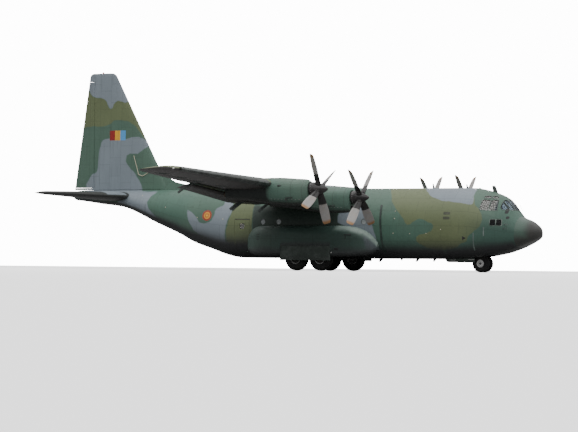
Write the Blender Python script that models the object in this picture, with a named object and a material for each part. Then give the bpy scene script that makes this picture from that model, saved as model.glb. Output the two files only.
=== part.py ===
"""Four-engine high-wing transport aircraft, built as a half-size model.

Every size below is the real aircraft's, in metres. Stations run back from the nose tip (x = 0 there and
negative aft), y is to port and z is up from the ground. One root empty turns these into the half-size model,
which stands on its wheels with its origin on the ground under the middle of its length.
"""
import math

import bmesh
import bpy
from mathutils import Matrix, Vector

# Scale and fits
MODEL_SCALE = 0.5
SEAT_GAP = 0.0006
RUN_GAP = 0.012
PANEL_GAP = 0.014

# Overall size
LENGTH = 29.79
HALF_SPAN = 20.205

# Fuselage
SKIN = 0.08
RING_POINTS = 32
BULKHEAD_X = -1.15
NOSE_JOINT_X = -5.0
CENTRE_JOINT_X = -16.4
AFT_JOINT_X = -25.2
FLOOR_Z = 1.03
FLOOR_DEPTH = 0.10
FLIGHT_DECK_Z = 2.36
LOWER_POWER = 3.0
# Each station: x, half width, bottom, waist and top heights
STATIONS = [
    (0.00, 0.05, 2.13, 2.18, 2.23),
    (-0.12, 0.42, 1.92, 2.16, 2.50),
    (-0.35, 0.74, 1.76, 2.15, 2.70),
    (-0.58, 0.98, 1.64, 2.15, 2.85),
    (-1.15, 1.36, 1.38, 2.18, 3.09),
    (-1.50, 1.55, 1.25, 2.20, 3.50),
    (-2.00, 1.76, 1.08, 2.26, 4.11),
    (-2.50, 1.92, 0.97, 2.34, 4.35),
    (-3.00, 2.03, 0.88, 2.42, 4.51),
    (-3.90, 2.13, 0.77, 2.50, 4.67),
    (-5.00, 2.16, 0.72, 2.52, 4.68),
    (-16.40, 2.16, 0.70, 2.52, 4.68),
    (-18.20, 2.16, 0.71, 2.52, 4.68),
    (-18.80, 2.15, 0.81, 2.55, 4.68),
    (-19.85, 2.11, 1.15, 2.65, 4.68),
    (-20.90, 2.03, 1.49, 2.80, 4.68),
    (-22.00, 1.88, 2.02, 3.05, 4.68),
    (-23.60, 1.60, 2.66, 3.45, 4.68),
    (-25.20, 1.24, 3.36, 3.85, 4.68),
    (-26.00, 1.05, 3.62, 3.97, 4.68),
    (-26.80, 0.87, 3.74, 4.05, 4.68),
    (-27.60, 0.67, 3.82, 4.12, 4.68),
    (-28.40, 0.49, 3.93, 4.22, 4.675),
    (-29.10, 0.34, 4.02, 4.30, 4.665),
    (-29.60, 0.24, 4.08, 4.34, 4.63),
    (-29.79, 0.12, 4.18, 4.36, 4.56),
]

# Wing
WING_BREAK_Y = 5.59
ROOT_CHORD = 4.88
TIP_CHORD = 2.59
QUARTER_X = -12.22
ROOT_Z = 4.30
DIHEDRAL = math.radians(2.7)
ROOT_INCIDENCE = math.radians(3.0)
ROOT_THICKNESS = 0.18
TIP_THICKNESS = 0.12
WING_CAMBER = 0.02
TRAILING_EDGE = 0.016
AIRFOIL_STEPS = 9
FLAP_INNER_Y = 2.30
FLAP_OUTER_Y = 13.50
AILERON_OUTER_Y = 18.90
# Each section of the tip: distance out, share of the chord and share of the thickness
WING_TIP = [(19.00, 1.0, 1.0), (19.50, 0.955, 0.93), (19.85, 0.86, 0.80), (20.08, 0.73, 0.60), (20.205, 0.52, 0.30)]
FLAP_NOSE = 0.74
SHROUD = 0.05
AILERON_HINGE = 0.74
FLAP_HINGE_AHEAD = 0.459
FLAP_HINGE_BELOW = 0.752
FLAP_DOWN = math.radians(9.0)

# Engines and propellers
INNER_ENGINE = (4.95, 4.01)
OUTER_ENGINE = (10.18, 4.29)
PROP_X = -8.66
PROP_RADIUS = 2.055
SPINNER_RADIUS = 0.37
COWL_FRONT_X = -9.16
PROP_TURN = {"1": 45.0, "2": 48.0, "3": 46.0, "4": 29.5}

# Undercarriage
MAIN_RADIUS = 0.70
MAIN_WIDTH = 0.50
MAIN_Y = 2.175
MAIN_X = {"front": -12.31, "rear": -13.83}
NOSE_RADIUS = 0.495
NOSE_TYRE_WIDTH = 0.30
NOSE_TYRE_Y = 0.27
NOSE_AXLE_X = -3.47
NOSE_STEER_X = -3.40
NOSE_BAY = (-5.45, -2.62, 0.70)
SPONSON_Y = 2.85
MAIN_BAY_X = (-14.62, -11.42)
MAIN_DOOR_X = (-14.57, -11.47)

# Doors
OPENING_FRONT_X = -17.50
RAMP_X = (-20.84, -17.535)
RAMP_HINGE = (-17.80, 0.0, 0.965)
RAMP_NOSE = 0.263
RAMP_REAR_TOP = (-20.735, 1.73)
DOOR_X = (-25.08, -20.87)
OPENING_HALF = 1.45
DOOR_REAR_HALF = 0.95
CREW_DOOR = (-4.78, -3.92, 1.09, 2.85)
PARA_DOOR = (-17.83, -16.87, 1.06, 2.88)

# Tail
FIN_HINGE_X = -28.50
FIN_LOW_Z = 4.6812
FIN_TOP_Z = 11.66
RUDDER_Z = (4.80, 11.15)
TAIL_HALF_SPAN = 8.02
TAIL_Z = 4.27
ELEVATOR_Y = (0.97, 7.45)
ELEVATOR_HINGE = 0.70

COLOURS = {
    "skin": ((0.20, 0.24, 0.19), 0.55, 0.1),
    "wing": ((0.22, 0.24, 0.22), 0.55, 0.1),
    "tail": ((0.17, 0.22, 0.17), 0.55, 0.1),
    "engine": ((0.16, 0.18, 0.17), 0.50, 0.3),
    "radome": ((0.03, 0.03, 0.03), 0.45, 0.0),
    "glass": ((0.10, 0.13, 0.14), 0.08, 0.0),
    "blade": ((0.05, 0.04, 0.04), 0.45, 0.2),
    "tyre": ((0.02, 0.02, 0.02), 0.85, 0.0),
    "leg": ((0.45, 0.45, 0.43), 0.40, 0.6),
    "floor": ((0.25, 0.26, 0.25), 0.70, 0.3),
    "seat": ((0.12, 0.13, 0.10), 0.80, 0.0),
    "panel": ((0.08, 0.08, 0.08), 0.60, 0.0),
}


def clear_scene():
    for thing in list(bpy.data.objects):
        bpy.data.objects.remove(thing, do_unlink=True)


def material(name):
    found = bpy.data.materials.get(name)
    if found:
        return found
    colour, roughness, metallic = COLOURS[name]
    made = bpy.data.materials.new(name)
    made.use_nodes = True
    shader = made.node_tree.nodes["Principled BSDF"]
    shader.inputs["Base Color"].default_value = (*colour, 1.0)
    shader.inputs["Roughness"].default_value = roughness
    shader.inputs["Metallic"].default_value = metallic
    return made


def make_root():
    root = bpy.data.objects.new("airframe", None)
    root.scale = (MODEL_SCALE,) * 3
    root.location = (LENGTH / 2 * MODEL_SCALE, 0.0, 0.0)
    bpy.context.collection.objects.link(root)
    return root


def put(name, mesh_data, finish, pivot=(0, 0, 0), turn=None):
    """Link a mesh as an object whose origin is its pivot, turned about it by an optional matrix."""
    bmesh.ops.recalc_face_normals(mesh_data, faces=mesh_data.faces)
    bmesh.ops.translate(mesh_data, verts=mesh_data.verts, vec=-Vector(pivot))
    mesh = bpy.data.meshes.new(name)
    mesh_data.to_mesh(mesh)
    mesh_data.free()
    made = bpy.data.objects.new(name, mesh)
    bpy.context.collection.objects.link(made)
    made.parent = bpy.data.objects["airframe"]
    made.location = pivot
    if turn:
        made.rotation_euler = turn.to_euler()
    if finish:
        mesh.materials.append(material(finish))
        mesh.shade_smooth()
        mesh.set_sharp_from_angle(angle=math.radians(35))
    return made


def tool(name, mesh_data):
    """A cutter or a guide, which the model itself leaves out."""
    made = put(name, mesh_data, None)
    made.hide_render = True
    made.display_type = "WIRE"
    return made


def combine(target, other, operation):
    step = target.modifiers.new(operation.lower(), "BOOLEAN")
    step.operation = operation
    step.solver = "EXACT"
    step.object = other
    return target


def skin_between(made, low, high):
    """Triangles between two rows of points, always split along the same diagonal."""
    for i in range(len(low)):
        j = (i + 1) % len(low)
        made.faces.new((low[i], low[j], high[j]))
        made.faces.new((low[i], high[j], high[i]))


def loft(rings):
    """A closed solid through rings of equal point counts, with flat ends."""
    made = bmesh.new()
    rows = [[made.verts.new(point) for point in ring] for ring in rings]
    for low, high in zip(rows, rows[1:]):
        skin_between(made, low, high)
    made.faces.new(rows[0][::-1])
    made.faces.new(rows[-1])
    return made


def tube(outer, inner, closed_front=False):
    """A hollow solid between outer and inner rings, open at the rear and, unless closed, at the front."""
    made = bmesh.new()
    shells = [[[made.verts.new(p) for p in ring] for ring in rings] for rings in (outer, inner)]
    for rows in shells:
        for low, high in zip(rows, rows[1:]):
            skin_between(made, low, high)
    ends = [-1] if closed_front else [0, -1]
    for end in ends:
        skin_between(made, shells[0][end], shells[1][end])
    if closed_front:
        made.faces.new(shells[0][0])
        made.faces.new(shells[1][0])
    return made


def box(low, high):
    made = bmesh.new()
    bmesh.ops.create_cube(made, size=1.0)
    low, high = Vector(low), Vector(high)
    for vert in made.verts:
        vert.co = Vector(low[k] + (vert.co[k] + 0.5) * (high[k] - low[k]) for k in range(3))
    return made


def prism(outline, direction):
    """Extrude a closed outline of points along a direction."""
    step = Vector(direction)
    return loft([[Vector(p) for p in outline], [Vector(p) + step for p in outline]])


def rod(start, end, radius, sides=16):
    start, end = Vector(start), Vector(end)
    turn = (end - start).to_track_quat("Z", "Y")
    circle = [Vector((math.cos(a) * radius, math.sin(a) * radius, 0))
              for a in (2 * math.pi * k / sides for k in range(sides))]
    return loft([[start + turn @ p for p in circle], [end + turn @ p for p in circle]])


def turned(profile, centre, axis, steps):
    """A solid of revolution about an X or Y axis from (distance along, radius) points, poles closed."""
    centre = Vector(centre)
    along = Vector((1, 0, 0)) if axis == "X" else Vector((0, 1, 0))
    side = Vector((0, 1, 0)) if axis == "X" else Vector((1, 0, 0))
    rings = []
    for distance, radius in profile:
        rings.append([
            centre + along * distance
            + side * (radius * math.cos(a)) + Vector((0, 0, 1)) * (radius * math.sin(a))
            for a in (2 * math.pi * k / steps for k in range(steps))
        ])
    return loft(rings)


def mirrored(ring):
    return [Vector((p[0], -p[1], p[2])) for p in ring]


# Fuselage

def station(x):
    """Half width, bottom, waist and top at a station, read between the listed ones."""
    for front, rear in zip(STATIONS, STATIONS[1:]):
        if rear[0] <= x <= front[0]:
            share = (front[0] - x) / (front[0] - rear[0])
            return [a + (b - a) * share for a, b in zip(front[1:], rear[1:])]
    raise ValueError("station outside the fuselage")


def fuselage_ring(x, inset=0.0):
    """The hull's outline at a station: a half ellipse above the waist and a flatter one below it."""
    half, bottom, waist, top = station(x)
    ring = []
    for k in range(RING_POINTS):
        angle = 2 * math.pi * k / RING_POINTS
        c, s = math.cos(angle), math.sin(angle)
        if s >= 0:
            y, z = (half - inset) * c, waist + (top - waist - inset) * s
        else:
            power = 2.0 / LOWER_POWER
            y = (half - inset) * math.copysign(abs(c) ** power, c)
            z = waist - (waist - bottom - inset) * abs(s) ** power
        ring.append(Vector((x, y, z)))
    return ring


def stations_between(front_x, rear_x):
    inside = [s[0] for s in STATIONS if rear_x + 0.05 < s[0] < front_x - 0.05]
    return [front_x] + inside + [rear_x]


def hull_solid(front_x, rear_x, inset=0.0):
    return loft([fuselage_ring(x, inset) for x in stations_between(front_x, rear_x)])


def nose_inner_stations():
    """Stations of the nose section's inner surface, which the pieces seated on it share."""
    return stations_between(BULKHEAD_X - SEAT_GAP - SKIN, NOSE_JOINT_X + SEAT_GAP / 2)


def hull_tube(front_x, rear_x, closed_front=False):
    outer = [fuselage_ring(x) for x in stations_between(front_x, rear_x)]
    inner_front = front_x - SKIN if closed_front else front_x
    inner = [fuselage_ring(x, SKIN) for x in stations_between(inner_front, rear_x)]
    return tube(outer, inner, closed_front)


def window_cutters():
    """Boxes that pass through the skin where the flight deck's panes are."""
    boxes = []
    for low, high in ((-3.01, -2.55), (-2.50, -2.06)):
        boxes.append(((low, -3, 3.42), (high, 3, 4.00)))
    for low, high in ((-2.36, -2.09), (-2.04, -1.77)):
        boxes.append(((low, -3, 2.57), (high, 3, 2.89)))
    for low, high in ((-2.95, -2.62), (-2.56, -2.20)):
        boxes.append(((low, -3, 4.08), (high, 3, 4.20)))
    for low, high in ((-0.30, 0.30), (0.36, 0.76), (-0.76, -0.36), (0.82, 1.30), (-1.30, -0.82)):
        boxes.append(((-2.00, low, 3.42), (-1.10, high, 3.98)))
    return [tool(f"pane_cut_{k}", box(*b)) for k, b in enumerate(boxes)]


def nose_bay_cutter():
    rear, front, half = NOSE_BAY
    return tool("nose_bay_cut", box((rear, -half, 0.2), (front, half, 1.30)))


def door_box(name, limits, side, shrink):
    low_x, high_x, low_z, high_z = limits
    y_near, y_far = (1.2, 3.0) if side > 0 else (-3.0, -1.2)
    return tool(name, box((low_x + shrink, y_near, low_z + shrink), (high_x - shrink, y_far, high_z - shrink)))


def build_nose():
    nose = put("nose_section", hull_tube(BULKHEAD_X - SEAT_GAP, NOSE_JOINT_X + SEAT_GAP / 2, True), "skin")
    for cutter in window_cutters():
        combine(nose, cutter, "DIFFERENCE")
    combine(nose, nose_bay_cutter(), "DIFFERENCE")
    combine(nose, door_box("crew_door_cut", CREW_DOOR, 1, 0.0), "DIFFERENCE")

    radome_rings = [fuselage_ring(x) for x in stations_between(0.0, BULKHEAD_X)]
    put("radome", loft(radome_rings), "radome")

    keeps = {
        "cockpit_glazing": ((-3.12, -3.0, 3.30), (BULKHEAD_X - SKIN - 0.02, 3.0, 4.27)),
        "lower_glazing_left": ((-2.44, 0.5, 2.50), (-1.71, 3.0, 2.96)),
        "lower_glazing_right": ((-2.44, -3.0, 2.50), (-1.71, -0.5, 2.96)),
    }
    for name, corners in keeps.items():
        glass = tube(*[[fuselage_ring(x, inset) for x in nose_inner_stations()]
                       for inset in (SKIN + SEAT_GAP, SKIN + 0.020)])
        combine(put(name, glass, "glass"), tool(f"{name}_keep", box(*corners)), "INTERSECT")
    return nose


def build_crew_door():
    low_x, high_x, low_z, _ = CREW_DOOR
    hinge_y = max(p.y for p in [
        a.lerp(b, (low_z - a.z) / (b.z - a.z)) for a, b in ring_edges(fuselage_ring(-4.35)) if crosses(a, b, low_z)
    ])
    pivot = (0.5 * (low_x + high_x), hinge_y, low_z + PANEL_GAP)
    door = put("crew_door", hull_tube(NOSE_JOINT_X + 1.3, NOSE_JOINT_X + 0.1), "skin", pivot)
    combine(door, door_box("crew_door_keep", CREW_DOOR, 1, PANEL_GAP), "INTERSECT")
    barrel = rod((low_x + SEAT_GAP, hinge_y, pivot[2]), (high_x - SEAT_GAP, hinge_y, pivot[2]), 0.03, 10)
    combine(door, tool("crew_door_barrel", barrel), "UNION")
    trough = rod((low_x, hinge_y, pivot[2]), (high_x, hinge_y, pivot[2]), 0.03 + RUN_GAP, 10)
    combine(bpy.data.objects["nose_section"], tool("crew_door_trough", trough), "DIFFERENCE")
    return pivot


def ring_edges(ring):
    return list(zip(ring, ring[1:] + ring[:1]))


def crosses(a, b, z):
    return (a.z - z) * (b.z - z) <= 0 and a.z != b.z


def build_centre(wing_notch):
    centre = put("centre_fuselage", hull_tube(NOSE_JOINT_X - SEAT_GAP / 2, CENTRE_JOINT_X + SEAT_GAP / 2), "skin")
    combine(centre, bpy.data.objects["nose_bay_cut"], "DIFFERENCE")
    combine(centre, wing_notch, "DIFFERENCE")
    for side in (1, -1):
        combine(centre, bpy.data.objects[f"main_bay_cut_{side}"], "DIFFERENCE")
    for k, x in enumerate((-9.73, -15.02, -16.02)):
        hole = rod((x, -3, 2.75), (x, 3, 2.75), 0.16, 16)
        combine(centre, tool(f"porthole_cut_{k}", hole), "DIFFERENCE")

    floor = put("cargo_floor", hull_solid(-5.55, -17.42, SKIN + SEAT_GAP), "floor")
    slab = box((-17.43, -3, FLOOR_Z - FLOOR_DEPTH), (-5.54, 3, FLOOR_Z))
    combine(floor, tool("floor_slab", slab), "INTERSECT")

    deck_rings = [fuselage_ring(x, SKIN + SEAT_GAP) for x in nose_inner_stations()]
    deck = put("flight_deck", loft(deck_rings), "floor")
    slab = box((-3.75, -3, FLIGHT_DECK_Z - 0.08), (-1.45, 3, FLIGHT_DECK_Z))
    combine(deck, tool("deck_slab", slab), "INTERSECT")


def opening_prism(name, shrink, low_z, high_front, high_rear):
    """The rear opening's plan, straight beside the ramp and tapered beside the door, as an upright prism."""
    x_rear, x_front = DOOR_X[0] - 0.045 + shrink, OPENING_FRONT_X - shrink
    mid = RAMP_X[0]
    wide, narrow = OPENING_HALF - shrink, DOOR_REAR_HALF - shrink
    plan = [(x_front, -wide), (mid, -wide), (x_rear, -narrow), (x_rear, narrow), (mid, wide), (x_front, wide)]
    bottom = [Vector((x, y, low_z)) for x, y in plan]
    share = [(x_front - x) / (x_front - x_rear) for x, _ in plan]
    top = [Vector((x, y, high_front + (high_rear - high_front) * s)) for (x, y), s in zip(plan, share)]
    return tool(name, loft([bottom, top]))


def build_aft():
    aft = put("aft_fuselage", hull_tube(CENTRE_JOINT_X - SEAT_GAP / 2, AFT_JOINT_X + SEAT_GAP / 2), "skin")
    combine(aft, opening_prism("rear_opening_cut", 0.0, 0.2, 1.35, 3.95), "DIFFERENCE")
    for name, side in (("left", 1), ("right", -1)):
        cut = door_box(f"para_cut_{name}", PARA_DOOR, side, 0.0)
        combine(aft, cut, "DIFFERENCE")
        door = put(f"paratroop_door_{name}", hull_tube(-16.8, -17.9), "skin")
        combine(door, door_box(f"para_keep_{name}", PARA_DOOR, side, SEAT_GAP), "INTERSECT")
        combine(door, tool(f"para_pane_{name}", box((-17.50, min(side, side * 3), 2.35),
                                                    (-17.20, max(side, side * 3), 2.65))), "DIFFERENCE")

    ramp_pivot = RAMP_HINGE
    ramp = put("cargo_ramp", hull_solid(RAMP_X[1], RAMP_X[0]), "skin", ramp_pivot)
    half = OPENING_HALF - PANEL_GAP
    lift = math.asin((FLOOR_Z - RAMP_HINGE[2]) / RAMP_NOSE)
    arc = [-0.5 * math.pi + (lift + 0.5 * math.pi) * k / 7 for k in range(8)]
    outline = [(RAMP_HINGE[0] + RAMP_NOSE * math.cos(a), -half, RAMP_HINGE[2] + RAMP_NOSE * math.sin(a)) for a in arc]
    outline += [(RAMP_REAR_TOP[0], -half, RAMP_REAR_TOP[1]), (RAMP_X[0], -half, 1.48),
                (RAMP_X[0] - 0.01, -half, 0.3), (RAMP_HINGE[0], -half, 0.3)]
    combine(ramp, tool("ramp_wedge", prism(outline, (0, 2 * half, 0))), "INTERSECT")
    reach = OPENING_HALF - SEAT_GAP
    barrel = rod((ramp_pivot[0], -reach, ramp_pivot[2]), (ramp_pivot[0], reach, ramp_pivot[2]), 0.05, 12)
    combine(ramp, tool("ramp_barrel", barrel), "UNION")

    door_pivot = (DOOR_X[0] + 0.06, 0.0, 3.425)
    door = put("cargo_door", hull_tube(DOOR_X[1], DOOR_X[0]), "skin", door_pivot)
    combine(door, opening_prism("cargo_door_keep", PANEL_GAP, 0.2, 1.35 - PANEL_GAP, 3.95 - PANEL_GAP), "INTERSECT")
    reach = DOOR_REAR_HALF + 0.0066
    barrel = rod((door_pivot[0], -reach, door_pivot[2]), (door_pivot[0], reach, door_pivot[2]), 0.04, 12)
    combine(door, tool("cargo_door_barrel", barrel), "UNION")
    return ramp_pivot, door_pivot


def build_cockpit():
    panel_outline = [(-1.72, -1.05, 2.95), (-1.95, -1.05, 2.90), (-1.95, -1.05, 3.30), (-1.80, -1.05, 3.36)]
    panel = put("instrument_panel", prism(panel_outline, (0, 2.10, 0)), "panel")
    foot = box((-1.93, -0.22, FLIGHT_DECK_Z + SEAT_GAP), (-1.75, 0.22, 2.99))
    combine(panel, tool("panel_foot", foot), "UNION")
    for name, side in (("left", 1), ("right", -1)):
        y = 0.78 * side
        seat = put(f"pilot_seat_{name}", box((-3.05, y - 0.25, 2.80), (-2.55, y + 0.25, 2.92)), "seat")
        for k, (low, high) in enumerate((
            ((-3.18, y - 0.24, 2.84), (-3.03, y + 0.24, 3.62)),
            ((-2.92, y - 0.12, FLIGHT_DECK_Z + SEAT_GAP), (-2.68, y + 0.12, 2.85)),
        )):
            combine(seat, tool(f"seat_{name}_{k}", box(low, high)), "UNION")


# Wing

def wing_shape(y):
    """Chord, thickness ratio, incidence and height of the quarter-chord line at a distance from the centre."""
    share = max(0.0, (abs(y) - WING_BREAK_Y) / (HALF_SPAN - WING_BREAK_Y))
    chord = ROOT_CHORD + (TIP_CHORD - ROOT_CHORD) * share
    thickness = ROOT_THICKNESS + (TIP_THICKNESS - ROOT_THICKNESS) * share
    height = ROOT_Z + max(0.0, abs(y) - WING_BREAK_Y) * math.tan(DIHEDRAL)
    return chord, thickness, ROOT_INCIDENCE * (1 - share), height


def section_heights(fraction, thickness, camber=WING_CAMBER):
    """Upper and lower surface heights of a four-digit section, in chords."""
    f = fraction
    half = 5 * thickness * (0.2969 * math.sqrt(f) - 0.126 * f - 0.3516 * f ** 2 + 0.2843 * f ** 3 - 0.1036 * f ** 4)
    if f < 0.4:
        mean = camber / 0.16 * (0.8 * f - f * f)
    else:
        mean = camber / 0.36 * (0.2 + 0.8 * f - f * f)
    return mean + half, mean - half


def wing_point(y, fraction, height):
    """A point by its share of the chord and its height above the chord line in metres."""
    chord, _, incidence, level = wing_shape(y)
    ahead = (0.25 - fraction) * chord
    return Vector((
        QUARTER_X + ahead * math.cos(incidence) - height * math.sin(incidence),
        y,
        level + ahead * math.sin(incidence) + height * math.cos(incidence),
    ))


def surface(y, fraction):
    """Upper and lower surface heights in metres, with a blunt trailing edge."""
    chord, thickness, _, _ = wing_shape(y)
    upper, lower = section_heights(fraction, thickness)
    blunt = 0.5 * TRAILING_EDGE * fraction
    return upper * chord + blunt, lower * chord - blunt


def airfoil_ring(y, grow=0.0):
    steps = [0.5 * (1 - math.cos(math.pi * k / AIRFOIL_STEPS)) for k in range(AIRFOIL_STEPS + 1)]
    upper = [wing_point(y, f, surface(y, f)[0] + grow) for f in reversed(steps[1:])]
    nose = [wing_point(y, 0.0, 0.0) + Vector((grow, 0, 0))]
    lower = [wing_point(y, f, surface(y, f)[1] - grow) for f in steps[1:]]
    ring = upper + nose + lower
    if grow:
        ring[0] = ring[0] - Vector((grow, 0, 0))
        ring[-1] = ring[-1] - Vector((grow, 0, 0))
    return ring


def flap_section(y):
    """The flap's outline under the wing's fixed upper skin, with a round nose."""
    chord = wing_shape(y)[0]
    tip = 0.985
    nose_centre = FLAP_NOSE + 0.055
    top = [cove_height(y, f) - RUN_GAP - 0.05 * chord / ROOT_CHORD * max(0.0, 1 - (f - nose_centre) / 0.12)
           for f in (tip, 0.92, 0.85)]
    bottom = [surface(y, f)[1] for f in (0.85, 0.92, tip)]
    high = cove_height(y, nose_centre) - RUN_GAP - 0.05 * chord / ROOT_CHORD
    low = surface(y, nose_centre)[1]
    middle, half = 0.5 * (high + low), 0.5 * (high - low)
    reach = (nose_centre - FLAP_NOSE - 0.010)
    nose = [(nose_centre - reach * math.sin(a), middle + half * math.cos(a))
            for a in (math.pi * k / 6 for k in range(7))]
    points = list(zip((tip, 0.92, 0.85), top)) + nose + list(zip((0.85, 0.92, tip), bottom))
    return [wing_point(y, f, h) for f, h in points]


def cove_height(y, fraction):
    """Underside of the fixed upper skin over the flap, a straight line down to the trailing edge."""
    chord = wing_shape(y)[0]
    front = surface(y, FLAP_NOSE)[0] - SHROUD * chord / ROOT_CHORD - 0.012
    share = (fraction - FLAP_NOSE) / (1 - FLAP_NOSE)
    return front + (-0.006 - front) * share


def cove_section(y):
    top = [(f, cove_height(y, f)) for f in (1.06, 0.985, 0.92, 0.85, FLAP_NOSE + 0.055, FLAP_NOSE)]
    return [wing_point(y, f, h) for f, h in top + [(FLAP_NOSE, -1.2), (1.06, -1.2)]]


def plane_cut(a, b, point, normal):
    step = b - a
    return a + step * ((point - a).dot(normal) / step.dot(normal))


def trimmed(section, span, ends, normal):
    """Rings of a ruled piece whose ends are cut square to its hinge line."""
    inner, outer = section(span[0]), section(span[1])
    return [[plane_cut(a, b, point, normal) for a, b in zip(inner, outer)] for point in ends]


def flip(rings, side):
    return rings if side > 0 else [mirrored(ring) for ring in rings]


def flap_hinge(y):
    """Centre of the curved tracks' arc, ahead of and below the trailing edge."""
    chord = wing_shape(y)[0]
    edge = wing_point(y, 1.0, 0.0)
    return edge + Vector((FLAP_HINGE_AHEAD * chord, 0, -FLAP_HINGE_BELOW * chord))


def side_axis(axis, side):
    """The same hinge line on the other wing, still pointing to port."""
    return axis if side > 0 else Vector((-axis.x, axis.y, -axis.z))


def build_flap(name, side, span, limits):
    """One flap, its cove in the wing and the two track plates at its ends."""
    axis = (flap_hinge(limits[1]) - flap_hinge(limits[0])).normalized()
    if span[1] <= WING_BREAK_Y:
        axis = Vector((0, 1, 0))
    ends = [wing_point(y, 1.0, 0.0) for y in limits]
    cove = tool(f"{name}_cove", loft(flip(trimmed(cove_section, span, ends, axis), side)))
    inner_ends = [ends[0] + axis * RUN_GAP, ends[1] - axis * RUN_GAP]
    pivot = flap_hinge(limits[0])
    if side < 0:
        pivot = mirrored([pivot])[0]
    hinge = side_axis(axis, side)
    turn = Matrix.Rotation(-FLAP_DOWN, 4, hinge)
    rings = flip(trimmed(flap_section, span, inner_ends, axis), side)
    flap = put(name, loft(rings), "wing", pivot, turn)
    plates = []
    for k, (end, out) in enumerate(((ends[0], -1), (ends[1], 1))):
        y = limits[k]
        centre = plane_cut(flap_hinge(limits[0]), flap_hinge(limits[0]) + axis, end, axis)
        seat = plane_cut(*[wing_point(v, 0.80, surface(v, 0.80)[1] * 0.35) for v in span], end, axis)
        inward = axis * (-out)
        peg_ring = rod(seat + inward * SEAT_GAP, seat + inward * (RUN_GAP + 0.03), 0.035, 10)
        peg = tool(f"{name}_peg_{k}", mirror_mesh(peg_ring, side))
        peg.parent = flap
        for vert in peg.data.vertices:
            vert.co = vert.co - pivot
        combine(flap, peg, "UNION")
        reach = (seat - centre).normalized()
        radius = (seat - centre).length
        outline = []
        half = 0.075 * wing_shape(y)[0] / ROOT_CHORD
        angles = [math.radians(a) for a in (1.5, -6, -12, -18, -23)]
        for r in (radius - half, radius + half):
            arc = [centre + (Matrix.Rotation(a, 3, axis) @ reach) * r for a in angles]
            outline += arc if r < radius else arc[::-1]
        plate = prism(outline, axis * (0.045 * out))
        plates.append(tool(f"{name}_track_{k}", mirror_mesh(plate, side)))
    return flap, cove, plates, pivot, hinge


def mirror_mesh(made, side):
    if side < 0:
        for vert in made.verts:
            vert.co.y = -vert.co.y
        bmesh.ops.reverse_faces(made, faces=made.faces)
    return made


def aileron_section(y):
    return hinged_section(
        wing_point(y, AILERON_HINGE, sum(surface(y, AILERON_HINGE)) / 2),
        wing_point(y, 1.0, 0.0),
        0.5 * (surface(y, AILERON_HINGE)[0] - surface(y, AILERON_HINGE)[1]),
    )


def hinged_section(centre, edge, radius, blunt=0.5 * TRAILING_EDGE):
    """A surface's outline: a round nose about its hinge, then straight sides to the trailing edge."""
    aft = (edge - centre).normalized()
    flat = Vector((aft.x, 0, aft.z)).normalized() if abs(aft.y) < 0.9 else aft
    up = Vector((-flat.z, 0, flat.x))
    if up.z < 0:
        up = -up
    nose = [centre + up * (radius * math.cos(a)) - flat * (radius * math.sin(a))
            for a in (math.pi * k / 6 for k in range(7))]
    return [edge + up * blunt] + nose + [edge - up * blunt]


def bay_section(centre, edge, radius):
    """A square-cornered bay, from ahead of the round nose to well behind the trailing edge."""
    aft = (edge - centre).normalized()
    up = Vector((-aft.z, 0, aft.x))
    if up.z < 0:
        up = -up
    front = centre - aft * (radius + RUN_GAP)
    back = edge + aft * 0.6
    return [back + up, front + up, front - up, back - up]


def aileron_bay(y):
    radius = 0.5 * (surface(y, AILERON_HINGE)[0] - surface(y, AILERON_HINGE)[1])
    centre = wing_point(y, AILERON_HINGE, sum(surface(y, AILERON_HINGE)) / 2)
    return bay_section(centre, wing_point(y, 1.0, 0.0), radius)


def hinged_piece(name, side, section, bay, span, limits, hinge_of, finish, mirror=True):
    """A control surface with round pivots at its ends, and the cutter for its bay."""
    axis = (hinge_of(limits[1]) - hinge_of(limits[0])).normalized()
    ends = [hinge_of(v) for v in limits]
    cutter = tool(f"{name}_bay", loft(flip(trimmed(bay, span, ends, axis), side)))
    inner_ends = [ends[0] + axis * RUN_GAP, ends[1] - axis * RUN_GAP]
    pivot = ends[0] if side > 0 else mirrored([ends[0]])[0]
    piece = put(name, loft(flip(trimmed(section, span, inner_ends, axis), side)), finish, pivot)
    for k, (end, way) in enumerate(((ends[0], 1), (ends[1], -1))):
        boss = rod(end + axis * (way * SEAT_GAP), end + axis * (way * (RUN_GAP + 0.03)), 0.035, 10)
        made = tool(f"{name}_pivot_{k}", mirror_mesh(boss, side))
        combine(piece, made, "UNION")
    return piece, cutter, pivot, side_axis(axis, side)


def aileron_hinge(y):
    return wing_point(y, AILERON_HINGE, sum(surface(y, AILERON_HINGE)) / 2)


TIP_REFERENCE_Y = 20.0


def tip_rings(start, full):
    """The straight wing's last sections, drawn in towards the rounded tip."""
    rings = []
    for y, share, height in WING_TIP:
        reach = (y - start[0].y) / (full[0].y - start[0].y)
        ring = [a.lerp(b, reach) for a, b in zip(start, full)]
        lead, trail = max(p.x for p in ring), min(p.x for p in ring)
        pivot = Vector((lead - 0.28 * (lead - trail), 0, sum(p.z for p in ring) / len(ring)))
        rings.append([Vector((pivot.x + (p.x - pivot.x) * share, y, pivot.z + (p.z - pivot.z) * height))
                      for p in ring])
    return rings


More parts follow.
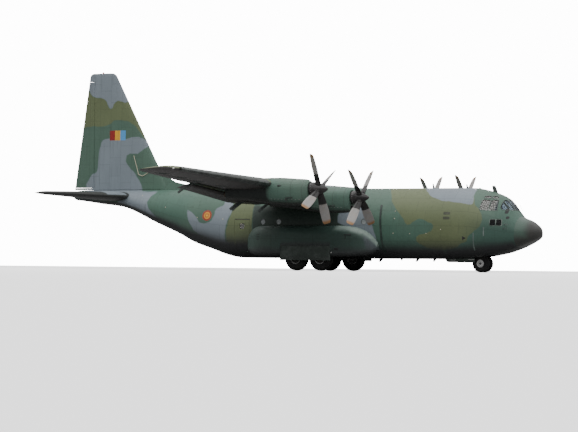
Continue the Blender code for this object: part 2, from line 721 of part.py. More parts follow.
def build_wing():
    gap = SEAT_GAP / 2
    centre_rings = [airfoil_ring(-WING_BREAK_Y + gap), airfoil_ring(WING_BREAK_Y - gap)]
    centre = put("wing_centre", loft(centre_rings), "wing")
    hinges = {}
    for side, word in ((1, "left"), (-1, "right")):
        inner = build_flap(f"flap_inner_{word}", side, (0.0, WING_BREAK_Y), (FLAP_INNER_Y, 5.50))
        combine(centre, inner[1], "DIFFERENCE")
        for plate in inner[2]:
            combine(centre, plate, "UNION")
        start = airfoil_ring(WING_BREAK_Y + gap)
        full = airfoil_ring(TIP_REFERENCE_Y)
        rings = [start] + tip_rings(start, full)
        wing = put(f"wing_{word}", loft(flip(rings, side)), "wing")
        outer = build_flap(f"flap_outer_{word}", side, (WING_BREAK_Y, TIP_REFERENCE_Y), (5.72, FLAP_OUTER_Y))
        combine(wing, outer[1], "DIFFERENCE")
        for plate in outer[2]:
            combine(wing, plate, "UNION")
        aileron = hinged_piece(
            f"aileron_{word}", side, aileron_section, aileron_bay, (WING_BREAK_Y, TIP_REFERENCE_Y),
            (FLAP_OUTER_Y + 0.20, AILERON_OUTER_Y), aileron_hinge, "wing")
        combine(wing, aileron[1], "DIFFERENCE")
        hinges[f"flap_inner_{word}"] = inner[3:]
        hinges[f"flap_outer_{word}"] = outer[3:]
        hinges[f"aileron_{word}"] = aileron[2:]
    notch = tool("wing_notch", loft([airfoil_ring(-2.4, SEAT_GAP * 1.5), airfoil_ring(2.4, SEAT_GAP * 1.5)]))
    return notch, hinges


# Engines and propellers

# Each nacelle station: x, half width, height above the hub and depth below it
NACELLE = [
    (-9.16, 0.42, 0.42, 0.70),
    (-9.34, 0.52, 0.52, 0.80),
    (-9.90, 0.60, 0.56, 0.84),
    (-11.00, 0.62, 0.62, 0.80),
    (-12.10, 0.60, 0.60, 0.68),
    (-13.20, 0.44, 0.40, 0.55),
    (-14.10, 0.27, 0.00, 0.48),
]
NACELLE_POINTS = 20


def nacelle_ring(x, y, z, half, high, deep):
    ring = []
    for k in range(NACELLE_POINTS):
        angle = 2 * math.pi * k / NACELLE_POINTS
        c, s = math.cos(angle), math.sin(angle)
        if s >= 0:
            ring.append(Vector((x, y + half * c, z + high * s)))
        else:
            ring.append(Vector((x, y + half * math.copysign(abs(c) ** 0.75, c), z - deep * abs(s) ** 0.85)))
    return ring


def build_engines():
    gap = SEAT_GAP * 1.5
    inner_solid = tool("wing_centre_keep", loft([airfoil_ring(-WING_BREAK_Y, gap), airfoil_ring(WING_BREAK_Y, gap)]))
    start = airfoil_ring(WING_BREAK_Y + SEAT_GAP / 2, gap)
    outer_rings = [start, tip_rings(start, airfoil_ring(TIP_REFERENCE_Y, gap))[0]]
    outer_solids = {side: tool(f"wing_outer_keep_{side}", loft(flip(outer_rings, side))) for side in (1, -1)}
    for number, side, (span_y, hub_z) in (
            ("1", 1, OUTER_ENGINE), ("2", 1, INNER_ENGINE), ("3", -1, INNER_ENGINE), ("4", -1, OUTER_ENGINE)):
        y = span_y * side
        rings = [nacelle_ring(x, y, hub_z, half, high, deep) for x, half, high, deep in NACELLE]
        nacelle = put(f"nacelle_{number}", loft(rings), "engine")
        wing = outer_solids[side] if span_y > WING_BREAK_Y else inner_solid
        combine(nacelle, wing, "DIFFERENCE")
        intake = rod((-9.0, y, hub_z - 0.56), (-9.62, y, hub_z - 0.56), 0.12, 12)
        for vert in intake.verts:
            vert.co.y = y + (vert.co.y - y) * 1.9
        combine(nacelle, tool(f"intake_cut_{number}", intake), "DIFFERENCE")
        exhaust = rod((-13.75, y, hub_z - 0.25), (-14.3, y, hub_z - 0.25), 0.17, 14)
        combine(nacelle, tool(f"exhaust_cut_{number}", exhaust), "DIFFERENCE")
        build_propeller(number, y, hub_z)


# Each blade station: radius, chord, thickness and pitch in degrees
BLADE = [
    (0.22, 0.30, 0.18, 78.0),
    (0.50, 0.38, 0.13, 72.0),
    (0.90, 0.43, 0.075, 66.0),
    (1.35, 0.48, 0.045, 62.0),
    (1.80, 0.45, 0.030, 58.0),
    (2.03, 0.34, 0.020, 56.0),
    (PROP_RADIUS, 0.20, 0.012, 55.5),
]
BLADE_POINTS = 8


def blade_rings(x, y, z, angle):
    out = Vector((0, -math.sin(angle), math.cos(angle)))
    across = Vector((0, math.cos(angle), math.sin(angle)))
    ahead = Vector((1, 0, 0))
    rings = []
    for radius, chord, thickness, pitch in BLADE:
        turn = math.radians(-pitch)
        edge = across * math.cos(turn) + ahead * math.sin(turn)
        face = ahead * math.cos(turn) - across * math.sin(turn)
        hub = Vector((x, y, z)) + out * radius
        rings.append([hub + edge * (0.5 * chord * math.cos(a)) + face * (0.5 * thickness * math.sin(a))
                      for a in (2 * math.pi * k / BLADE_POINTS for k in range(BLADE_POINTS))])
    return rings


def build_propeller(number, y, z):
    tip_x = PROP_X + 0.50
    back_x = COWL_FRONT_X + 0.02
    profile = [(0.0, 0.012), (-0.03, 0.055), (-0.12, 0.120), (-0.24, 0.190), (-0.38, 0.260), (-0.54, 0.325),
               (-0.70, SPINNER_RADIUS),
               (back_x - tip_x, SPINNER_RADIUS - 0.01), (back_x - tip_x, 0.12),
               (COWL_FRONT_X + SEAT_GAP - tip_x, 0.12)]
    hub = put(f"propeller_{number}", turned(profile, (tip_x, y, z), "X", 18), "blade", (PROP_X, y, z))
    for k in range(4):
        angle = math.radians(PROP_TURN[number] + 90 * k)
        blade = tool(f"blade_{number}_{k}", loft(blade_rings(PROP_X, y, z, angle)))
        combine(hub, blade, "UNION")


# Undercarriage

def wheel_profile(radius, width, rim, recess):
    """Half of a tyre's outline about its axle, from its outer face to its inner one."""
    half = width / 2
    tread = half * 0.80
    return [
        (-half + recess, rim * 0.35), (-half + recess, rim * 0.92), (-half * 0.86, rim),
        (-half, rim + 0.35 * (radius - rim)), (-tread, radius - 0.035), (-half * 0.45, radius),
        (half * 0.45, radius), (tread, radius - 0.035), (half, rim + 0.35 * (radius - rim)),
        (half * 0.86, rim), (half - recess, rim * 0.92), (half - recess, rim * 0.35),
    ]


def main_bay_cutter(side):
    rear, front = MAIN_BAY_X
    low_y, high_y = sorted((1.905 * side, 2.735 * side))
    upper_low, upper_high = sorted((2.17 * side, 2.735 * side))
    bay = tool(f"main_bay_cut_{side}", box((rear, low_y, 0.1), (front, high_y, 1.42)))
    upper = tool(f"main_bay_upper_{side}", box((rear, upper_low, 1.0), (front, upper_high, 1.80)))
    return bay, upper


SPONSON = [
    (-8.88, 2.24, 1.20, 1.58),
    (-9.12, 2.46, 1.02, 1.90),
    (-9.62, 2.68, 0.90, 2.26),
    (-10.40, 2.81, 0.83, 2.48),
    (-11.30, 2.85, 0.81, 2.54),
    (-14.70, 2.85, 0.81, 2.53),
    (-15.70, 2.83, 0.82, 2.53),
    (-16.20, 2.74, 0.86, 2.50),
    (-16.60, 2.55, 0.95, 2.38),
    (-16.90, 2.28, 1.10, 2.15),
]


def sponson_ring(x, outer, bottom, top, side):
    inner, corner = 1.2, 0.22
    low_corner = min(corner, 0.4 * (top - bottom))
    high_corner = min(0.55, 0.45 * (top - bottom))
    ring = [Vector((x, inner, bottom))]
    for k in range(5):
        a = math.radians(-90 + 22.5 * k)
        ring.append(Vector((x, outer - low_corner + low_corner * math.cos(a),
                            bottom + low_corner + low_corner * math.sin(a))))
    for k in range(6):
        a = math.radians(18 * k)
        ring.append(Vector((x, outer - high_corner + high_corner * math.cos(a),
                            top - high_corner + high_corner * math.sin(a))))
    ring.append(Vector((x, inner, top)))
    return [Vector((p.x, p.y * side, p.z)) for p in ring]


def build_sponsons(bays):
    keep = tool("hull_keep", hull_solid(-8.0, -17.8, -SEAT_GAP))
    for side, word in ((1, "left"), (-1, "right")):
        rings = [sponson_ring(*row, side) for row in SPONSON]
        sponson = put(f"sponson_{word}", loft(rings), "skin")
        combine(sponson, keep, "DIFFERENCE")
        for cutter in bays[side]:
            combine(sponson, cutter, "DIFFERENCE")
        rear, front = MAIN_DOOR_X
        low_y, high_y = sorted((2.60 * side, 3.0 * side))
        cut = box((rear - SEAT_GAP, low_y, 0.5), (front + SEAT_GAP, high_y, 1.43 + SEAT_GAP))
        combine(sponson, tool(f"door_cut_{word}", cut), "DIFFERENCE")
        low_y, high_y = sorted((2.795 * side, 2.845 * side))
        put(f"main_gear_door_{word}", box((rear, low_y, 0.58), (front, high_y, 1.43)), "skin")
        for place, x in MAIN_X.items():
            build_main_wheel(f"{word}_{place}", x, side)


def build_main_wheel(name, x, side):
    y = MAIN_Y * side
    wheel = put(f"main_wheel_{name}", turned(wheel_profile(MAIN_RADIUS, MAIN_WIDTH, 0.30, 0.07),
                                             (x, y, MAIN_RADIUS), "Y", 24), "tyre", (x, y, MAIN_RADIUS))
    wheel.data.shade_smooth()
    strut_y = y + side * (MAIN_WIDTH / 2 + 0.125)
    leg = put(f"main_leg_{name}", rod((x, strut_y, 0.62), (x, strut_y, 1.80 - SEAT_GAP), 0.085, 16), "leg")
    axle_end = y + side * (MAIN_WIDTH / 2 - 0.07 + SEAT_GAP)
    axle = rod((x, strut_y, MAIN_RADIUS), (x, axle_end, MAIN_RADIUS), 0.075, 14)
    combine(leg, tool(f"main_axle_{name}", axle), "UNION")
    brace_low, brace_high = Vector((x, strut_y, 1.02)), Vector((x, strut_y - side * 0.02, 1.30))
    collar = rod(brace_low, brace_high, 0.115, 16)
    combine(leg, tool(f"main_collar_{name}", collar), "UNION")


def build_nose_gear():
    deck_under = FLIGHT_DECK_Z - 0.08 - SEAT_GAP
    leg = put("nose_leg", rod((NOSE_STEER_X, 0, 1.02), (NOSE_STEER_X, 0, deck_under), 0.115, 18), "leg")
    link = rod((NOSE_STEER_X, 0, 1.16), (NOSE_STEER_X + 0.62, 0, 1.62), 0.05, 10)
    combine(leg, tool("nose_drag_link", link), "UNION")

    fork = put("nose_fork", rod((NOSE_STEER_X, 0, 0.80), (NOSE_STEER_X, 0, 1.02 - SEAT_GAP), 0.085, 16), "leg",
               (NOSE_STEER_X, 0, 0.80))
    neck = rod((NOSE_STEER_X, 0, 0.86), (NOSE_AXLE_X, 0, NOSE_RADIUS + 0.055 + SEAT_GAP), 0.07, 12)
    neck_end = Vector((NOSE_AXLE_X, 0, NOSE_RADIUS + 0.055 + SEAT_GAP))
    foot = box((NOSE_AXLE_X - 0.06, -0.06, neck_end.z), (NOSE_AXLE_X + 0.06, 0.06, neck_end.z + 0.10))
    combine(fork, tool("nose_neck", neck), "UNION")
    combine(fork, tool("nose_foot", foot), "UNION")
    trim = box((-4.2, -0.5, 0.2), (-3.0, 0.5, neck_end.z))
    combine(fork, tool("nose_trim", trim), "DIFFERENCE")

    half = NOSE_TYRE_WIDTH / 2
    near, far = NOSE_TYRE_Y - half, NOSE_TYRE_Y + half
    one_side = [(near + 0.05, 0.055), (near + 0.05, 0.17), (near + 0.02, 0.21), (near, 0.32), (near + 0.03, 0.465),
                (near + 0.08, NOSE_RADIUS), (far - 0.08, NOSE_RADIUS), (far - 0.03, 0.465), (far, 0.32),
                (far - 0.02, 0.21), (far - 0.05, 0.17), (far - 0.05, 0.06)]
    profile = [(-d, r) for d, r in one_side[::-1]] + one_side
    put("nose_wheels", turned(profile, (NOSE_AXLE_X, 0, NOSE_RADIUS), "Y", 24), "tyre",
        (NOSE_AXLE_X, 0, NOSE_RADIUS))
    rear, _, bay_half = NOSE_BAY
    for word, side in (("left", 1), ("right", -1)):
        low_y, high_y = sorted(((bay_half - 0.03) * side, (bay_half - SEAT_GAP) * side))
        put(f"nose_gear_door_{word}", box((-5.41, low_y, 0.54), (-3.68, high_y, 0.80)), "skin")


# Tail

def fin_chord(z):
    """Leading and trailing edges of the fin and its rudder at a height."""
    share = (z - 4.68) / (11.61 - 4.68)
    return -23.30 + (-27.02 + 23.30) * share, -29.78 + (-28.78 + 29.78) * share


def thin_ring(lead, trail, half, place):
    """A symmetric section between two edges, laid out by a function of x and half thickness."""
    steps = [0.5 * (1 - math.cos(math.pi * k / 7)) for k in range(8)]
    ring = []
    for way in (1, -1):
        for f in (reversed(steps[1:]) if way > 0 else steps):
            thick = half * 5 * (0.2969 * math.sqrt(f) - 0.126 * f - 0.3516 * f ** 2 + 0.2843 * f ** 3
                                - 0.1036 * f ** 4) / 0.5 + 0.006 * f
            ring.append(place(lead + (trail - lead) * f, way * thick))
    return ring


def fin_ring(z, shrink=1.0):
    lead, trail = fin_chord(z)
    middle = 0.5 * (lead + trail)
    lead, trail = middle + (lead - middle) * shrink, middle + (trail - middle) * shrink
    half = (0.105 * (lead - trail) * 0.5 - 0.02) * shrink
    return thin_ring(lead, trail, half, lambda x, t: Vector((x, t, z)))


def fin_half_thickness(z):
    lead, trail = fin_chord(z)
    share = (lead - FIN_HINGE_X) / (lead - trail)
    half = 0.105 * (lead - trail) * 0.5 - 0.02
    f = share
    return half * 5 * (0.2969 * math.sqrt(f) - 0.126 * f - 0.3516 * f ** 2 + 0.2843 * f ** 3
                       - 0.1036 * f ** 4) / 0.5 + 0.006 * f


def rudder_section(z):
    centre = Vector((FIN_HINGE_X, 0, z))
    edge = Vector((fin_chord(z)[1], 0, z))
    radius = fin_half_thickness(z)
    blunt = 0.006
    nose = [centre + Vector((radius * math.sin(a), radius * math.cos(a), 0))
            for a in (math.pi * k / 6 for k in range(7))]
    return [edge + Vector((0, blunt, 0))] + nose + [edge - Vector((0, blunt, 0))]


def rudder_bay(z):
    radius = fin_half_thickness(z)
    front = FIN_HINGE_X + radius + RUN_GAP
    return [Vector((-30.5, 1, z)), Vector((front, 1, z)), Vector((front, -1, z)), Vector((-30.5, -1, z))]


def tail_chord(y):
    share = abs(y) / TAIL_HALF_SPAN
    return -25.28 - 1.45 * share, -29.02 + 1.35 * share


def tail_half(y):
    """Half the tailplane's greatest thickness at a distance out."""
    lead, trail = tail_chord(y)
    return 0.0725 * (lead - trail) + 0.03


def tail_ring(y, shrink=1.0):
    lead, trail = tail_chord(y)
    middle = 0.5 * (lead + trail)
    lead, trail = middle + (lead - middle) * shrink, middle + (trail - middle) * shrink
    half = tail_half(y) * shrink * shrink
    return thin_ring(lead, trail, half, lambda x, t: Vector((x, y, TAIL_Z + t)))


def elevator_centre(y):
    lead, trail = tail_chord(y)
    return Vector((lead + (trail - lead) * ELEVATOR_HINGE, y, TAIL_Z))


def elevator_radius(y):
    f = ELEVATOR_HINGE
    return tail_half(y) * 5 * (0.2969 * math.sqrt(f) - 0.126 * f - 0.3516 * f ** 2 + 0.2843 * f ** 3
                               - 0.1036 * f ** 4) / 0.5 + 0.006 * f


def elevator_section(y):
    return hinged_section(elevator_centre(y), Vector((tail_chord(y)[1], y, TAIL_Z)), elevator_radius(y), 0.006)


def elevator_bay(y):
    return bay_section(elevator_centre(y), Vector((tail_chord(y)[1], y, TAIL_Z)), elevator_radius(y))


def build_tail():
    hinges = {}
    cone = put("tail_cone", hull_solid(AFT_JOINT_X - SEAT_GAP / 2, -LENGTH), "tail")
    low_limit = 11.52
    rings = [fin_ring(FIN_LOW_Z), fin_ring(low_limit), fin_ring(11.61, 0.93), fin_ring(FIN_TOP_Z, 0.70)]
    fin = put("fin", loft(rings), "tail")
    fillet_outline = [(-24.6, 4.6812), (-19.85, 4.6812), (-21.5, 4.86), (-22.9, 5.14), (-24.6, 6.2)]
    half = 0.14
    fillet = bmesh.new()
    left = [fillet.verts.new((x, half * (0.25 + 0.75 * (z < 4.7)), z)) for x, z in fillet_outline]
    right = [fillet.verts.new((x, -half * (0.25 + 0.75 * (z < 4.7)), z)) for x, z in fillet_outline]
    count = len(left)
    for k in range(count):
        m = (k + 1) % count
        fillet.faces.new((left[k], left[m], right[m], right[k]))
    fillet.faces.new(left)
    fillet.faces.new(right[::-1])
    combine(fin, tool("fin_fillet", fillet), "UNION")
    cutter = tool("rudder_bay", loft([rudder_bay(z) for z in RUDDER_Z]))
    combine(fin, cutter, "DIFFERENCE")
    low, high = RUDDER_Z[0] + RUN_GAP, RUDDER_Z[1] - RUN_GAP
    pivot = (FIN_HINGE_X, 0, RUDDER_Z[0])
    rudder = put("rudder", loft([rudder_section(low), rudder_section(high)]), "tail", pivot)
    for k, (z_end, z_in) in enumerate(((RUDDER_Z[0] + SEAT_GAP, low + 0.03), (RUDDER_Z[1] - SEAT_GAP, high - 0.03))):
        boss = rod((FIN_HINGE_X, 0, z_end), (FIN_HINGE_X, 0, z_in), 0.035, 10)
        combine(rudder, tool(f"rudder_pivot_{k}", boss), "UNION")
    hinges["rudder"] = (Vector(pivot), Vector((0, 0, 1)))

    tip = TAIL_HALF_SPAN
    rings = [tail_ring(-tip, 0.6), tail_ring(-tip + 0.10, 0.94), tail_ring(-tip + 0.30), tail_ring(0),
             tail_ring(tip - 0.30), tail_ring(tip - 0.10, 0.94), tail_ring(tip, 0.6)]
    plane = put("tailplane", loft(rings), "tail")
    for side, word in ((1, "left"), (-1, "right")):
        piece, bay, pivot, axis = hinged_piece(
            f"elevator_{word}", side, elevator_section, elevator_bay, (0.001, TAIL_HALF_SPAN - 0.30),
            ELEVATOR_Y, elevator_centre, "tail")
        combine(plane, bay, "DIFFERENCE")
        hinges[f"elevator_{word}"] = (Vector(pivot), axis)
    grow = SEAT_GAP * 1.5
    notch_rings = []
    for y in (-2.0, 0.0, 2.0):
        lead, trail = tail_chord(y)
        notch_rings.append(thin_ring(lead + 4 * grow, trail - grow, tail_half(y), lambda x, t: Vector(
            (x, y, TAIL_Z + t + (math.copysign(grow, t) if abs(t) > 1e-6 else 0.0)))))
    combine(cone, tool("tail_notch", loft(notch_rings)), "DIFFERENCE")
    for piece in (bpy.data.objects["aft_fuselage"], fin):
        combine(piece, bpy.data.objects["tail_notch"], "DIFFERENCE")
    return hinges


def build():
    clear_scene()
    make_root()
    bays = {side: main_bay_cutter(side) for side in (1, -1)}
    notch, hinges = build_wing()
    build_nose()
    hinges["crew_door"] = (Vector(build_crew_door()), Vector((1, 0, 0)))
    build_centre(notch)
    ramp_pivot, door_pivot = build_aft()
    hinges["cargo_ramp"] = (Vector(ramp_pivot), Vector((0, 1, 0)))
    hinges["cargo_door"] = (Vector(door_pivot), Vector((0, 1, 0)))
    build_cockpit()
    build_engines()
    build_sponsons(bays)
    build_nose_gear()
    hinges.update(build_tail())
    return hinges


HINGES = build()
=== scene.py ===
"""Looks of the half-size military transport plane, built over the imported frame.

Sizes are the real aircraft's metres: x runs back from the nose tip (negative aft), y is to port and z is up
from the ground. Shape.object turns them into the half-size model's frame, where the mesh is kept.
"""
import logging
import math
from dataclasses import dataclass, field
from enum import Enum
from typing import Callable, Iterable, Sequence

import bmesh
import bpy
import numpy as np
from mathutils import Matrix, Vector


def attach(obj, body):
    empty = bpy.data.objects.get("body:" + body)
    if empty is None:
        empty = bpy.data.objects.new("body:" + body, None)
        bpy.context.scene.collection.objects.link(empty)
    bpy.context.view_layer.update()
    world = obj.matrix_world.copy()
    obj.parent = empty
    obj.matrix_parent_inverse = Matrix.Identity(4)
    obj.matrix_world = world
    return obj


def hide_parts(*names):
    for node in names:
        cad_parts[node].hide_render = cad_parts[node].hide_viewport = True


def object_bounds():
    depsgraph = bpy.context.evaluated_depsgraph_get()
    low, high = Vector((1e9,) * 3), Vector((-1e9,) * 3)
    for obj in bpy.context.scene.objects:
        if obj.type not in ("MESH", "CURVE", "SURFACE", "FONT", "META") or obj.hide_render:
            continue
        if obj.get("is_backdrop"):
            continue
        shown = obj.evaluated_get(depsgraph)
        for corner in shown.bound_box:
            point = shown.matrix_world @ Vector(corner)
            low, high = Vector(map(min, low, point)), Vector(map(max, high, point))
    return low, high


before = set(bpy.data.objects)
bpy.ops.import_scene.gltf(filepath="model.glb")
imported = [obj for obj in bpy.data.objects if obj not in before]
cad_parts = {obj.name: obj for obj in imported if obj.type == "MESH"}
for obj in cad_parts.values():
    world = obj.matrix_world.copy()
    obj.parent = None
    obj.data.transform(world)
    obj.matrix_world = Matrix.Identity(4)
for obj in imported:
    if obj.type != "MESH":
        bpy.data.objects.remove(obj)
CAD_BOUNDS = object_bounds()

LOG = logging.getLogger("transport_plane")
LENGTH = 29.79
MODEL_SCALE = 0.5
HALF_SPAN = 20.205
RUN_GAP = 0.012
SEAT_GAP = 0.0006
SIDES = (("left", 1), ("right", -1))
NOSE_BAY = ((-5.45, -0.70, 0.2), (-2.62, 0.70, 1.30), 0.02)
Socket = bpy.types.NodeSocket
Ring = list[Vector]


def model_x(x: float) -> float:
    """Where a station behind the nose tip lies along the model."""
    return (LENGTH / 2 + x) * MODEL_SCALE


def to_model(point: Vector) -> Vector:
    """Turn a real-size point from the nose tip into the model's frame."""
    return Vector((model_x(point[0]), point[1] * MODEL_SCALE, point[2] * MODEL_SCALE))


def around(count: int) -> list[float]:
    """Angles that share a full turn evenly."""
    return [2 * math.pi * k / count for k in range(count)]


def mirrored(ring: Iterable[Vector]) -> Ring:
    """The same points on the other side of the centre plane."""
    return [Vector((p[0], -p[1], p[2])) for p in ring]


@dataclass(frozen=True)
class PhotoView:
    """Where the photograph was taken from, in the model's frame."""

    place: tuple[float, float, float] = (29.9675, -61.33, 0.0785)
    yaw: float = math.radians(26.2428)
    pitch: float = math.radians(1.2444)
    roll: float = math.radians(0.5849)
    lens: float = 148.35
    sensor: float = 36.0
    width: int = 578
    height: int = 432

    def axes(self) -> tuple[Vector, Vector, Vector]:
        """The view's right, up and forward directions."""
        forward = Vector((-math.sin(self.yaw) * math.cos(self.pitch), math.cos(self.yaw) * math.cos(self.pitch),
                          math.sin(self.pitch)))
        level = Vector((math.cos(self.yaw), math.sin(self.yaw), 0.0))
        up = level.cross(forward)
        right = level * math.cos(self.roll) + up * math.sin(self.roll)
        return right, up * math.cos(self.roll) - level * math.sin(self.roll), forward

    def build(self) -> bpy.types.Object:
        """Make the camera and set it as the scene's own.

        Returns:
            The camera object.
        """
        right, up, forward = self.axes()
        data = bpy.data.cameras.new("photo_camera")
        data.lens, data.sensor_width, data.sensor_fit = self.lens, self.sensor, "HORIZONTAL"
        data.clip_end = 500.0
        camera = bpy.data.objects.new("photo_camera", data)
        bpy.context.collection.objects.link(camera)
        turn = Matrix((right, up, -forward)).transposed().to_4x4()
        camera.matrix_world = Matrix.Translation(self.place) @ turn
        bpy.context.scene.camera = camera
        return camera

    def outline_places(self, points: np.ndarray) -> np.ndarray:
        """Where real-size points of the starboard side stand in the photograph.

        Args:
            points: Rows of x, y and z; the port side is read as if it were the starboard one.

        Returns:
            Rows of photograph columns and rows.
        """
        right, up, forward = (np.array(v) for v in self.axes())
        spots = np.array(points, dtype=float)
        spots[:, 1] = -np.abs(spots[:, 1])
        spots[:, 0] += LENGTH / 2
        spots = spots * MODEL_SCALE - np.array(self.place)
        reach = self.lens / self.sensor * self.width / (spots @ forward)
        return np.stack([self.width / 2 + spots @ right * reach, self.height / 2 - spots @ up * reach], axis=1)


PHOTO_VIEW = PhotoView()


class Tone(Enum):
    """Camouflage tones that lie over the base green, in the order they are sprayed. The deep tone is partly dark paint
    and partly painted shade where the wing shadows the hull and the nacelles.
    """

    OLIVE = "tone_olive"
    DEEP = "tone_deep"
    GREY = "tone_grey"


# Camouflage outlines
# Each patch is drawn round in columns and rows of the photograph
PATCHES: list[tuple[Tone, list[tuple[float, float]]]] = [
    (Tone.OLIVE, [(390, 175), (391, 189), (392, 202), (396, 209), (403, 218), (405.5, 223.5), (408.5, 225),
                  (412.5, 222), (417.5, 219), (423.5, 219.3), (428, 222), (431.6, 223.5), (433.3, 227),
                  (432, 231), (425.7, 233.3), (418, 235), (415.3, 237.6), (417, 242), (421.3, 245.2),
                  (429, 248.3), (438.7, 250.7), (449.6, 249.6), (458.3, 246.3), (460.4, 243), (466, 242),
                  (468, 236.5), (472.4, 232.2), (476.7, 229.5), (480.5, 225.7), (482.2, 218), (480.5, 212.6),
                  (478.4, 208.3), (474.6, 204.5), (474, 195), (440, 175)]),
    (Tone.GREY, [(422.5, 175), (424.5, 186.5), (427.8, 192), (431, 196.3), (436.5, 198.5), (441, 200.7),
                 (449.6, 201.2), (460.4, 202.8), (472.4, 204.5), (473.7, 199.6), (474.3, 194), (476.7, 190.3),
                 (476, 175)]),
    (Tone.OLIVE, [(234.3, 203), (253.5, 200), (254.5, 205), (253, 210.4), (252.1, 221), (251.8, 239), (253, 251.4),
                  (243.2, 250.5), (234.3, 246), (227, 241.6), (225.4, 231.8), (228, 221), (232.1, 212)]),
    # Deep green behind the wing root and along the sponson: dark paint with the wing's shadow on the hull painted in
    (Tone.DEEP, [(254.5, 205), (263, 206), (280, 207), (300, 209), (338, 212), (338, 223), (352, 226), (361, 238),
                 (364, 262), (252, 262), (252.2, 239), (252.3, 221), (253.2, 210)]),
    (Tone.GREY, [(187, 209.5), (191.4, 212), (196, 216.6), (198.6, 222), (204, 223.8), (211, 221), (214.6, 214),
                 (215.5, 209.5), (220, 206.8), (224.5, 205), (225.4, 199.6), (226, 192), (236, 192),
                 (233.4, 202.3), (231.6, 212), (227.2, 221), (224.6, 231.8), (225, 242), (234, 249), (225, 250),
                 (209.3, 239.5), (200.4, 235), (193.2, 230), (188.8, 222), (187, 215.7)]),
    (Tone.GREY, [(337.9, 214.8), (345, 207), (352, 200), (366, 203), (370, 214), (371.8, 224.6), (377.1, 240.7),
                 (380, 256), (368, 256), (362, 247), (360, 240), (352, 228), (338, 223)]),
    (Tone.GREY, [(118, 191.5), (158, 191.5), (150.4, 197), (146.8, 202.3), (148.2, 208.6), (156, 217), (150, 224),
                 (118, 208)]),
    (Tone.GREY, [(82, 60), (128, 60), (131, 101), (129.4, 101), (125, 103), (121.2, 101), (117.4, 100.7),
                 (113.6, 104), (111.7, 109.8), (108.8, 107.8), (106.9, 102), (104, 98.3), (96.4, 97.8),
                 (92.5, 96.4), (88.7, 90.6), (80, 85)]),
    (Tone.OLIVE, [(78, 84), (88.7, 90.6), (92.5, 96.4), (96.4, 97.8), (104, 98.3), (106.9, 102), (108.8, 107.8),
                  (111.7, 109.8), (113.6, 104), (117.4, 100.7), (121.2, 101), (125, 103), (129.4, 101), (132, 100),
                  (152, 139.4), (144.7, 139.4), (143.3, 136.6), (139.4, 130.8), (134.6, 125), (128.9, 121.2),
                  (121.2, 120.3), (113.6, 120.3), (110.7, 124), (105.9, 126), (100.2, 127), (93.5, 126),
                  (87.8, 127), (83, 129), (74, 129)]),
    (Tone.GREY, [(103, 139.4), (109.8, 138.5), (126, 139.4), (132.7, 137), (138.5, 136.6), (145.2, 139.4),
                 (152, 146), (149, 146), (142.3, 150.4), (136.6, 154.3), (130.8, 153.3), (127, 155.7),
                 (125.6, 161.4), (129.9, 168), (134.6, 173), (139.4, 179.6), (141.8, 187.3), (142.3, 196),
                 (85.8, 196), (86.3, 184.4), (89.7, 178.7), (92.5, 174), (96.8, 173), (98.3, 165.3),
                 (98.8, 155.7), (99.2, 149), (101, 144.2)]),
]
# The same in plan, x and distance from the centre, for the tops that the photograph doesn't show
TOP_PATCHES: list[tuple[Tone, list[tuple[float, float]]]] = [
    (Tone.GREY, [(-10.4, 3.0), (-10.6, 5.2), (-12.0, 6.6), (-13.1, 6.0), (-14.4, 7.2), (-16.5, 6.4), (-16.6, 3.6),
                 (-14.6, 2.6), (-13.2, 3.4), (-12.1, 2.4)]),
    (Tone.OLIVE, [(-10.2, 8.3), (-10.6, 10.4), (-12.0, 11.3), (-13.2, 10.5), (-14.6, 11.4), (-16.4, 10.8),
                  (-16.3, 8.6), (-14.4, 8.0), (-12.9, 8.9), (-11.6, 7.7)]),
    (Tone.GREY, [(-10.4, 13.6), (-11.0, 15.4), (-12.4, 16.2), (-13.4, 15.2), (-15.6, 15.9), (-15.8, 13.4),
                 (-14.0, 12.8), (-12.4, 13.5)]),
    (Tone.OLIVE, [(-10.6, 18.0), (-11.9, 18.6), (-12.8, 17.8), (-15.2, 18.7), (-15.4, 21.0), (-10.4, 21.0)]),
    (Tone.GREY, [(-24.2, 1.6), (-25.4, 3.0), (-27.0, 2.6), (-29.4, 3.4), (-29.6, 0.9), (-26.8, 0.8)]),
    (Tone.OLIVE, [(-24.6, 5.0), (-26.6, 4.8), (-28.9, 5.6), (-28.8, 8.3), (-25.6, 8.3)]),
]


def edge_distance(spots: np.ndarray, outline: Sequence[tuple[float, float]]) -> np.ndarray:
    """Signed distance of flat points to a closed outline, positive inside it.

    Args:
        spots: Rows of two coordinates.
        outline: The outline's corners in the same coordinates.

    Returns:
        One distance for each row.
    """
    corners = np.array(outline, dtype=float)
    inside = np.zeros(len(spots), dtype=bool)
    nearest = np.full(len(spots), 1e9)
    for a, b in zip(corners, np.roll(corners, -1, axis=0)):
        step = b - a
        share = np.clip(((spots - a) @ step) / max(step @ step, 1e-9), 0, 1)
        nearest = np.minimum(nearest, np.linalg.norm(spots - a - share[:, None] * step, axis=1))
        with np.errstate(divide="ignore", invalid="ignore"):
            cross = (a[1] > spots[:, 1]) != (b[1] > spots[:, 1])
            level = a[0] + (spots[:, 1] - a[1]) * step[0] / step[1] if step[1] else np.full(len(spots), -1e9)
        inside ^= cross & (spots[:, 0] < level)
    return np.where(inside, nearest, -nearest)


class Cover(Enum):
    """How the camouflage is laid on a piece."""

    SIDE = "outlines of the side view"
    PLAN = "outlines of the plan view on top, plain below"
    PLAIN = "no outlines"


def store(mesh: bpy.types.Mesh, name: str, values: np.ndarray) -> None:
    """Keep one number for each point of a mesh under a name that a material reads."""
    layer = mesh.attributes.get(name) or mesh.attributes.new(name, "FLOAT", "POINT")
    layer.data.foreach_set("value", np.ascontiguousarray(values, dtype=np.float32))


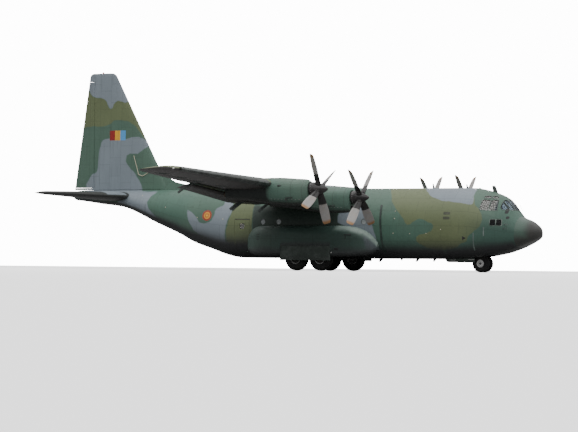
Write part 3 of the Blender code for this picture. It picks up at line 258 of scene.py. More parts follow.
def mesh_points(mesh: bpy.types.Mesh) -> np.ndarray:
    """A mesh's points as rows of real-size x, y and z."""
    flat = np.empty(len(mesh.vertices) * 3, dtype=np.float32)
    mesh.vertices.foreach_get("co", flat)
    points = flat.reshape(-1, 3).astype(float) / MODEL_SCALE
    points[:, 0] -= LENGTH / 2
    return points


def lay_camouflage(made: bpy.types.Object, cover: Cover) -> bpy.types.Object:
    """Store each tone's distance field and the belly's shade on a finished piece.

    Args:
        made: The piece, its mesh in the model's frame.
        cover: Which outlines are used.

    Returns:
        The same piece.
    """
    mesh = made.data
    points = mesh_points(mesh)
    flat = np.empty(len(mesh.vertices) * 3, dtype=np.float32)
    mesh.vertices.foreach_get("normal", flat)
    down = -flat.reshape(-1, 3)[:, 2]
    if cover is Cover.SIDE:
        spots = PHOTO_VIEW.outline_places(points)
        reach, patches = 0.1, PATCHES
    else:
        spots = np.stack([points[:, 0], np.abs(points[:, 1])], axis=1)
        reach, patches = 1.0, TOP_PATCHES if cover is Cover.PLAN else []
    for tone in Tone:
        best = np.full(len(points), -1e3)
        for kind, outline in patches:
            if kind is tone:
                best = np.maximum(best, edge_distance(spots, outline) * reach)
        store(mesh, tone.value, best)
    store(mesh, "belly", np.clip(down, -1, 1))
    return made


# Mesh work

@dataclass
class Shape:
    """Points and faces gathered for one mesh, in real-size metres from the nose tip."""

    points: Ring = field(default_factory=list)
    faces: list[tuple[int, ...]] = field(default_factory=list)

    def loft(self, rings: Sequence[Ring], ends: tuple[bool, bool] = (True, True), closed: bool = True) -> "Shape":
        """Skin rings of equal point counts.

        Args:
            rings: The rings in order.
            ends: Whether the first and the last ring are closed with a face.
            closed: Whether the last ring joins the first, as in a ring-shaped piece.

        Returns:
            This shape.
        """
        first, count = len(self.points), len(rings[0])
        for ring in rings:
            self.points.extend(Vector(p) for p in ring)
        for row in range(len(rings) - 1):
            a, b = first + row * count, first + (row + 1) * count
            for k in range(count if closed else count - 1):
                m = (k + 1) % count
                self.faces.append((a + k, a + m, b + m, b + k))
        if ends[0]:
            self.faces.append(tuple(first + k for k in reversed(range(count))))
        if ends[1]:
            last = first + (len(rings) - 1) * count
            self.faces.append(tuple(last + k for k in range(count)))
        return self

    def hoop(self, rings: Sequence[Ring]) -> "Shape":
        """Skin rings whose last one joins the first, as in a tyre or a tube's wall."""
        first, count, total = len(self.points), len(rings[0]), len(rings)
        self.loft(rings, (False, False))
        last = first + (total - 1) * count
        for k in range(count):
            m = (k + 1) % count
            self.faces.append((last + k, last + m, first + m, first + k))
        return self

    def add(self, other: "Shape") -> "Shape":
        """Take in another shape's points and faces."""
        shift = len(self.points)
        self.points.extend(p.copy() for p in other.points)
        self.faces.extend(tuple(k + shift for k in face) for face in other.faces)
        return self

    def moved(self, matrix: Matrix) -> "Shape":
        """A copy moved by a matrix."""
        return Shape([matrix @ p for p in self.points], list(self.faces))

    def port(self) -> "Shape":
        """A copy on the other side of the centre plane."""
        return Shape(mirrored(self.points), [face[::-1] for face in self.faces])

    def rod(self, start: Sequence[float], end: Sequence[float], radius: float, sides: int = 20,
            tip: float | None = None) -> "Shape":
        """Add a round bar, tapered to another radius at its end if one is given."""
        a, b = Vector(start), Vector(end)
        turn = (b - a).to_track_quat("Z", "Y")
        final = radius if tip is None else tip
        bevel = min(0.12 * radius, 0.2 * (b - a).length)
        rings = []
        for place, size in ((a, radius - bevel), (a + (b - a).normalized() * bevel, radius),
                            (b - (b - a).normalized() * bevel, final), (b, max(final - bevel, 0.3 * final))):
            rings.append([place + turn @ Vector((math.cos(t) * size, math.sin(t) * size, 0))
                          for t in around(sides)])
        return self.loft(rings)

    def block(self, low: Sequence[float], high: Sequence[float], edge: float = 0.008) -> "Shape":
        """Add a box with its edges taken off."""
        low_v, high_v = Vector(low), Vector(high)
        edge = min(edge, 0.24 * min(high_v - low_v))
        rings = []
        for z, inset in ((low_v.z, edge), (low_v.z + edge, 0.0), (high_v.z - edge, 0.0), (high_v.z, edge)):
            xs, ys = (low_v.x + inset, high_v.x - inset), (low_v.y + inset, high_v.y - inset)
            ring = []
            for cx, cy, sx, sy in ((xs[1], ys[1], -1, -1), (xs[0], ys[1], 1, -1), (xs[0], ys[0], 1, 1),
                                   (xs[1], ys[0], -1, 1)):
                pair = [Vector((cx, cy + sy * edge, z)), Vector((cx + sx * edge, cy, z))]
                ring += pair if sx * sy > 0 else pair[::-1]
            rings.append(ring)
        return self.loft(rings)

    def turned(self, profile: Sequence[tuple[float, float]], centre: Sequence[float], axis: str = "X",
               steps: int = 48, hollow: bool = False) -> "Shape":
        """Add a solid of revolution.

        Args:
            profile: Distances along the axis from the centre, each with its radius.
            centre: Where the axis passes and distances start.
            axis: X or Y, the axis' direction.
            steps: How many sides it has.
            hollow: Whether the profile closes on itself away from the axis.

        Returns:
            This shape.
        """
        middle = Vector(centre)
        along, side = (Vector((1, 0, 0)), Vector((0, 1, 0))) if axis == "X" else (Vector((0, 1, 0)), Vector((1, 0, 0)))
        rings = [[middle + along * d + side * (r * math.cos(t)) + Vector((0, 0, r * math.sin(t)))
                  for t in around(steps)] for d, r in profile]
        return self.hoop(rings) if hollow else self.loft(rings)

    def object(self, name: str) -> bpy.types.Object:
        """Make a plain mesh object in the model's frame, its faces turned outward."""
        mesh = bpy.data.meshes.new(name)
        mesh.from_pydata([to_model(p) for p in self.points], [], self.faces)
        work = bmesh.new()
        work.from_mesh(mesh)
        bmesh.ops.remove_doubles(work, verts=work.verts, dist=1e-6)
        bmesh.ops.recalc_face_normals(work, faces=work.faces)
        work.to_mesh(mesh)
        work.free()
        made = bpy.data.objects.new(name, mesh)
        bpy.context.collection.objects.link(made)
        return made


def facing(side: int) -> Callable[[Shape], Shape]:
    """What turns a port shape to a side: 1 keeps it, -1 mirrors it."""
    return (lambda shape: shape) if side > 0 else Shape.port


def drop(thing: bpy.types.Object) -> None:
    """Remove a helper object."""
    bpy.data.objects.remove(thing, do_unlink=True)


def apply_modifiers(made: bpy.types.Object) -> bpy.types.Object:
    """Turn an object's modifiers into its own plain mesh."""
    graph = bpy.context.evaluated_depsgraph_get()
    mesh = bpy.data.meshes.new_from_object(made.evaluated_get(graph))
    made.modifiers.clear()
    made.data = mesh
    return made


def carve(made: bpy.types.Object, cutters: Iterable["Shape"], operation: str = "DIFFERENCE") -> bpy.types.Object:
    """Cut shapes out of an object, or keep what lies inside them.

    Args:
        made: The object that is cut.
        cutters: The shapes or helper objects that cut it, each closed. Helper objects are used up.
        operation: DIFFERENCE, INTERSECT or UNION.

    Returns:
        The object with its new mesh.
    """
    tools = []
    for number, shape in enumerate(cutters):
        tool = shape if isinstance(shape, bpy.types.Object) else shape.object(f"cutter_{number}")
        step = made.modifiers.new(f"cut_{number}", "BOOLEAN")
        step.operation, step.solver, step.object = operation, "EXACT", tool
        tools.append(tool)
    apply_modifiers(made)
    for tool in tools:
        drop(tool)
    return made


def settle(made: bpy.types.Object, body: str, paint: "Finish", nodes: Sequence[str] = (),
           angle: float = 32.0) -> bpy.types.Object:
    """Shade, paint and register a finished piece.

    Args:
        made: The piece.
        body: The body that it rides on.
        paint: Its finish.
        nodes: CAD nodes that it stands for.
        angle: Edges sharper than this many degrees stay sharp.

    Returns:
        The piece.
    """
    mesh = made.data
    mesh.materials.clear()
    mesh.materials.append(paint.build())
    mesh.polygons.foreach_set("material_index", [0] * len(mesh.polygons))
    mesh.shade_smooth()
    mesh.set_sharp_from_angle(angle=math.radians(angle))
    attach(made, body)
    if nodes:
        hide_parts(*nodes)
    return made


def thin_prism(outline: Sequence[tuple[float, float]], low: float, high: float, axis: str = "Y",
               corner: float = 0.0, steps: int = 4) -> Shape:
    """A closed prism over a flat outline, its corners rounded.

    Args:
        outline: Corners as x and z for axis Y, x and y for axis Z, or y and z for axis X.
        low: Where the prism starts along its axis.
        high: Where it ends.
        axis: The direction it is drawn out in.
        corner: The corners' radius.
        steps: Points on each rounded corner.

    Returns:
        The prism.
    """
    flat: list[tuple[float, float]] = []
    count = len(outline)
    for k in range(count):
        here, before, after = (Vector(outline[m % count]) for m in (k, k - 1, k + 1))
        if corner <= 0:
            flat.append(tuple(here))
            continue
        back, ahead = before - here, after - here
        cut = min(corner, 0.45 * back.length, 0.45 * ahead.length)
        start, end = here + back.normalized() * cut, here + ahead.normalized() * cut
        for s in range(steps + 1):
            t = s / steps
            flat.append(tuple(start * (1 - t) ** 2 + here * (2 * t * (1 - t)) + end * t ** 2))
    place = {"Y": lambda p, d: Vector((p[0], d, p[1])), "Z": lambda p, d: Vector((p[0], p[1], d)),
             "X": lambda p, d: Vector((d, p[0], p[1]))}[axis]
    return Shape().loft([[place(p, low) for p in flat], [place(p, high) for p in flat]])


# Finishes

class Bench:
    """Places shader nodes in a tree and joins them in few words."""

    def __init__(self, tree: bpy.types.NodeTree) -> None:
        """Work in a given node tree."""
        self.tree = tree

    def node(self, kind: str, inputs: dict | None = None, **settings: object) -> bpy.types.Node:
        """Add a node, set its properties and fill or link its inputs.

        Args:
            kind: The node's type name.
            inputs: Values or sockets for its inputs, by name or number.
            settings: Properties to set before its inputs.

        Returns:
            The new node.
        """
        made = self.tree.nodes.new(kind)
        for key, value in settings.items():
            setattr(made, key, value)
        for key, value in (inputs or {}).items():
            socket = made.inputs[key]
            if isinstance(value, Socket):
                self.tree.links.new(value, socket)
            else:
                socket.default_value = value
        return made

    def math(self, kind: str, a: object, b: object = 0.0, c: object = 0.0, clamp: bool = False) -> Socket:
        """The result of a math node."""
        return self.node("ShaderNodeMath", {0: a, 1: b, 2: c}, operation=kind, use_clamp=clamp).outputs[0]

    def mix(self, share: object, a: object, b: object, blend: str = "MIX") -> Socket:
        """The result of mixing two colours."""
        made = self.node("ShaderNodeMix", {0: share, 6: a, 7: b}, data_type="RGBA", blend_type=blend)
        return made.outputs[2]

    def step(self, value: object, low: float, high: float, to: tuple[float, float] = (0.0, 1.0)) -> Socket:
        """A smooth step between two values."""
        made = self.node("ShaderNodeMapRange", {0: value, 1: low, 2: high, 3: to[0], 4: to[1]},
                         interpolation_type="SMOOTHSTEP")
        return made.outputs[0]

    def noise(self, place: Socket, scale: float, detail: float = 4.0, rough: float = 0.55) -> Socket:
        """A noise value about one half."""
        return self.node("ShaderNodeTexNoise", {"Vector": place, "Scale": scale, "Detail": detail,
                                                "Roughness": rough}).outputs[0]

    def scaled(self, place: Socket, scale: Sequence[float], shift: Sequence[float] = (0, 0, 0)) -> Socket:
        """A position stretched and shifted."""
        return self.node("ShaderNodeMapping", {"Vector": place, "Scale": tuple(scale),
                                               "Location": tuple(shift)}).outputs[0]

    def stored(self, name: str, wanted: str = "Fac") -> Socket:
        """A value kept on the mesh's points."""
        return self.node("ShaderNodeAttribute", attribute_name=name).outputs[wanted]

    def group(self, name: str, inputs: dict | None = None) -> bpy.types.Node:
        """Use one of the shared effects."""
        return self.node("ShaderNodeGroup", inputs, node_tree=bpy.data.node_groups[name])


def effect(name: str, inputs: Sequence[tuple[str, str, object]], outputs: Sequence[tuple[str, str]],
           work: Callable[[Bench, dict[str, Socket]], dict[str, Socket]]) -> None:
    """Make a shared shader effect as a node group.

    Args:
        name: The group's name.
        inputs: Name, socket type and first value of each input.
        outputs: Name and socket type of each output.
        work: Places the nodes; takes the input sockets by name and returns the output sockets by name.
    """
    tree = bpy.data.node_groups.new(name, "ShaderNodeTree")
    for label, kind, value in inputs:
        socket = tree.interface.new_socket(label, in_out="INPUT", socket_type=kind)
        if value is not None:
            socket.default_value = value
    for label, kind in outputs:
        tree.interface.new_socket(label, in_out="OUTPUT", socket_type=kind)
    bench = Bench(tree)
    entry, leave = bench.node("NodeGroupInput"), bench.node("NodeGroupOutput")
    made = work(bench, {label: entry.outputs[label] for label, _, _ in inputs})
    for label, socket in made.items():
        tree.links.new(socket, leave.inputs[label])


FLOAT, VECTOR = "NodeSocketFloat", "NodeSocketVector"


def make_effects() -> None:
    """Build the node groups that the finishes share."""

    def spray(bench: Bench, given: dict[str, Socket]) -> dict[str, Socket]:
        """A tone's mask from its distance field, with the wobble of a spray gun's edge."""
        wobble = bench.math("MULTIPLY_ADD", bench.noise(given["Position"], 5.0, 3.0), 0.22, -0.11)
        far = bench.math("ADD", given["Distance"], wobble)
        return {"Mask": bench.node("ShaderNodeMapRange", {0: far, 1: bench.math("MULTIPLY", given["Softness"], -1.0),
                                   2: given["Softness"], 3: 0.0, 4: 1.0},
                                   interpolation_type="SMOOTHSTEP").outputs[0]}

    def weather(bench: Bench, given: dict[str, Socket]) -> dict[str, Socket]:
        """Fading, rain streaks and grime as factors about one."""
        place = given["Position"]
        broad = bench.noise(place, 1.1, 4.0, 0.6)
        fine = bench.noise(place, 26.0, 5.0, 0.7)
        streak = bench.noise(bench.scaled(place, (9.0, 9.0, 0.55)), 1.6, 4.0, 0.6)
        fade = bench.math("ADD", bench.math("MULTIPLY_ADD", broad, 0.34, 0.83 - 0.02),
                          bench.math("MULTIPLY_ADD", fine, 0.10, -0.05))
        run = bench.step(streak, 0.52, 0.74)
        grime = bench.math("MULTIPLY", run, bench.step(broad, 0.35, 0.65))
        return {"Fade": fade, "Streaks": run, "Grime": grime}

    def panels(bench: Bench, given: dict[str, Socket]) -> dict[str, Socket]:
        """Skin seams and rivet rows over a surface measured in metres along and round it."""
        brick = bench.node("ShaderNodeTexBrick", {
            "Vector": given["Surface"], "Scale": 1.0, "Mortar Size": 0.006, "Mortar Smooth": 0.35, "Bias": 0.0,
            "Brick Width": given["Panel length"], "Row Height": given["Panel height"],
            "Color1": (0.42, 0.42, 0.42, 1), "Color2": (0.58, 0.58, 0.58, 1)}, offset=0.37, squash=1.0)
        parts = bench.node("ShaderNodeSeparateXYZ", {0: given["Surface"]})
        along = bench.math("PINGPONG", bench.math("ADD", parts.outputs[0], 50.0), 0.255)
        round_it = bench.math("PINGPONG", bench.math("ADD", parts.outputs[1], 50.0), 0.021)
        far = bench.math("SQRT", bench.math("ADD", bench.math("POWER", along, 2.0), bench.math("POWER", round_it, 2.0)))
        rivet = bench.step(far, 0.004, 0.008, (1.0, 0.0))
        return {"Seam": brick.outputs["Fac"], "Shade": brick.outputs["Color"], "Rivet": rivet}

    def lump(bench: Bench, given: dict[str, Socket]) -> dict[str, Socket]:
        """A bump from a height, with its strength and depth."""
        made = bench.node("ShaderNodeBump", {"Height": given["Height"], "Strength": given["Strength"],
                                             "Distance": given["Depth"]})
        return {"Normal": made.outputs[0]}

    effect("spray_edge", [("Position", VECTOR, None), ("Distance", FLOAT, 0.0), ("Softness", FLOAT, 0.05)],
           [("Mask", FLOAT)], spray)
    effect("weathering", [("Position", VECTOR, None)], [("Fade", FLOAT), ("Streaks", FLOAT), ("Grime", FLOAT)], weather)
    effect("skin_panels", [("Surface", VECTOR, None), ("Panel length", FLOAT, 1.5), ("Panel height", FLOAT, 0.8)],
           [("Seam", FLOAT), ("Shade", FLOAT), ("Rivet", FLOAT)], panels)
    effect("surface_lump", [("Height", FLOAT, 0.0), ("Strength", FLOAT, 0.3), ("Depth", FLOAT, 0.004)],
           [("Normal", VECTOR)], lump)


class Finish:
    """Something that can be painted on: keeps one material for each name."""

    name: str

    def build(self) -> bpy.types.Material:
        """Return the finish's material, made at first use."""
        found = bpy.data.materials.get(self.name)
        if found:
            return found
        made = bpy.data.materials.new(self.name)
        made.use_nodes = True
        tree = made.node_tree
        shader = tree.nodes["Principled BSDF"]
        bench = Bench(tree)
        place = bench.node("ShaderNodeTexCoord").outputs["Object"]
        self.dress(bench, shader, place)
        return made

    def dress(self, bench: Bench, shader: bpy.types.Node, place: Socket) -> None:
        """Place the finish's own nodes."""
        raise NotImplementedError


def rgb(*parts: float) -> tuple[float, float, float, float]:
    """A linear colour with full opacity."""
    return (*parts, 1.0)


@dataclass(frozen=True)
class CamouflagePaint(Finish):
    """Satin paint: base green with olive, deep green and grey sprayed over it, darker underneath. The darker underside
    and the deep green are partly dark paint and partly painted shade.
    """

    name: str = "camouflage_paint"
    green: tuple = rgb(0.088, 0.156, 0.116)
    olive: tuple = rgb(0.142, 0.172, 0.086)
    deep: tuple = rgb(0.036, 0.056, 0.045)
    grey: tuple = rgb(0.225, 0.265, 0.300)
    belly: tuple = rgb(0.040, 0.042, 0.044)
    belly_from: float = 0.25
    belly_to: float = 0.80
    panel: tuple[float, float] = (1.52, 0.86)
    softness: float = 0.065
    roughness: float = 0.50
    flash: bool = False
    roundel: tuple[float, float] | None = None
    low_dark: tuple[float, float] | None = None
    nose_painted_shade: float = 0.0

    def dress(self, bench: Bench, shader: bpy.types.Node, place: Socket) -> None:
        """Lay the tones, the markings, the seams and the weather."""
        colour = bench.mix(bench.step(bench.noise(place, 0.45, 2.0), 0.45, 0.62), self.green,
                           rgb(self.green[0] * 0.86, self.green[1] * 0.97, self.green[2] * 0.98))
        # The deep tone is partly dark paint and partly painted shade where the wing shadows the hull and the nacelles
        for tone, shade, soft in ((Tone.OLIVE, self.olive, self.softness), (Tone.DEEP, self.deep, self.softness * 1.6),
                                  (Tone.GREY, self.grey, self.softness)):
            mask = bench.group("spray_edge", {"Position": place, "Distance": bench.stored(tone.value),
                                              "Softness": soft}).outputs[0]
            colour = bench.mix(mask, colour, shade)
        colour = self.markings(bench, colour, place)
        # Painted shade over the lower nose: the green darkens forward of the crew door and below the windows
        if self.nose_painted_shade:
            parts = bench.node("ShaderNodeSeparateXYZ", {0: place})
            ahead = bench.step(parts.outputs[0], model_x(-4.4), model_x(-2.2), (0.0, self.nose_painted_shade))
            under = bench.step(parts.outputs[2], 1.05, 1.75, (1.0, 0.0))
            colour = bench.mix(bench.math("MULTIPLY", ahead, under), colour, rgb(0.030, 0.066, 0.056))
        # Darker on faces turned down and, where low_dark is given, towards the bottom: dark underside paint with
        # painted shade
        ground = bench.step(bench.stored("belly"), self.belly_from, self.belly_to)
        if self.low_dark:
            height = bench.node("ShaderNodeSeparateXYZ", {0: place}).outputs[2]
            wave = bench.math("MULTIPLY_ADD", bench.noise(bench.scaled(place, (1, 1, 0.2)), 1.6, 3.0), 0.12, height)
            low = bench.step(wave, self.low_dark[0] * MODEL_SCALE + 0.06, self.low_dark[1] * MODEL_SCALE + 0.06,
                             (1.0, 0.0))
            ground = bench.math("MAXIMUM", ground, low)
        colour = bench.mix(ground, colour, self.belly)
        weather = bench.group("weathering", {"Position": place})
        skin = bench.group("skin_panels", {"Surface": bench.stored("skin", "Vector"), "Panel length": self.panel[0],
                                           "Panel height": self.panel[1]})
        shade = bench.math("MULTIPLY", weather.outputs["Fade"],
                           bench.math("MULTIPLY_ADD", skin.outputs["Shade"], 0.34, 0.83))
        colour = bench.mix(1.0, colour, self.grey_value(bench, shade), "MULTIPLY")
        colour = bench.mix(bench.math("MULTIPLY", weather.outputs["Grime"], 0.28), colour, rgb(0.030, 0.030, 0.026))
        colour = bench.mix(bench.math("MULTIPLY", skin.outputs["Seam"], 0.42), colour, rgb(0.018, 0.022, 0.020))
        colour = bench.mix(bench.math("MULTIPLY", skin.outputs["Rivet"], 0.16), colour, rgb(0.30, 0.32, 0.30))
        bench.tree.links.new(colour, shader.inputs["Base Color"])
        rough = bench.math("MULTIPLY_ADD", weather.outputs["Streaks"], 0.14, self.roughness)
        bench.tree.links.new(rough, shader.inputs["Roughness"])
        height = bench.math("SUBTRACT", bench.math("MULTIPLY", skin.outputs["Rivet"], 0.5), skin.outputs["Seam"])
        waves = bench.math("MULTIPLY_ADD", bench.noise(place, 3.2, 2.0), 0.9, height)
        lump = bench.group("surface_lump", {"Height": waves, "Strength": 0.30, "Depth": 0.004})
        bench.tree.links.new(lump.outputs[0], shader.inputs["Normal"])
        shader.inputs["Specular IOR Level"].default_value = 0.38

    @staticmethod
    def grey_value(bench: Bench, value: Socket) -> Socket:
        """A grey colour from one value."""
        return bench.node("ShaderNodeCombineColor", {0: value, 1: value, 2: value}).outputs[0]

    def markings(self, bench: Bench, colour: Socket, place: Socket) -> Socket:
        """Paint the fin flash or the roundel, where the finish carries one."""
        parts = bench.node("ShaderNodeSeparateXYZ", {0: place})
        across, height = parts.outputs[0], parts.outputs[2]
        if self.flash:
            inside = bench.math("MULTIPLY", bench.math("COMPARE", height, 3.960, 0.145),
                                bench.math("COMPARE", across, model_x(-26.75), 0.276))
            for middle, shade in ((-27.12, rgb(0.33, 0.022, 0.020)), (-26.75, rgb(0.80, 0.42, 0.035)),
                                  (-26.38, rgb(0.10, 0.36, 0.72))):
                band = bench.math("COMPARE", across, model_x(middle), 0.0925)
                colour = bench.mix(bench.math("MULTIPLY", band, inside), colour, shade)
        if self.roundel:
            dx = bench.math("SUBTRACT", across, model_x(self.roundel[0]))
            dz = bench.math("SUBTRACT", height, self.roundel[1] / 2)
            far = bench.math("SQRT", bench.math("ADD", bench.math("MULTIPLY", dx, dx), bench.math("MULTIPLY", dz, dz)))
            for radius, shade in ((0.153, rgb(0.36, 0.072, 0.040)), (0.102, rgb(0.78, 0.34, 0.045)),
                                  (0.057, rgb(0.44, 0.10, 0.030)), (0.036, rgb(0.80, 0.47, 0.07))):
                colour = bench.mix(bench.math("LESS_THAN", far, radius), colour, shade)
        return colour


@dataclass(frozen=True)
class PlainPaint(Finish):
    """Painted or bare metal in one tone, with scuffs and brushed grain."""

    name: str
    tone: tuple
    worn: tuple
    roughness: float = 0.45
    metal: float = 0.0
    wear: float = 0.35
    grain: float = 18.0
    lump: float = 0.25

    def dress(self, bench: Bench, shader: bpy.types.Node, place: Socket) -> None:
        """Mix the tone with its worn shade and roughen it."""
        broad = bench.noise(place, self.grain * 0.22, 5.0, 0.65)
        fine = bench.noise(place, self.grain * 5.0, 4.0, 0.7)
        mask = bench.math("MULTIPLY", bench.step(bench.math("MULTIPLY_ADD", fine, 0.35, broad), 0.62, 0.86), self.wear)
        colour = bench.mix(mask, self.tone, self.worn)
        value = bench.math("MULTIPLY_ADD", broad, 0.5, 0.75)
        colour = bench.mix(1.0, colour, CamouflagePaint.grey_value(bench, value), "MULTIPLY")
        bench.tree.links.new(colour, shader.inputs["Base Color"])
        bench.tree.links.new(bench.math("MULTIPLY_ADD", fine, 0.24, self.roughness - 0.12), shader.inputs["Roughness"])
        shader.inputs["Metallic"].default_value = self.metal
        bump = bench.group("surface_lump", {"Height": fine, "Strength": self.lump, "Depth": 0.002})
        bench.tree.links.new(bump.outputs[0], shader.inputs["Normal"])


@dataclass(frozen=True)
class NosePaint(Finish):
    """The radome's semi-gloss paint, soot brown at the front and green where it meets the hull."""

    name: str = "nose_camouflage"
    dark: tuple = rgb(0.038, 0.038, 0.035)
    green: tuple = rgb(0.060, 0.106, 0.082)

    def dress(self, bench: Bench, shader: bpy.types.Node, place: Socket) -> None:
        """Fade the green into the dark tip and scour its front edge."""
        across = bench.node("ShaderNodeSeparateXYZ", {0: place})
        wobble = bench.math("MULTIPLY_ADD", bench.noise(place, 2.2, 4.0), 0.16, across.outputs[0])
        tip = bench.step(wobble, model_x(-0.86) + 0.08, model_x(-0.36) + 0.08)
        low = bench.step(across.outputs[2], 0.86, 1.12, (1.0, 0.0))
        colour = bench.mix(bench.math("MAXIMUM", tip, bench.math("MULTIPLY", low, 0.92)), self.green, self.dark)
        scour = bench.step(bench.noise(place, 22.0, 5.0, 0.7), 0.55, 0.78)
        colour = bench.mix(bench.math("MULTIPLY", scour, 0.22), colour, rgb(0.20, 0.18, 0.14))
        bench.tree.links.new(colour, shader.inputs["Base Color"])
        bench.tree.links.new(bench.math("MULTIPLY_ADD", scour, 0.2, 0.36), shader.inputs["Roughness"])
        bump = bench.group("surface_lump", {"Height": bench.noise(place, 14.0, 4.0), "Strength": 0.15,
                                            "Depth": 0.002})
        bench.tree.links.new(bump.outputs[0], shader.inputs["Normal"])


@dataclass(frozen=True)
class GlassFinish(Finish):
    """Tinted pane with a faint film of dust, darker at the windscreen."""

    name: str = "pane_glass"
    tint: tuple = rgb(0.60, 0.60, 0.58)
    front: tuple = rgb(0.10, 0.14, 0.18)

    def dress(self, bench: Bench, shader: bpy.types.Node, place: Socket) -> None:
        """Make the pane clear, with dust in its roughness."""
        dust = bench.step(bench.noise(place, 9.0, 5.0, 0.7), 0.45, 0.8)
        across = bench.node("ShaderNodeSeparateXYZ", {0: place}).outputs[0]
        ahead = bench.step(across, model_x(-2.32), model_x(-2.12))
        colour = bench.mix(ahead, self.tint, self.front)
        bench.tree.links.new(bench.mix(bench.math("MULTIPLY", dust, 0.12), colour, rgb(0.30, 0.32, 0.32)),
                             shader.inputs["Base Color"])
        bench.tree.links.new(bench.math("MULTIPLY_ADD", dust, 0.06, 0.02), shader.inputs["Roughness"])
        shader.inputs["Transmission Weight"].default_value = 0.88
        shader.inputs["IOR"].default_value = 1.06
        shader.inputs["Coat Weight"].default_value = 0.4


@dataclass(frozen=True)
class BladePaint(Finish):
    """A propeller blade's paint, banded by distance from its hub."""

    name: str
    middle: tuple[float, float]
    root: tuple = rgb(0.012, 0.011, 0.011)
    face: tuple = rgb(0.33, 0.32, 0.31)
    tip: tuple = rgb(0.31, 0.165, 0.070)

    def dress(self, bench: Bench, shader: bpy.types.Node, place: Socket) -> None:
        """Band the blade, worn along its face."""
        parts = bench.node("ShaderNodeSeparateXYZ", {0: place})
        dy = bench.math("SUBTRACT", parts.outputs[1], self.middle[0] * MODEL_SCALE)
        dz = bench.math("SUBTRACT", parts.outputs[2], self.middle[1] * MODEL_SCALE)
        far = bench.math("SQRT", bench.math("ADD", bench.math("MULTIPLY", dy, dy), bench.math("MULTIPLY", dz, dz)))
        ragged = bench.math("MULTIPLY_ADD", bench.noise(place, 14.0, 3.0), 0.02, bench.math("SUBTRACT", far, 0.01))
        cuff = bench.step(ragged, 0.430, 0.470)
        colour = bench.mix(cuff, self.root, self.face)
        warm = bench.step(bench.noise(place, 6.0, 4.0, 0.6), 0.40, 0.70)
        colour = bench.mix(bench.math("MULTIPLY", bench.math("MULTIPLY", cuff, warm), 0.55), colour,
                           rgb(0.36, 0.31, 0.27))
        colour = bench.mix(bench.step(ragged, 0.880, 0.985), colour, self.tip)
        worn = bench.step(bench.noise(place, 30.0, 5.0, 0.7), 0.52, 0.75)
        colour = bench.mix(bench.math("MULTIPLY", worn, 0.30), colour, rgb(0.16, 0.13, 0.11))
        bench.tree.links.new(colour, shader.inputs["Base Color"])
        bench.tree.links.new(bench.math("MULTIPLY_ADD", worn, 0.25, 0.34), shader.inputs["Roughness"])
        bump = bench.group("surface_lump", {"Height": bench.noise(place, 60.0, 3.0), "Strength": 0.12,
                                            "Depth": 0.001})
        bench.tree.links.new(bump.outputs[0], shader.inputs["Normal"])


@dataclass(frozen=True)
class TyreRubber(Finish):
    """Worn black rubber, dusty on its tread."""

    name: str = "tyre_tread"
    black: tuple = rgb(0.018, 0.018, 0.019)
    dust: tuple = rgb(0.085, 0.080, 0.072)

    def dress(self, bench: Bench, shader: bpy.types.Node, place: Socket) -> None:
        """Groove the tread with painted shade in the grooves, ring the flanks, and dust the rubber."""
        fine = bench.noise(place, 120.0, 4.0, 0.7)
        far = bench.math("ABSOLUTE", bench.math("SUBTRACT", bench.math("ABSOLUTE", bench.stored("across")), 0.055))
        groove = bench.step(far, 0.006, 0.012, (1.0, 0.0))
        wave = bench.math("SINE", bench.math("MULTIPLY", bench.stored("radius"), 190.0))
        flank = bench.math("MULTIPLY", bench.step(bench.math("ABSOLUTE", bench.stored("across")), 0.11, 0.2), wave)
        dusty = bench.step(bench.noise(place, 7.0, 5.0, 0.65), 0.42, 0.78)
        colour = bench.mix(bench.math("MULTIPLY", dusty, 0.5), self.black, self.dust)
        # The grooves are darkened: painted shade in the tread's recesses
        bench.tree.links.new(bench.mix(bench.math("MULTIPLY", groove, 0.8), colour, rgb(0.006, 0.006, 0.006)),
                             shader.inputs["Base Color"])
        bench.tree.links.new(bench.math("MULTIPLY_ADD", fine, 0.2, 0.68), shader.inputs["Roughness"])
        height = bench.math("MULTIPLY_ADD", groove, -6.0, bench.math("MULTIPLY_ADD", flank, 0.5, fine))
        bump = bench.group("surface_lump", {"Height": height, "Strength": 0.5, "Depth": 0.001})
        bench.tree.links.new(bump.outputs[0], shader.inputs["Normal"])


@dataclass(frozen=True)
class SeatCloth(Finish):
    """Woven seat cloth."""

    name: str = "seat_cloth"
    warp: tuple = rgb(0.060, 0.068, 0.045)
    weft: tuple = rgb(0.095, 0.102, 0.070)

    def dress(self, bench: Bench, shader: bpy.types.Node, place: Socket) -> None:
        """Cross two sets of threads."""
        threads = [bench.node("ShaderNodeTexWave", {"Vector": place, "Scale": 95.0, "Distortion": 0.6,
                                                    "Detail": 1.0}, bands_direction=way).outputs["Fac"]
                   for way in ("X", "Z")]
        weave = bench.math("MULTIPLY", threads[0], threads[1])
        bench.tree.links.new(bench.mix(weave, self.warp, self.weft), shader.inputs["Base Color"])
        shader.inputs["Roughness"].default_value = 0.86
        shader.inputs["Sheen Weight"].default_value = 0.3
        bump = bench.group("surface_lump", {"Height": weave, "Strength": 0.4, "Depth": 0.001})
        bench.tree.links.new(bump.outputs[0], shader.inputs["Normal"])


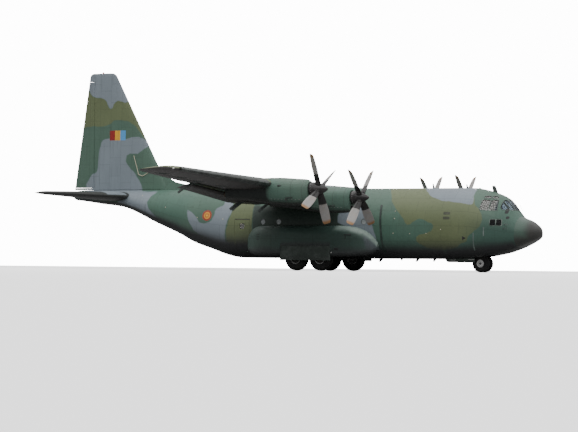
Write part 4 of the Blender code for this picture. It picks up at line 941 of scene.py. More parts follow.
@dataclass(frozen=True)
class StagePaint(Finish):
    """The plain pale floor."""

    name: str = "pale_floor"
    tone: tuple = rgb(0.86, 0.86, 0.87)

    def dress(self, bench: Bench, shader: bpy.types.Node, place: Socket) -> None:
        """A matt, all but even surface that reads as white to the camera and throws little light back up."""
        pale = bench.mix(bench.noise(place, 0.8, 3.0), self.tone, rgb(0.84, 0.84, 0.85))
        seen = bench.node("ShaderNodeLightPath").outputs["Is Camera Ray"]
        bench.tree.links.new(bench.mix(seen, rgb(0.24, 0.24, 0.24), pale), shader.inputs["Base Color"])
        shader.inputs["Emission Color"].default_value = rgb(1.0, 1.0, 1.0)
        bench.tree.links.new(bench.math("MULTIPLY", seen, 1.1), shader.inputs["Emission Strength"])
        shader.inputs["Roughness"].default_value = 0.9


class Paints:
    """Every finish on the aircraft, by what it covers."""

    # The hull darkens towards the bottom: partly dark underside paint, partly painted shade; the darker lower nose is
    # painted shade
    hull = CamouflagePaint(low_dark=(0.66, 2.05), belly_from=0.15, nose_painted_shade=0.60)
    # The rear hull's dark belly reaches up its sides: partly underside paint, partly painted shade under the tailplane
    rear_hull = CamouflagePaint(name="rear_hull_paint", roundel=(-19.67, 3.11), low_dark=(0.70, 1.35), belly_from=-0.12,
                                belly_to=0.48)
    fin = CamouflagePaint(name="fin_paint", flash=True, belly_from=2.0, belly_to=3.0, panel=(1.1, 0.75))
    # The wing's dark underside wraps up onto the leading edge: underside paint with painted shade
    wing = CamouflagePaint(name="wing_camouflage", belly=rgb(0.062, 0.058, 0.056), belly_from=-0.80, belly_to=-0.35,
                           panel=(0.92, 1.32))
    # The tailplane's dark underside wraps onto the leading edge: underside paint with painted shade; its deep tone is
    # the black de-icing boot
    tail = CamouflagePaint(name="tail_camouflage", belly=rgb(0.048, 0.050, 0.048), belly_from=-0.80, belly_to=-0.35,
                           deep=rgb(0.040, 0.043, 0.040), panel=(0.9, 1.1))
    # The cowl's dark belly is painted shade under the nacelle and its chin intake; its deep tone is painted shade under
    # the wing with exhaust soot
    cowl = CamouflagePaint(name="cowl_paint", green=rgb(0.105, 0.168, 0.130), belly_from=0.40, belly_to=0.92,
                          belly=rgb(0.030, 0.034, 0.030), panel=(0.82, 0.58), deep=rgb(0.020, 0.026, 0.024))
    # The sponson's darker green is dark paint with the wing's shadow painted in, it darkens towards the bottom as
    # painted shade, and its olive slot holds the pale shoulder strip, a painted highlight
    sponson = CamouflagePaint(name="sponson_paint", green=rgb(0.062, 0.096, 0.080), grey=rgb(0.088, 0.108, 0.118),
                              olive=rgb(0.230, 0.300, 0.265),
                              belly=rgb(0.050, 0.055, 0.056), low_dark=(0.95, 1.50), panel=(1.1, 0.62), softness=0.14)
    radome = NosePaint()
    glass = GlassFinish()
    rubber = TyreRubber()
    cloth = SeatCloth()
    stage = StagePaint()
    seal = PlainPaint("dark_seal", rgb(0.016, 0.018, 0.018), rgb(0.06, 0.06, 0.06), 0.55)
    frame_green = PlainPaint("window_frame_paint", rgb(0.050, 0.078, 0.062), rgb(0.26, 0.30, 0.27), 0.42, 0.0, 0.5)
    door_green = PlainPaint("gear_door_paint", rgb(0.042, 0.060, 0.050), rgb(0.13, 0.15, 0.14), 0.5)
    rib_green = PlainPaint("door_rib_paint", rgb(0.060, 0.072, 0.066), rgb(0.15, 0.16, 0.15), 0.5)
    inside = PlainPaint("primer_green", rgb(0.150, 0.175, 0.120), rgb(0.28, 0.29, 0.25), 0.6)
    bay = PlainPaint("wheel_bay_paint", rgb(0.045, 0.048, 0.046), rgb(0.12, 0.12, 0.11), 0.6)
    deck = PlainPaint("deck_metal", rgb(0.16, 0.17, 0.165), rgb(0.42, 0.42, 0.41), 0.5, 0.55, 0.7, 24.0)
    leg = PlainPaint("gear_leg_paint", rgb(0.34, 0.35, 0.34), rgb(0.10, 0.09, 0.08), 0.42, 0.25, 0.5)
    chrome = PlainPaint("polished_steel", rgb(0.60, 0.60, 0.60), rgb(0.35, 0.33, 0.30), 0.22, 0.95, 0.4, 30.0, 0.05)
    hub_light = PlainPaint("nose_wheel_hub", rgb(0.86, 0.87, 0.86), rgb(0.45, 0.43, 0.40), 0.4, 0.05, 0.35)
    hub_grey = PlainPaint("main_wheel_hub", rgb(0.13, 0.13, 0.13), rgb(0.34, 0.33, 0.31), 0.45, 0.4, 0.7)
    hub_ring = PlainPaint("main_wheel_rim", rgb(0.50, 0.50, 0.49), rgb(0.16, 0.15, 0.14), 0.45, 0.2, 0.5)
    brake = PlainPaint("brake_iron", rgb(0.055, 0.045, 0.040), rgb(0.15, 0.09, 0.05), 0.6, 0.6, 0.7)
    exhaust = PlainPaint("exhaust_iron", rgb(0.055, 0.048, 0.042), rgb(0.14, 0.10, 0.07), 0.55, 0.7, 0.8)
    mast = PlainPaint("mast_paint", rgb(0.050, 0.064, 0.058), rgb(0.16, 0.18, 0.17), 0.45)
    spinner = PlainPaint("spinner_paint", rgb(0.015, 0.014, 0.015), rgb(0.075, 0.065, 0.065), 0.42, 0.0, 0.5)
    cuff = PlainPaint("blade_cuff_paint", rgb(0.014, 0.013, 0.013), rgb(0.06, 0.055, 0.05), 0.55)
    band = PlainPaint("cowl_band_paint", rgb(0.062, 0.092, 0.074), rgb(0.17, 0.20, 0.18), 0.45)
    strap = PlainPaint("ice_guard_paint", rgb(0.026, 0.046, 0.037), rgb(0.09, 0.11, 0.10), 0.45)
    shade_olive = PlainPaint("dark_olive_paint", rgb(0.052, 0.060, 0.036), rgb(0.12, 0.13, 0.09), 0.5)
    # Near-black lower panes: painted shade of the dim space behind them
    dark_glass = GlassFinish("dark_pane_glass", rgb(0.020, 0.024, 0.028), rgb(0.020, 0.024, 0.028))
    lamp = PlainPaint("lamp_glass", rgb(0.78, 0.80, 0.76), rgb(0.9, 0.9, 0.88), 0.15, 0.0, 0.3, 40.0, 0.05)
    red_lamp = PlainPaint("red_lamp_glass", rgb(0.45, 0.02, 0.015), rgb(0.6, 0.1, 0.08), 0.15, 0.0, 0.3)
    # Opaque pale porthole discs: a painted reflection of the sky on the glass
    porthole = PlainPaint("porthole_pane", rgb(0.30, 0.33, 0.34), rgb(0.55, 0.58, 0.58), 0.12, 0.0, 0.5, 30.0, 0.05)
    cream = PlainPaint("cream_paint", rgb(0.62, 0.58, 0.44), rgb(0.30, 0.28, 0.22), 0.5)
    band_pale = PlainPaint("pale_strip_paint", rgb(0.125, 0.165, 0.150), rgb(0.30, 0.34, 0.32), 0.4)
    seat_metal = PlainPaint("seat_frame_metal", rgb(0.10, 0.105, 0.10), rgb(0.30, 0.30, 0.29), 0.45, 0.4, 0.6)
    dial = PlainPaint("instrument_black", rgb(0.024, 0.024, 0.025), rgb(0.12, 0.12, 0.12), 0.5)
    boot = PlainPaint("de_icing_edge", rgb(0.038, 0.045, 0.042), rgb(0.12, 0.14, 0.13), 0.4, 0.1, 0.5)


# Fuselage

STATIONS: list[tuple[float, float, float, float, float]] = [
    (0.00, 0.05, 2.13, 2.18, 2.23), (-0.12, 0.42, 1.92, 2.16, 2.50), (-0.35, 0.74, 1.76, 2.15, 2.70),
    (-0.58, 0.98, 1.64, 2.15, 2.85), (-1.15, 1.36, 1.38, 2.18, 3.09), (-1.50, 1.55, 1.25, 2.20, 3.50),
    (-2.00, 1.76, 1.08, 2.26, 4.11), (-2.50, 1.92, 0.97, 2.34, 4.35), (-3.00, 2.03, 0.88, 2.42, 4.51),
    (-3.90, 2.13, 0.77, 2.50, 4.67), (-5.00, 2.16, 0.72, 2.52, 4.68), (-16.40, 2.16, 0.70, 2.52, 4.68),
    (-18.20, 2.16, 0.71, 2.52, 4.68), (-18.80, 2.15, 0.81, 2.55, 4.68), (-19.85, 2.11, 1.15, 2.65, 4.68),
    (-20.90, 2.03, 1.49, 2.80, 4.68), (-22.00, 1.88, 2.02, 3.05, 4.68), (-23.60, 1.60, 2.66, 3.45, 4.68),
    (-25.20, 1.24, 3.36, 3.85, 4.68), (-26.00, 1.05, 3.62, 3.97, 4.68), (-26.80, 0.87, 3.74, 4.05, 4.68),
    (-27.60, 0.67, 3.82, 4.12, 4.68), (-28.40, 0.49, 3.93, 4.22, 4.675), (-29.10, 0.34, 4.02, 4.30, 4.665),
    (-29.60, 0.24, 4.08, 4.34, 4.63), (-29.79, 0.12, 4.18, 4.36, 4.56)]


def smooth_slopes(xs: Sequence[float], ys: Sequence[float]) -> list[float]:
    """Slopes at listed points that keep a curve through them from swinging past any of them."""
    count = len(xs)
    steps = [(ys[k + 1] - ys[k]) / (xs[k + 1] - xs[k]) for k in range(count - 1)]
    slopes = [steps[0]]
    for k in range(1, count - 1):
        a, b = steps[k - 1], steps[k]
        if a * b <= 0:
            slopes.append(0.0)
            continue
        ha, hb = abs(xs[k] - xs[k - 1]), abs(xs[k + 1] - xs[k])
        slopes.append((ha + hb) * 3 / ((2 * hb + ha) / a + (hb + 2 * ha) / b))
    return slopes + [steps[-1]]


@dataclass
class HullForm:
    """The fuselage's outline from the nose tip to the tail, smoothed through its stations."""

    stations: list = field(default_factory=lambda: list(STATIONS))
    lower_power: float = 3.0
    skin: float = 0.08
    count: int = 96

    def __post_init__(self) -> None:
        """Work out the slopes once."""
        self.xs = [s[0] for s in self.stations]
        self.slopes = [smooth_slopes(self.xs, [s[k] for s in self.stations]) for k in range(1, 5)]

    def station(self, x: float) -> list[float]:
        """Half width, bottom, waist and top at a station."""
        x = min(max(x, self.xs[-1]), self.xs[0])
        k = max(n for n in range(len(self.xs) - 1) if self.xs[n] >= x)
        step = self.xs[k + 1] - self.xs[k]
        t = (x - self.xs[k]) / step
        found = []
        for column in range(4):
            a, b = self.stations[k][column + 1], self.stations[k + 1][column + 1]
            ma, mb = self.slopes[column][k] * step, self.slopes[column][k + 1] * step
            found.append((2 * t ** 3 - 3 * t ** 2 + 1) * a + (t ** 3 - 2 * t ** 2 + t) * ma
                         + (3 * t ** 2 - 2 * t ** 3) * b + (t ** 3 - t ** 2) * mb)
        return found

    def ring(self, x: float, inset: float = 0.0) -> Ring:
        """The outline at a station: half an ellipse above the waist and a flatter one below.

        Args:
            x: The station.
            inset: How far inside the skin's outer face it lies.

        Returns:
            The outline's points, anticlockwise from port.
        """
        half, bottom, waist, top = self.station(x)
        ring = []
        for k in range(self.count):
            angle = 2 * math.pi * k / self.count
            c, s = math.cos(angle), math.sin(angle)
            if s >= 0:
                y, z = (half - inset) * c, waist + (top - waist - inset) * s
            else:
                power = 2.0 / self.lower_power
                y = (half - inset) * math.copysign(abs(c) ** power, c)
                z = waist - (waist - bottom - inset) * abs(s) ** power
            ring.append(Vector((x, y, z)))
        return ring

    def rings(self, front: float, rear: float, inset: float = 0.0, pitch: float = 0.14) -> list[Ring]:
        """Outlines between two stations, closer where the nose and tail curve."""
        count = max(2, math.ceil((front - rear) / (pitch if front > -5.2 or rear < -17.5 else 0.6)))
        return [self.ring(front + (rear - front) * k / count, inset) for k in range(count + 1)]

    def tube(self, front: float, rear: float, closed_front: bool = False, outset: float = 0.0,
             skin: float | None = None) -> Shape:
        """A length of the hull as a hollow solid.

        Args:
            front: Its forward station.
            rear: Its rear station.
            closed_front: Whether a bulkhead closes its front.
            outset: How far its outer face stands outside the hull's.
            skin: How thick it is.

        Returns:
            The closed shape.
        """
        skin = self.skin if skin is None else skin
        outer = self.rings(front, rear, -outset)
        inner = self.rings(front - (skin if closed_front else 0.0), rear, skin - outset)
        if closed_front:
            return Shape().loft(outer + inner[::-1])
        return Shape().hoop(outer + inner[::-1])

    def patch(self, name: str, cutter: Shape, span: tuple[float, float], outset: float,
              depth: float) -> bpy.types.Object:
        """A thin plate that follows the hull inside a cutter's outline.

        Args:
            name: The piece's name.
            cutter: The closed shape that bounds it.
            span: Forward and rear stations that enclose it.
            outset: How far its outer face stands outside the hull.
            depth: How thick it is.

        Returns:
            The piece, not yet painted.
        """
        made = self.tube(span[0], span[1], outset=outset, skin=depth).object(name)
        return carve(made, [cutter], "INTERSECT")

    def skin_map(self, points: np.ndarray) -> np.ndarray:
        """Metres along the hull and round it from the crown, for the seams."""
        waist = np.interp(-points[:, 0], [-x for x in self.xs], [s[3] for s in self.stations])
        return np.stack([points[:, 0], 2.2 * np.arctan2(np.abs(points[:, 1]), points[:, 2] - waist)], axis=1)

    def outer_y(self, x: float, z: float, outset: float = 0.0) -> float:
        """How far out to port the skin is at a station and height."""
        ring = self.ring(x, -outset)
        best = 0.0
        for a, b in zip(ring, ring[1:] + ring[:1]):
            if (a.z - z) * (b.z - z) <= 0 and a.z != b.z:
                best = max(best, a.lerp(b, (z - a.z) / (b.z - a.z)).y)
        return best


HULL = HullForm()


def store_skin(made: bpy.types.Object, surface: Callable[[np.ndarray], np.ndarray]) -> bpy.types.Object:
    """Keep a surface's two measures, in metres, on a piece for its seams.

    Args:
        made: The piece.
        surface: Turns rows of real-size points into rows of two measures.

    Returns:
        The same piece.
    """
    mesh = made.data
    flat = np.zeros((len(mesh.vertices), 3), dtype=np.float32)
    flat[:, :2] = surface(mesh_points(mesh))
    layer = mesh.attributes.get("skin") or mesh.attributes.new("skin", "FLOAT_VECTOR", "POINT")
    layer.data.foreach_set("vector", flat.ravel())
    return made


def finish_painted(made: bpy.types.Object, body: str, finish: Finish, cover: Cover,
                   surface: Callable[[np.ndarray], np.ndarray], nodes: Sequence[str] = (),
                   angle: float = 32.0) -> bpy.types.Object:
    """Store a camouflaged piece's measures and settle it."""
    lay_camouflage(made, cover)
    store_skin(made, surface)
    return settle(made, body, finish, nodes, angle)


@dataclass
class Fuselage:
    """The pressure hull with its windows, portholes and doors."""

    bulkhead: float = -1.15
    nose_joint: float = -5.0
    centre_joint: float = -16.4
    aft_joint: float = -25.2
    crew_door: tuple[float, float, float, float] = (-4.78, -3.92, 1.09, 2.85)
    crew_hinge: float = 1.665
    para_door: tuple[float, float, float, float] = (-17.83, -16.87, 1.06, 2.88)
    portholes: tuple[float, ...] = (-9.73, -15.02, -16.02)

    def panes(self) -> list[tuple[str, Shape]]:
        """Cutters in the shape of the flight deck's windows, each with what glazes it.

        Returns:
            Pairs of glazing group and cutter.
        """
        cuts: list[tuple[str, Shape]] = []
        side = [[(-3.01, 3.44), (-2.55, 3.40), (-2.55, 3.96), (-2.96, 3.99)],
                [(-2.50, 3.40), (-2.10, 3.40), (-2.19, 3.97), (-2.50, 3.97)],
                [(-2.95, 4.09), (-2.62, 4.07), (-2.64, 4.19), (-2.92, 4.20)],
                [(-2.56, 4.07), (-2.26, 4.07), (-2.33, 4.17), (-2.54, 4.19)]]
        for outline in side:
            for low, high in ((0.5, 3.0), (-3.0, -0.5)):
                cuts.append(("cockpit", thin_prism(outline, low, high, "Y", 0.07)))
        for outline in ([(-2.36, 2.57), (-2.09, 2.57), (-2.09, 2.89), (-2.36, 2.89)],
                        [(-2.04, 2.57), (-1.77, 2.57), (-1.80, 2.89), (-2.04, 2.89)]):
            cuts.append(("left", thin_prism(outline, 0.5, 3.0, "Y", 0.05)))
            cuts.append(("right", thin_prism(outline, -3.0, -0.5, "Y", 0.05)))
        for low, high in ((-0.30, 0.30), (0.36, 0.76), (0.82, 1.26)):
            shapes = [[(low, 3.44), (high, 3.44), (high, 3.97), (low, 3.97)]]
            if low > 0:
                slant = 0.10 if low > 0.8 else 0.03
                shapes = [[(low, 3.44), (high, 3.44), (high - slant, 3.96), (low, 3.97)]]
                shapes.append([(-y, z) for y, z in shapes[0]][::-1])
            for outline in shapes:
                cuts.append(("cockpit", thin_prism(outline, -1.97, -1.05, "X", 0.06)))
        return cuts

    def build_nose(self) -> None:
        """Make the nose, its radome, panes and their frames."""
        cuts = self.panes()
        nose = HULL.tube(self.bulkhead - SEAT_GAP, self.nose_joint + SEAT_GAP / 2, True).object("nose_skin")
        door = self.door_outline(self.crew_door, 0.0, 0.2)
        bay = Shape().block(*NOSE_BAY)
        low_x, high_x, low_z, _ = self.crew_door
        hinge = self.crew_hinge
        trough = Shape().rod((low_x, hinge, low_z + 0.014), (high_x, hinge, low_z + 0.014), 0.045, 24)
        carve(nose, [cut for _, cut in cuts] + [bay, self.flat_sill(thin_prism(door, 1.2, 3.0, "Y", 0.10), low_z),
                                                trough])
        finish_painted(nose, "root", Paints.hull, Cover.SIDE, HULL.skin_map, ["nose_section"])
        rings = HULL.rings(0.0, self.bulkhead, 0.0, 0.04)
        radome = Shape().loft(rings).object("radome_shell")
        settle(radome, "root", Paints.radome, ["radome"])
        groups = {"cockpit": ("windscreen_panes", ["cockpit_glazing"]),
                  "left": ("lower_panes_left", ["lower_glazing_left"]),
                  "right": ("lower_panes_right", ["lower_glazing_right"])}
        for group, (name, nodes) in groups.items():
            shell = HULL.tube(-1.20, -3.2, outset=-0.016, skin=0.022).object(name)
            union = Shape()
            for kind, cut in cuts:
                if kind == group:
                    union.add(cut)
            carve(shell, [union], "INTERSECT")
            # The lower panes get near-black glass, painted shade of the dim space behind them
            pane = Paints.glass if group == "cockpit" else Paints.dark_glass
            settle(shell, "root", pane, nodes)
        self.build_rims([cut for _, cut in cuts])

    @staticmethod
    def build_rims(cuts: list[Shape]) -> None:
        """Make the raised frames round the flight deck's panes."""
        rim = HULL.tube(-1.16, -3.3, outset=0.008, skin=0.026).object("window_frames")
        grown, inner = [], Shape()
        for cut in cuts:
            inner.add(cut)
            ends = [Vector((min(p[k] for p in cut.points), max(p[k] for p in cut.points))) for k in range(3)]
            middle = Vector(sum(e) / 2 for e in ends)
            spread = [1 + 0.064 / max(e[1] - e[0], 0.01) for e in ends]
            grown.append(Shape([Vector(middle[k] + (p[k] - middle[k]) * spread[k] for k in range(3))
                                for p in cut.points], cut.faces))
        outer = carve(grown[0].object("grown_panes"), grown[1:], "UNION")
        carve(rim, [outer], "INTERSECT")
        carve(rim, [inner])
        settle(rim, "root", Paints.frame_green)

    @staticmethod
    def door_outline(limits: tuple[float, float, float, float], shrink: float,
                     drop_by: float = 0.0) -> list[tuple[float, float]]:
        """A door's four corners in the side view, the lower two dropped where a flat sill cuts them off."""
        low_x, high_x, low_z, high_z = limits
        low_z -= drop_by
        return [(low_x + shrink, low_z + shrink), (high_x - shrink, low_z + shrink),
                (high_x - shrink, high_z - shrink), (low_x + shrink, high_z - shrink)]

    @staticmethod
    def flat_sill(cut: Shape, level: float) -> Shape:
        """Lift what lies below a level to it, so that a bottom-hinged door has square lower corners."""
        for point in cut.points:
            point.z = max(point.z, level)
        return cut

    def build_crew_door(self) -> None:
        """Make the port entry door with the steps on its inner face."""
        low_x, high_x, low_z, high_z = self.crew_door
        hinge = self.crew_hinge
        door = HULL.tube(self.nose_joint + 1.3, self.nose_joint + 0.1).object("crew_door_skin")
        outline = self.door_outline(self.crew_door, 0.014, 0.2)
        carve(door, [self.flat_sill(thin_prism(outline, 1.2, 3.0, "Y", 0.09), low_z + 0.014)], "INTERSECT")
        bevel = [[Vector((x, hinge, low_z - 0.016)), Vector((x, hinge + wide, low_z - 0.016)),
                  Vector((x, hinge, low_z + 0.014 + high))]
                 for x, wide, high in ((low_x - 0.02, 0.117, 0.066), (high_x + 0.02, 0.053, 0.013))]
        carve(door, [Shape().loft(bevel)])
        details = Shape().rod((low_x + SEAT_GAP, hinge, low_z + 0.014), (high_x - SEAT_GAP, hinge, low_z + 0.014), 0.03)
        carve(door, [details], "UNION")
        finish_painted(door, "crew_door", Paints.hull, Cover.SIDE, HULL.skin_map, ["crew_door"])
        steps = Shape()
        for z in (1.38, 1.68, 1.98, 2.28, 2.58):
            y = min(HULL.outer_y(x, z) for x in (low_x + 0.2, high_x - 0.2)) - 0.082
            steps.block((low_x + 0.20, y - 0.13, z - 0.015), (high_x - 0.20, y, z + 0.015))
        tread = steps.object("crew_door_steps")
        settle(tread, "crew_door", Paints.deck)

    def build_centre(self) -> None:
        """Make the hold's length of hull, cut for the wing, the wheel bays and the portholes."""
        centre = HULL.tube(self.nose_joint - SEAT_GAP / 2, self.centre_joint + SEAT_GAP / 2).object("hold_skin")
        notch = Shape().loft([WING.ring(-2.4, SEAT_GAP * 1.5), WING.ring(2.4, SEAT_GAP * 1.5)])
        cuts = [notch, Shape().block(*NOSE_BAY)]
        for side in (1, -1):
            low, high = sorted((1.905 * side, 2.735 * side))
            cuts.append(Shape().block((-14.62, low, 0.1), (-11.42, high, 1.42), 0.02))
        for x in self.portholes:
            cuts.append(Shape().rod((x, -3, 2.75), (x, 3, 2.75), 0.16, 40))
        carve(centre, cuts)
        finish_painted(centre, "root", Paints.hull, Cover.SIDE, HULL.skin_map,
                       ["centre_fuselage"])
        panes, rims = Shape(), Shape()
        for x in self.portholes:
            for side in (1, -1):
                y = side * (HULL.outer_y(x, 2.75) - 0.02)
                panes.rod((x, y, 2.75), (x, y - side * 0.02, 2.75), 0.158, 40)
                face = side * (HULL.outer_y(x, 2.75) + 0.007)
                profile = [(0.0, 0.146), (0.0, 0.166), (-0.010 * side, 0.174), (-0.036 * side, 0.174),
                           (-0.036 * side, 0.146)]
                rims.turned(profile, (x, face, 2.75), "Y", 40, True)
        # The pale porthole discs are a painted reflection of the sky
        settle(panes.object("porthole_panes"), "root", Paints.porthole)
        settle(rims.object("porthole_rims"), "root", Paints.mast)

    def rear_opening(self, shrink: float, low: float, front_top: float, rear_top: float) -> Shape:
        """The rear opening as an upright prism, straight beside the ramp and narrower beside the door."""
        rear, front, mid = -25.08 - 0.045 + shrink, -17.50 - shrink, -20.84
        wide, narrow = 1.45 - shrink, 0.95 - shrink
        plan = [(front, -wide), (mid, -wide), (rear, -narrow), (rear, narrow), (mid, wide), (front, wide)]
        bottom = [Vector((x, y, low)) for x, y in plan]
        top = [Vector((x, y, front_top + (rear_top - front_top) * (front - x) / (front - rear))) for x, y in plan]
        return Shape().loft([bottom, top])

    def build_aft(self) -> None:
        """Make the upswept rear hull, the tail cone and the paratroop doors."""
        aft = HULL.tube(self.centre_joint - SEAT_GAP / 2, self.aft_joint + SEAT_GAP / 2).object("rear_skin")
        outline = self.door_outline(self.para_door, 0.0)
        cuts = [self.rear_opening(0.0, 0.2, 1.35, 3.95), TAIL.notch()]
        cuts += [thin_prism(outline, low, high, "Y", 0.02) for low, high in ((1.2, 3.0), (-3.0, -1.2))]
        carve(aft, cuts)
        finish_painted(aft, "root", Paints.rear_hull, Cover.SIDE, HULL.skin_map, ["aft_fuselage"])
        cone = Shape().loft(HULL.rings(self.aft_joint - SEAT_GAP / 2, -LENGTH, 0.0, 0.10)).object("tail_cone_skin")
        carve(cone, [TAIL.notch()])
        finish_painted(cone, "root", Paints.rear_hull, Cover.SIDE, HULL.skin_map, ["tail_cone"])
        for word, side in SIDES:
            door = HULL.tube(-16.8, -17.9).object(f"paratroop_door_skin_{word}")
            small = self.door_outline(self.para_door, 0.012)
            carve(door, [thin_prism(small, *sorted((1.2 * side, 3.0 * side)), "Y", 0.03)], "INTERSECT")
            pane = thin_prism([(-17.50, 2.35), (-17.20, 2.35), (-17.20, 2.65), (-17.50, 2.65)],
                              *sorted((side, side * 3)), "Y", 0.08)
            carve(door, [pane])
            finish_painted(door, "root", Paints.rear_hull, Cover.SIDE, HULL.skin_map,
                           [f"paratroop_door_{word}"])
            glass = HULL.tube(-16.8, -17.9, outset=-0.02, skin=0.02).object(f"paratroop_pane_{word}")
            carve(glass, [pane], "INTERSECT")
            settle(glass, "root", Paints.glass)

    def build_ramp(self) -> None:
        """Make the cargo ramp and the door behind it, each with its hinge rod."""
        ramp = Shape().loft(HULL.rings(-17.535, -20.84, 0.0, 0.12)).object("ramp_skin")
        half, pivot, nose = 1.45 - 0.014, (-17.80, 0.965), 0.263
        lift = math.asin((1.03 - pivot[1]) / nose)
        arc = [-0.5 * math.pi + (lift + 0.5 * math.pi) * k / 14 for k in range(15)]
        outline = [(pivot[0] + nose * math.cos(a), pivot[1] + nose * math.sin(a)) for a in arc]
        outline += [(-20.735, 1.73), (-20.84, 1.48), (-20.85, 0.3), (pivot[0], 0.3)]
        carve(ramp, [thin_prism(outline, -half, half)], "INTERSECT")
        reach = 1.45 - SEAT_GAP
        carve(ramp, [Shape().rod((pivot[0], -reach, pivot[1]), (pivot[0], reach, pivot[1]), 0.05, 24)], "UNION")
        finish_painted(ramp, "cargo_ramp", Paints.rear_hull, Cover.SIDE, HULL.skin_map,
                       ["cargo_ramp"])
        door = HULL.tube(-20.87, -25.08).object("cargo_door_skin")
        carve(door, [self.rear_opening(0.014, 0.2, 1.336, 3.936)], "INTERSECT")
        reach = 0.95 + 0.0066
        carve(door, [Shape().rod((-25.02, -reach, 3.425), (-25.02, reach, 3.425), 0.04, 20)], "UNION")
        finish_painted(door, "cargo_door", Paints.rear_hull, Cover.SIDE, HULL.skin_map,
                       ["cargo_door"])


# Wing

@dataclass
class WingForm:
    """The wing's planform and section, which its skins, flaps and ailerons share."""

    break_y: float = 5.59
    root_chord: float = 4.88
    tip_chord: float = 2.59
    quarter_x: float = -12.22
    root_z: float = 4.30
    dihedral: float = math.radians(2.7)
    incidence: float = math.radians(3.0)
    thickness: tuple[float, float] = (0.18, 0.12)
    camber: float = 0.02
    blunt: float = 0.016
    flap_nose: float = 0.74
    shroud: float = 0.05
    hinge: float = 0.74
    steps: int = 40
    tip_y: float = 20.0
    tip_start: float = 19.0

    def shape(self, y: float) -> tuple[float, float, float, float]:
        """Chord, thickness ratio, incidence and height of the quarter chord at a distance out."""
        share = max(0.0, (abs(y) - self.break_y) / (HALF_SPAN - self.break_y))
        return (self.root_chord + (self.tip_chord - self.root_chord) * share,
                self.thickness[0] + (self.thickness[1] - self.thickness[0]) * share,
                self.incidence * (1 - share),
                self.root_z + max(0.0, abs(y) - self.break_y) * math.tan(self.dihedral))

    def point(self, y: float, fraction: float, height: float) -> Vector:
        """A point by its share of the chord and its height above the chord line."""
        chord, _, incidence, level = self.shape(y)
        ahead = (0.25 - fraction) * chord
        return Vector((self.quarter_x + ahead * math.cos(incidence) - height * math.sin(incidence), y,
                       level + ahead * math.sin(incidence) + height * math.cos(incidence)))

    def surface(self, y: float, fraction: float) -> tuple[float, float]:
        """Upper and lower surface heights in metres, with a blunt trailing edge."""
        chord, thickness, _, _ = self.shape(y)
        f = fraction
        half = 5 * thickness * (0.2969 * math.sqrt(f) - 0.126 * f - 0.3516 * f ** 2 + 0.2843 * f ** 3
                                - 0.1036 * f ** 4)
        mean = self.camber / 0.16 * (0.8 * f - f * f) if f < 0.4 else self.camber / 0.36 * (0.2 + 0.8 * f - f * f)
        edge = 0.5 * self.blunt * f
        return (mean + half) * chord + edge, (mean - half) * chord - edge

    def ring(self, y: float, grow: float = 0.0) -> Ring:
        """The section's outline from the upper trailing edge round the nose to the lower one."""
        cuts = [0.5 * (1 - math.cos(math.pi * k / self.steps)) for k in range(self.steps + 1)]
        upper = [self.point(y, f, self.surface(y, f)[0] + grow) for f in reversed(cuts[1:])]
        lower = [self.point(y, f, self.surface(y, f)[1] - grow) for f in cuts[1:]]
        ring = upper + [self.point(y, 0.0, 0.0) + Vector((grow, 0, 0))] + lower
        if grow:
            ring[0] = ring[0] - Vector((grow, 0, 0))
            ring[-1] = ring[-1] - Vector((grow, 0, 0))
        return ring

    def tip_ring(self, y: float) -> Ring:
        """The section's outline near the tip, drawn in towards a rounded end."""
        ring = self.ring(y)
        lead, trail = max(p.x for p in ring), min(p.x for p in ring)
        share = math.sqrt(max(0.0, 1 - ((y - self.tip_start) / (HALF_SPAN - self.tip_start)) ** 2.2))
        x, z = lead - 0.28 * (lead - trail), sum(p.z for p in ring) / len(ring)
        return [Vector((x + (p.x - x) * (0.51 + 0.49 * share), y, z + (p.z - z) * (0.26 + 0.74 * share)))
                for p in ring]

    def cove_height(self, y: float, fraction: float) -> float:
        """Underside of the fixed upper skin over the flap."""
        chord = self.shape(y)[0]
        front = self.surface(y, self.flap_nose)[0] - self.shroud * chord / self.root_chord - 0.012
        return front + (-0.006 - front) * (fraction - self.flap_nose) / (1 - self.flap_nose)

    def cove(self, y: float) -> Ring:
        """What the flap's bay takes out of the section."""
        top = [(f, self.cove_height(y, f)) for f in (1.06, 0.985, 0.92, 0.85, self.flap_nose + 0.055, self.flap_nose)]
        return [self.point(y, f, h) for f, h in top + [(self.flap_nose, -1.2), (1.06, -1.2)]]

    def flap(self, y: float) -> Ring:
        """The flap's outline under the fixed upper skin, with a round nose."""
        chord = self.shape(y)[0]
        tip, nose_centre = 0.985, self.flap_nose + 0.055
        shares = [tip - (tip - 0.85) * k / 6 for k in range(7)]
        drop_nose = 0.05 * chord / self.root_chord
        top = [self.cove_height(y, f) - RUN_GAP - drop_nose * max(0.0, 1 - (f - nose_centre) / 0.12) for f in shares]
        bottom = [self.surface(y, f)[1] for f in reversed(shares)]
        high = self.cove_height(y, nose_centre) - RUN_GAP - drop_nose
        low = self.surface(y, nose_centre)[1]
        middle, half = 0.5 * (high + low), 0.5 * (high - low)
        reach = nose_centre - self.flap_nose - 0.010
        nose = [(nose_centre - reach * math.sin(a), middle + half * math.cos(a))
                for a in (math.pi * k / 16 for k in range(17))]
        points = list(zip(shares, top)) + nose + list(zip(reversed(shares), bottom))
        return [self.point(y, f, h) for f, h in points]

    def flap_hinge(self, y: float) -> Vector:
        """Centre of the curved tracks' arc."""
        chord = self.shape(y)[0]
        return self.point(y, 1.0, 0.0) + Vector((0.459 * chord, 0, -0.752 * chord))

    def aileron_hinge(self, y: float) -> Vector:
        """The aileron's hinge point."""
        return self.point(y, self.hinge, sum(self.surface(y, self.hinge)) / 2)

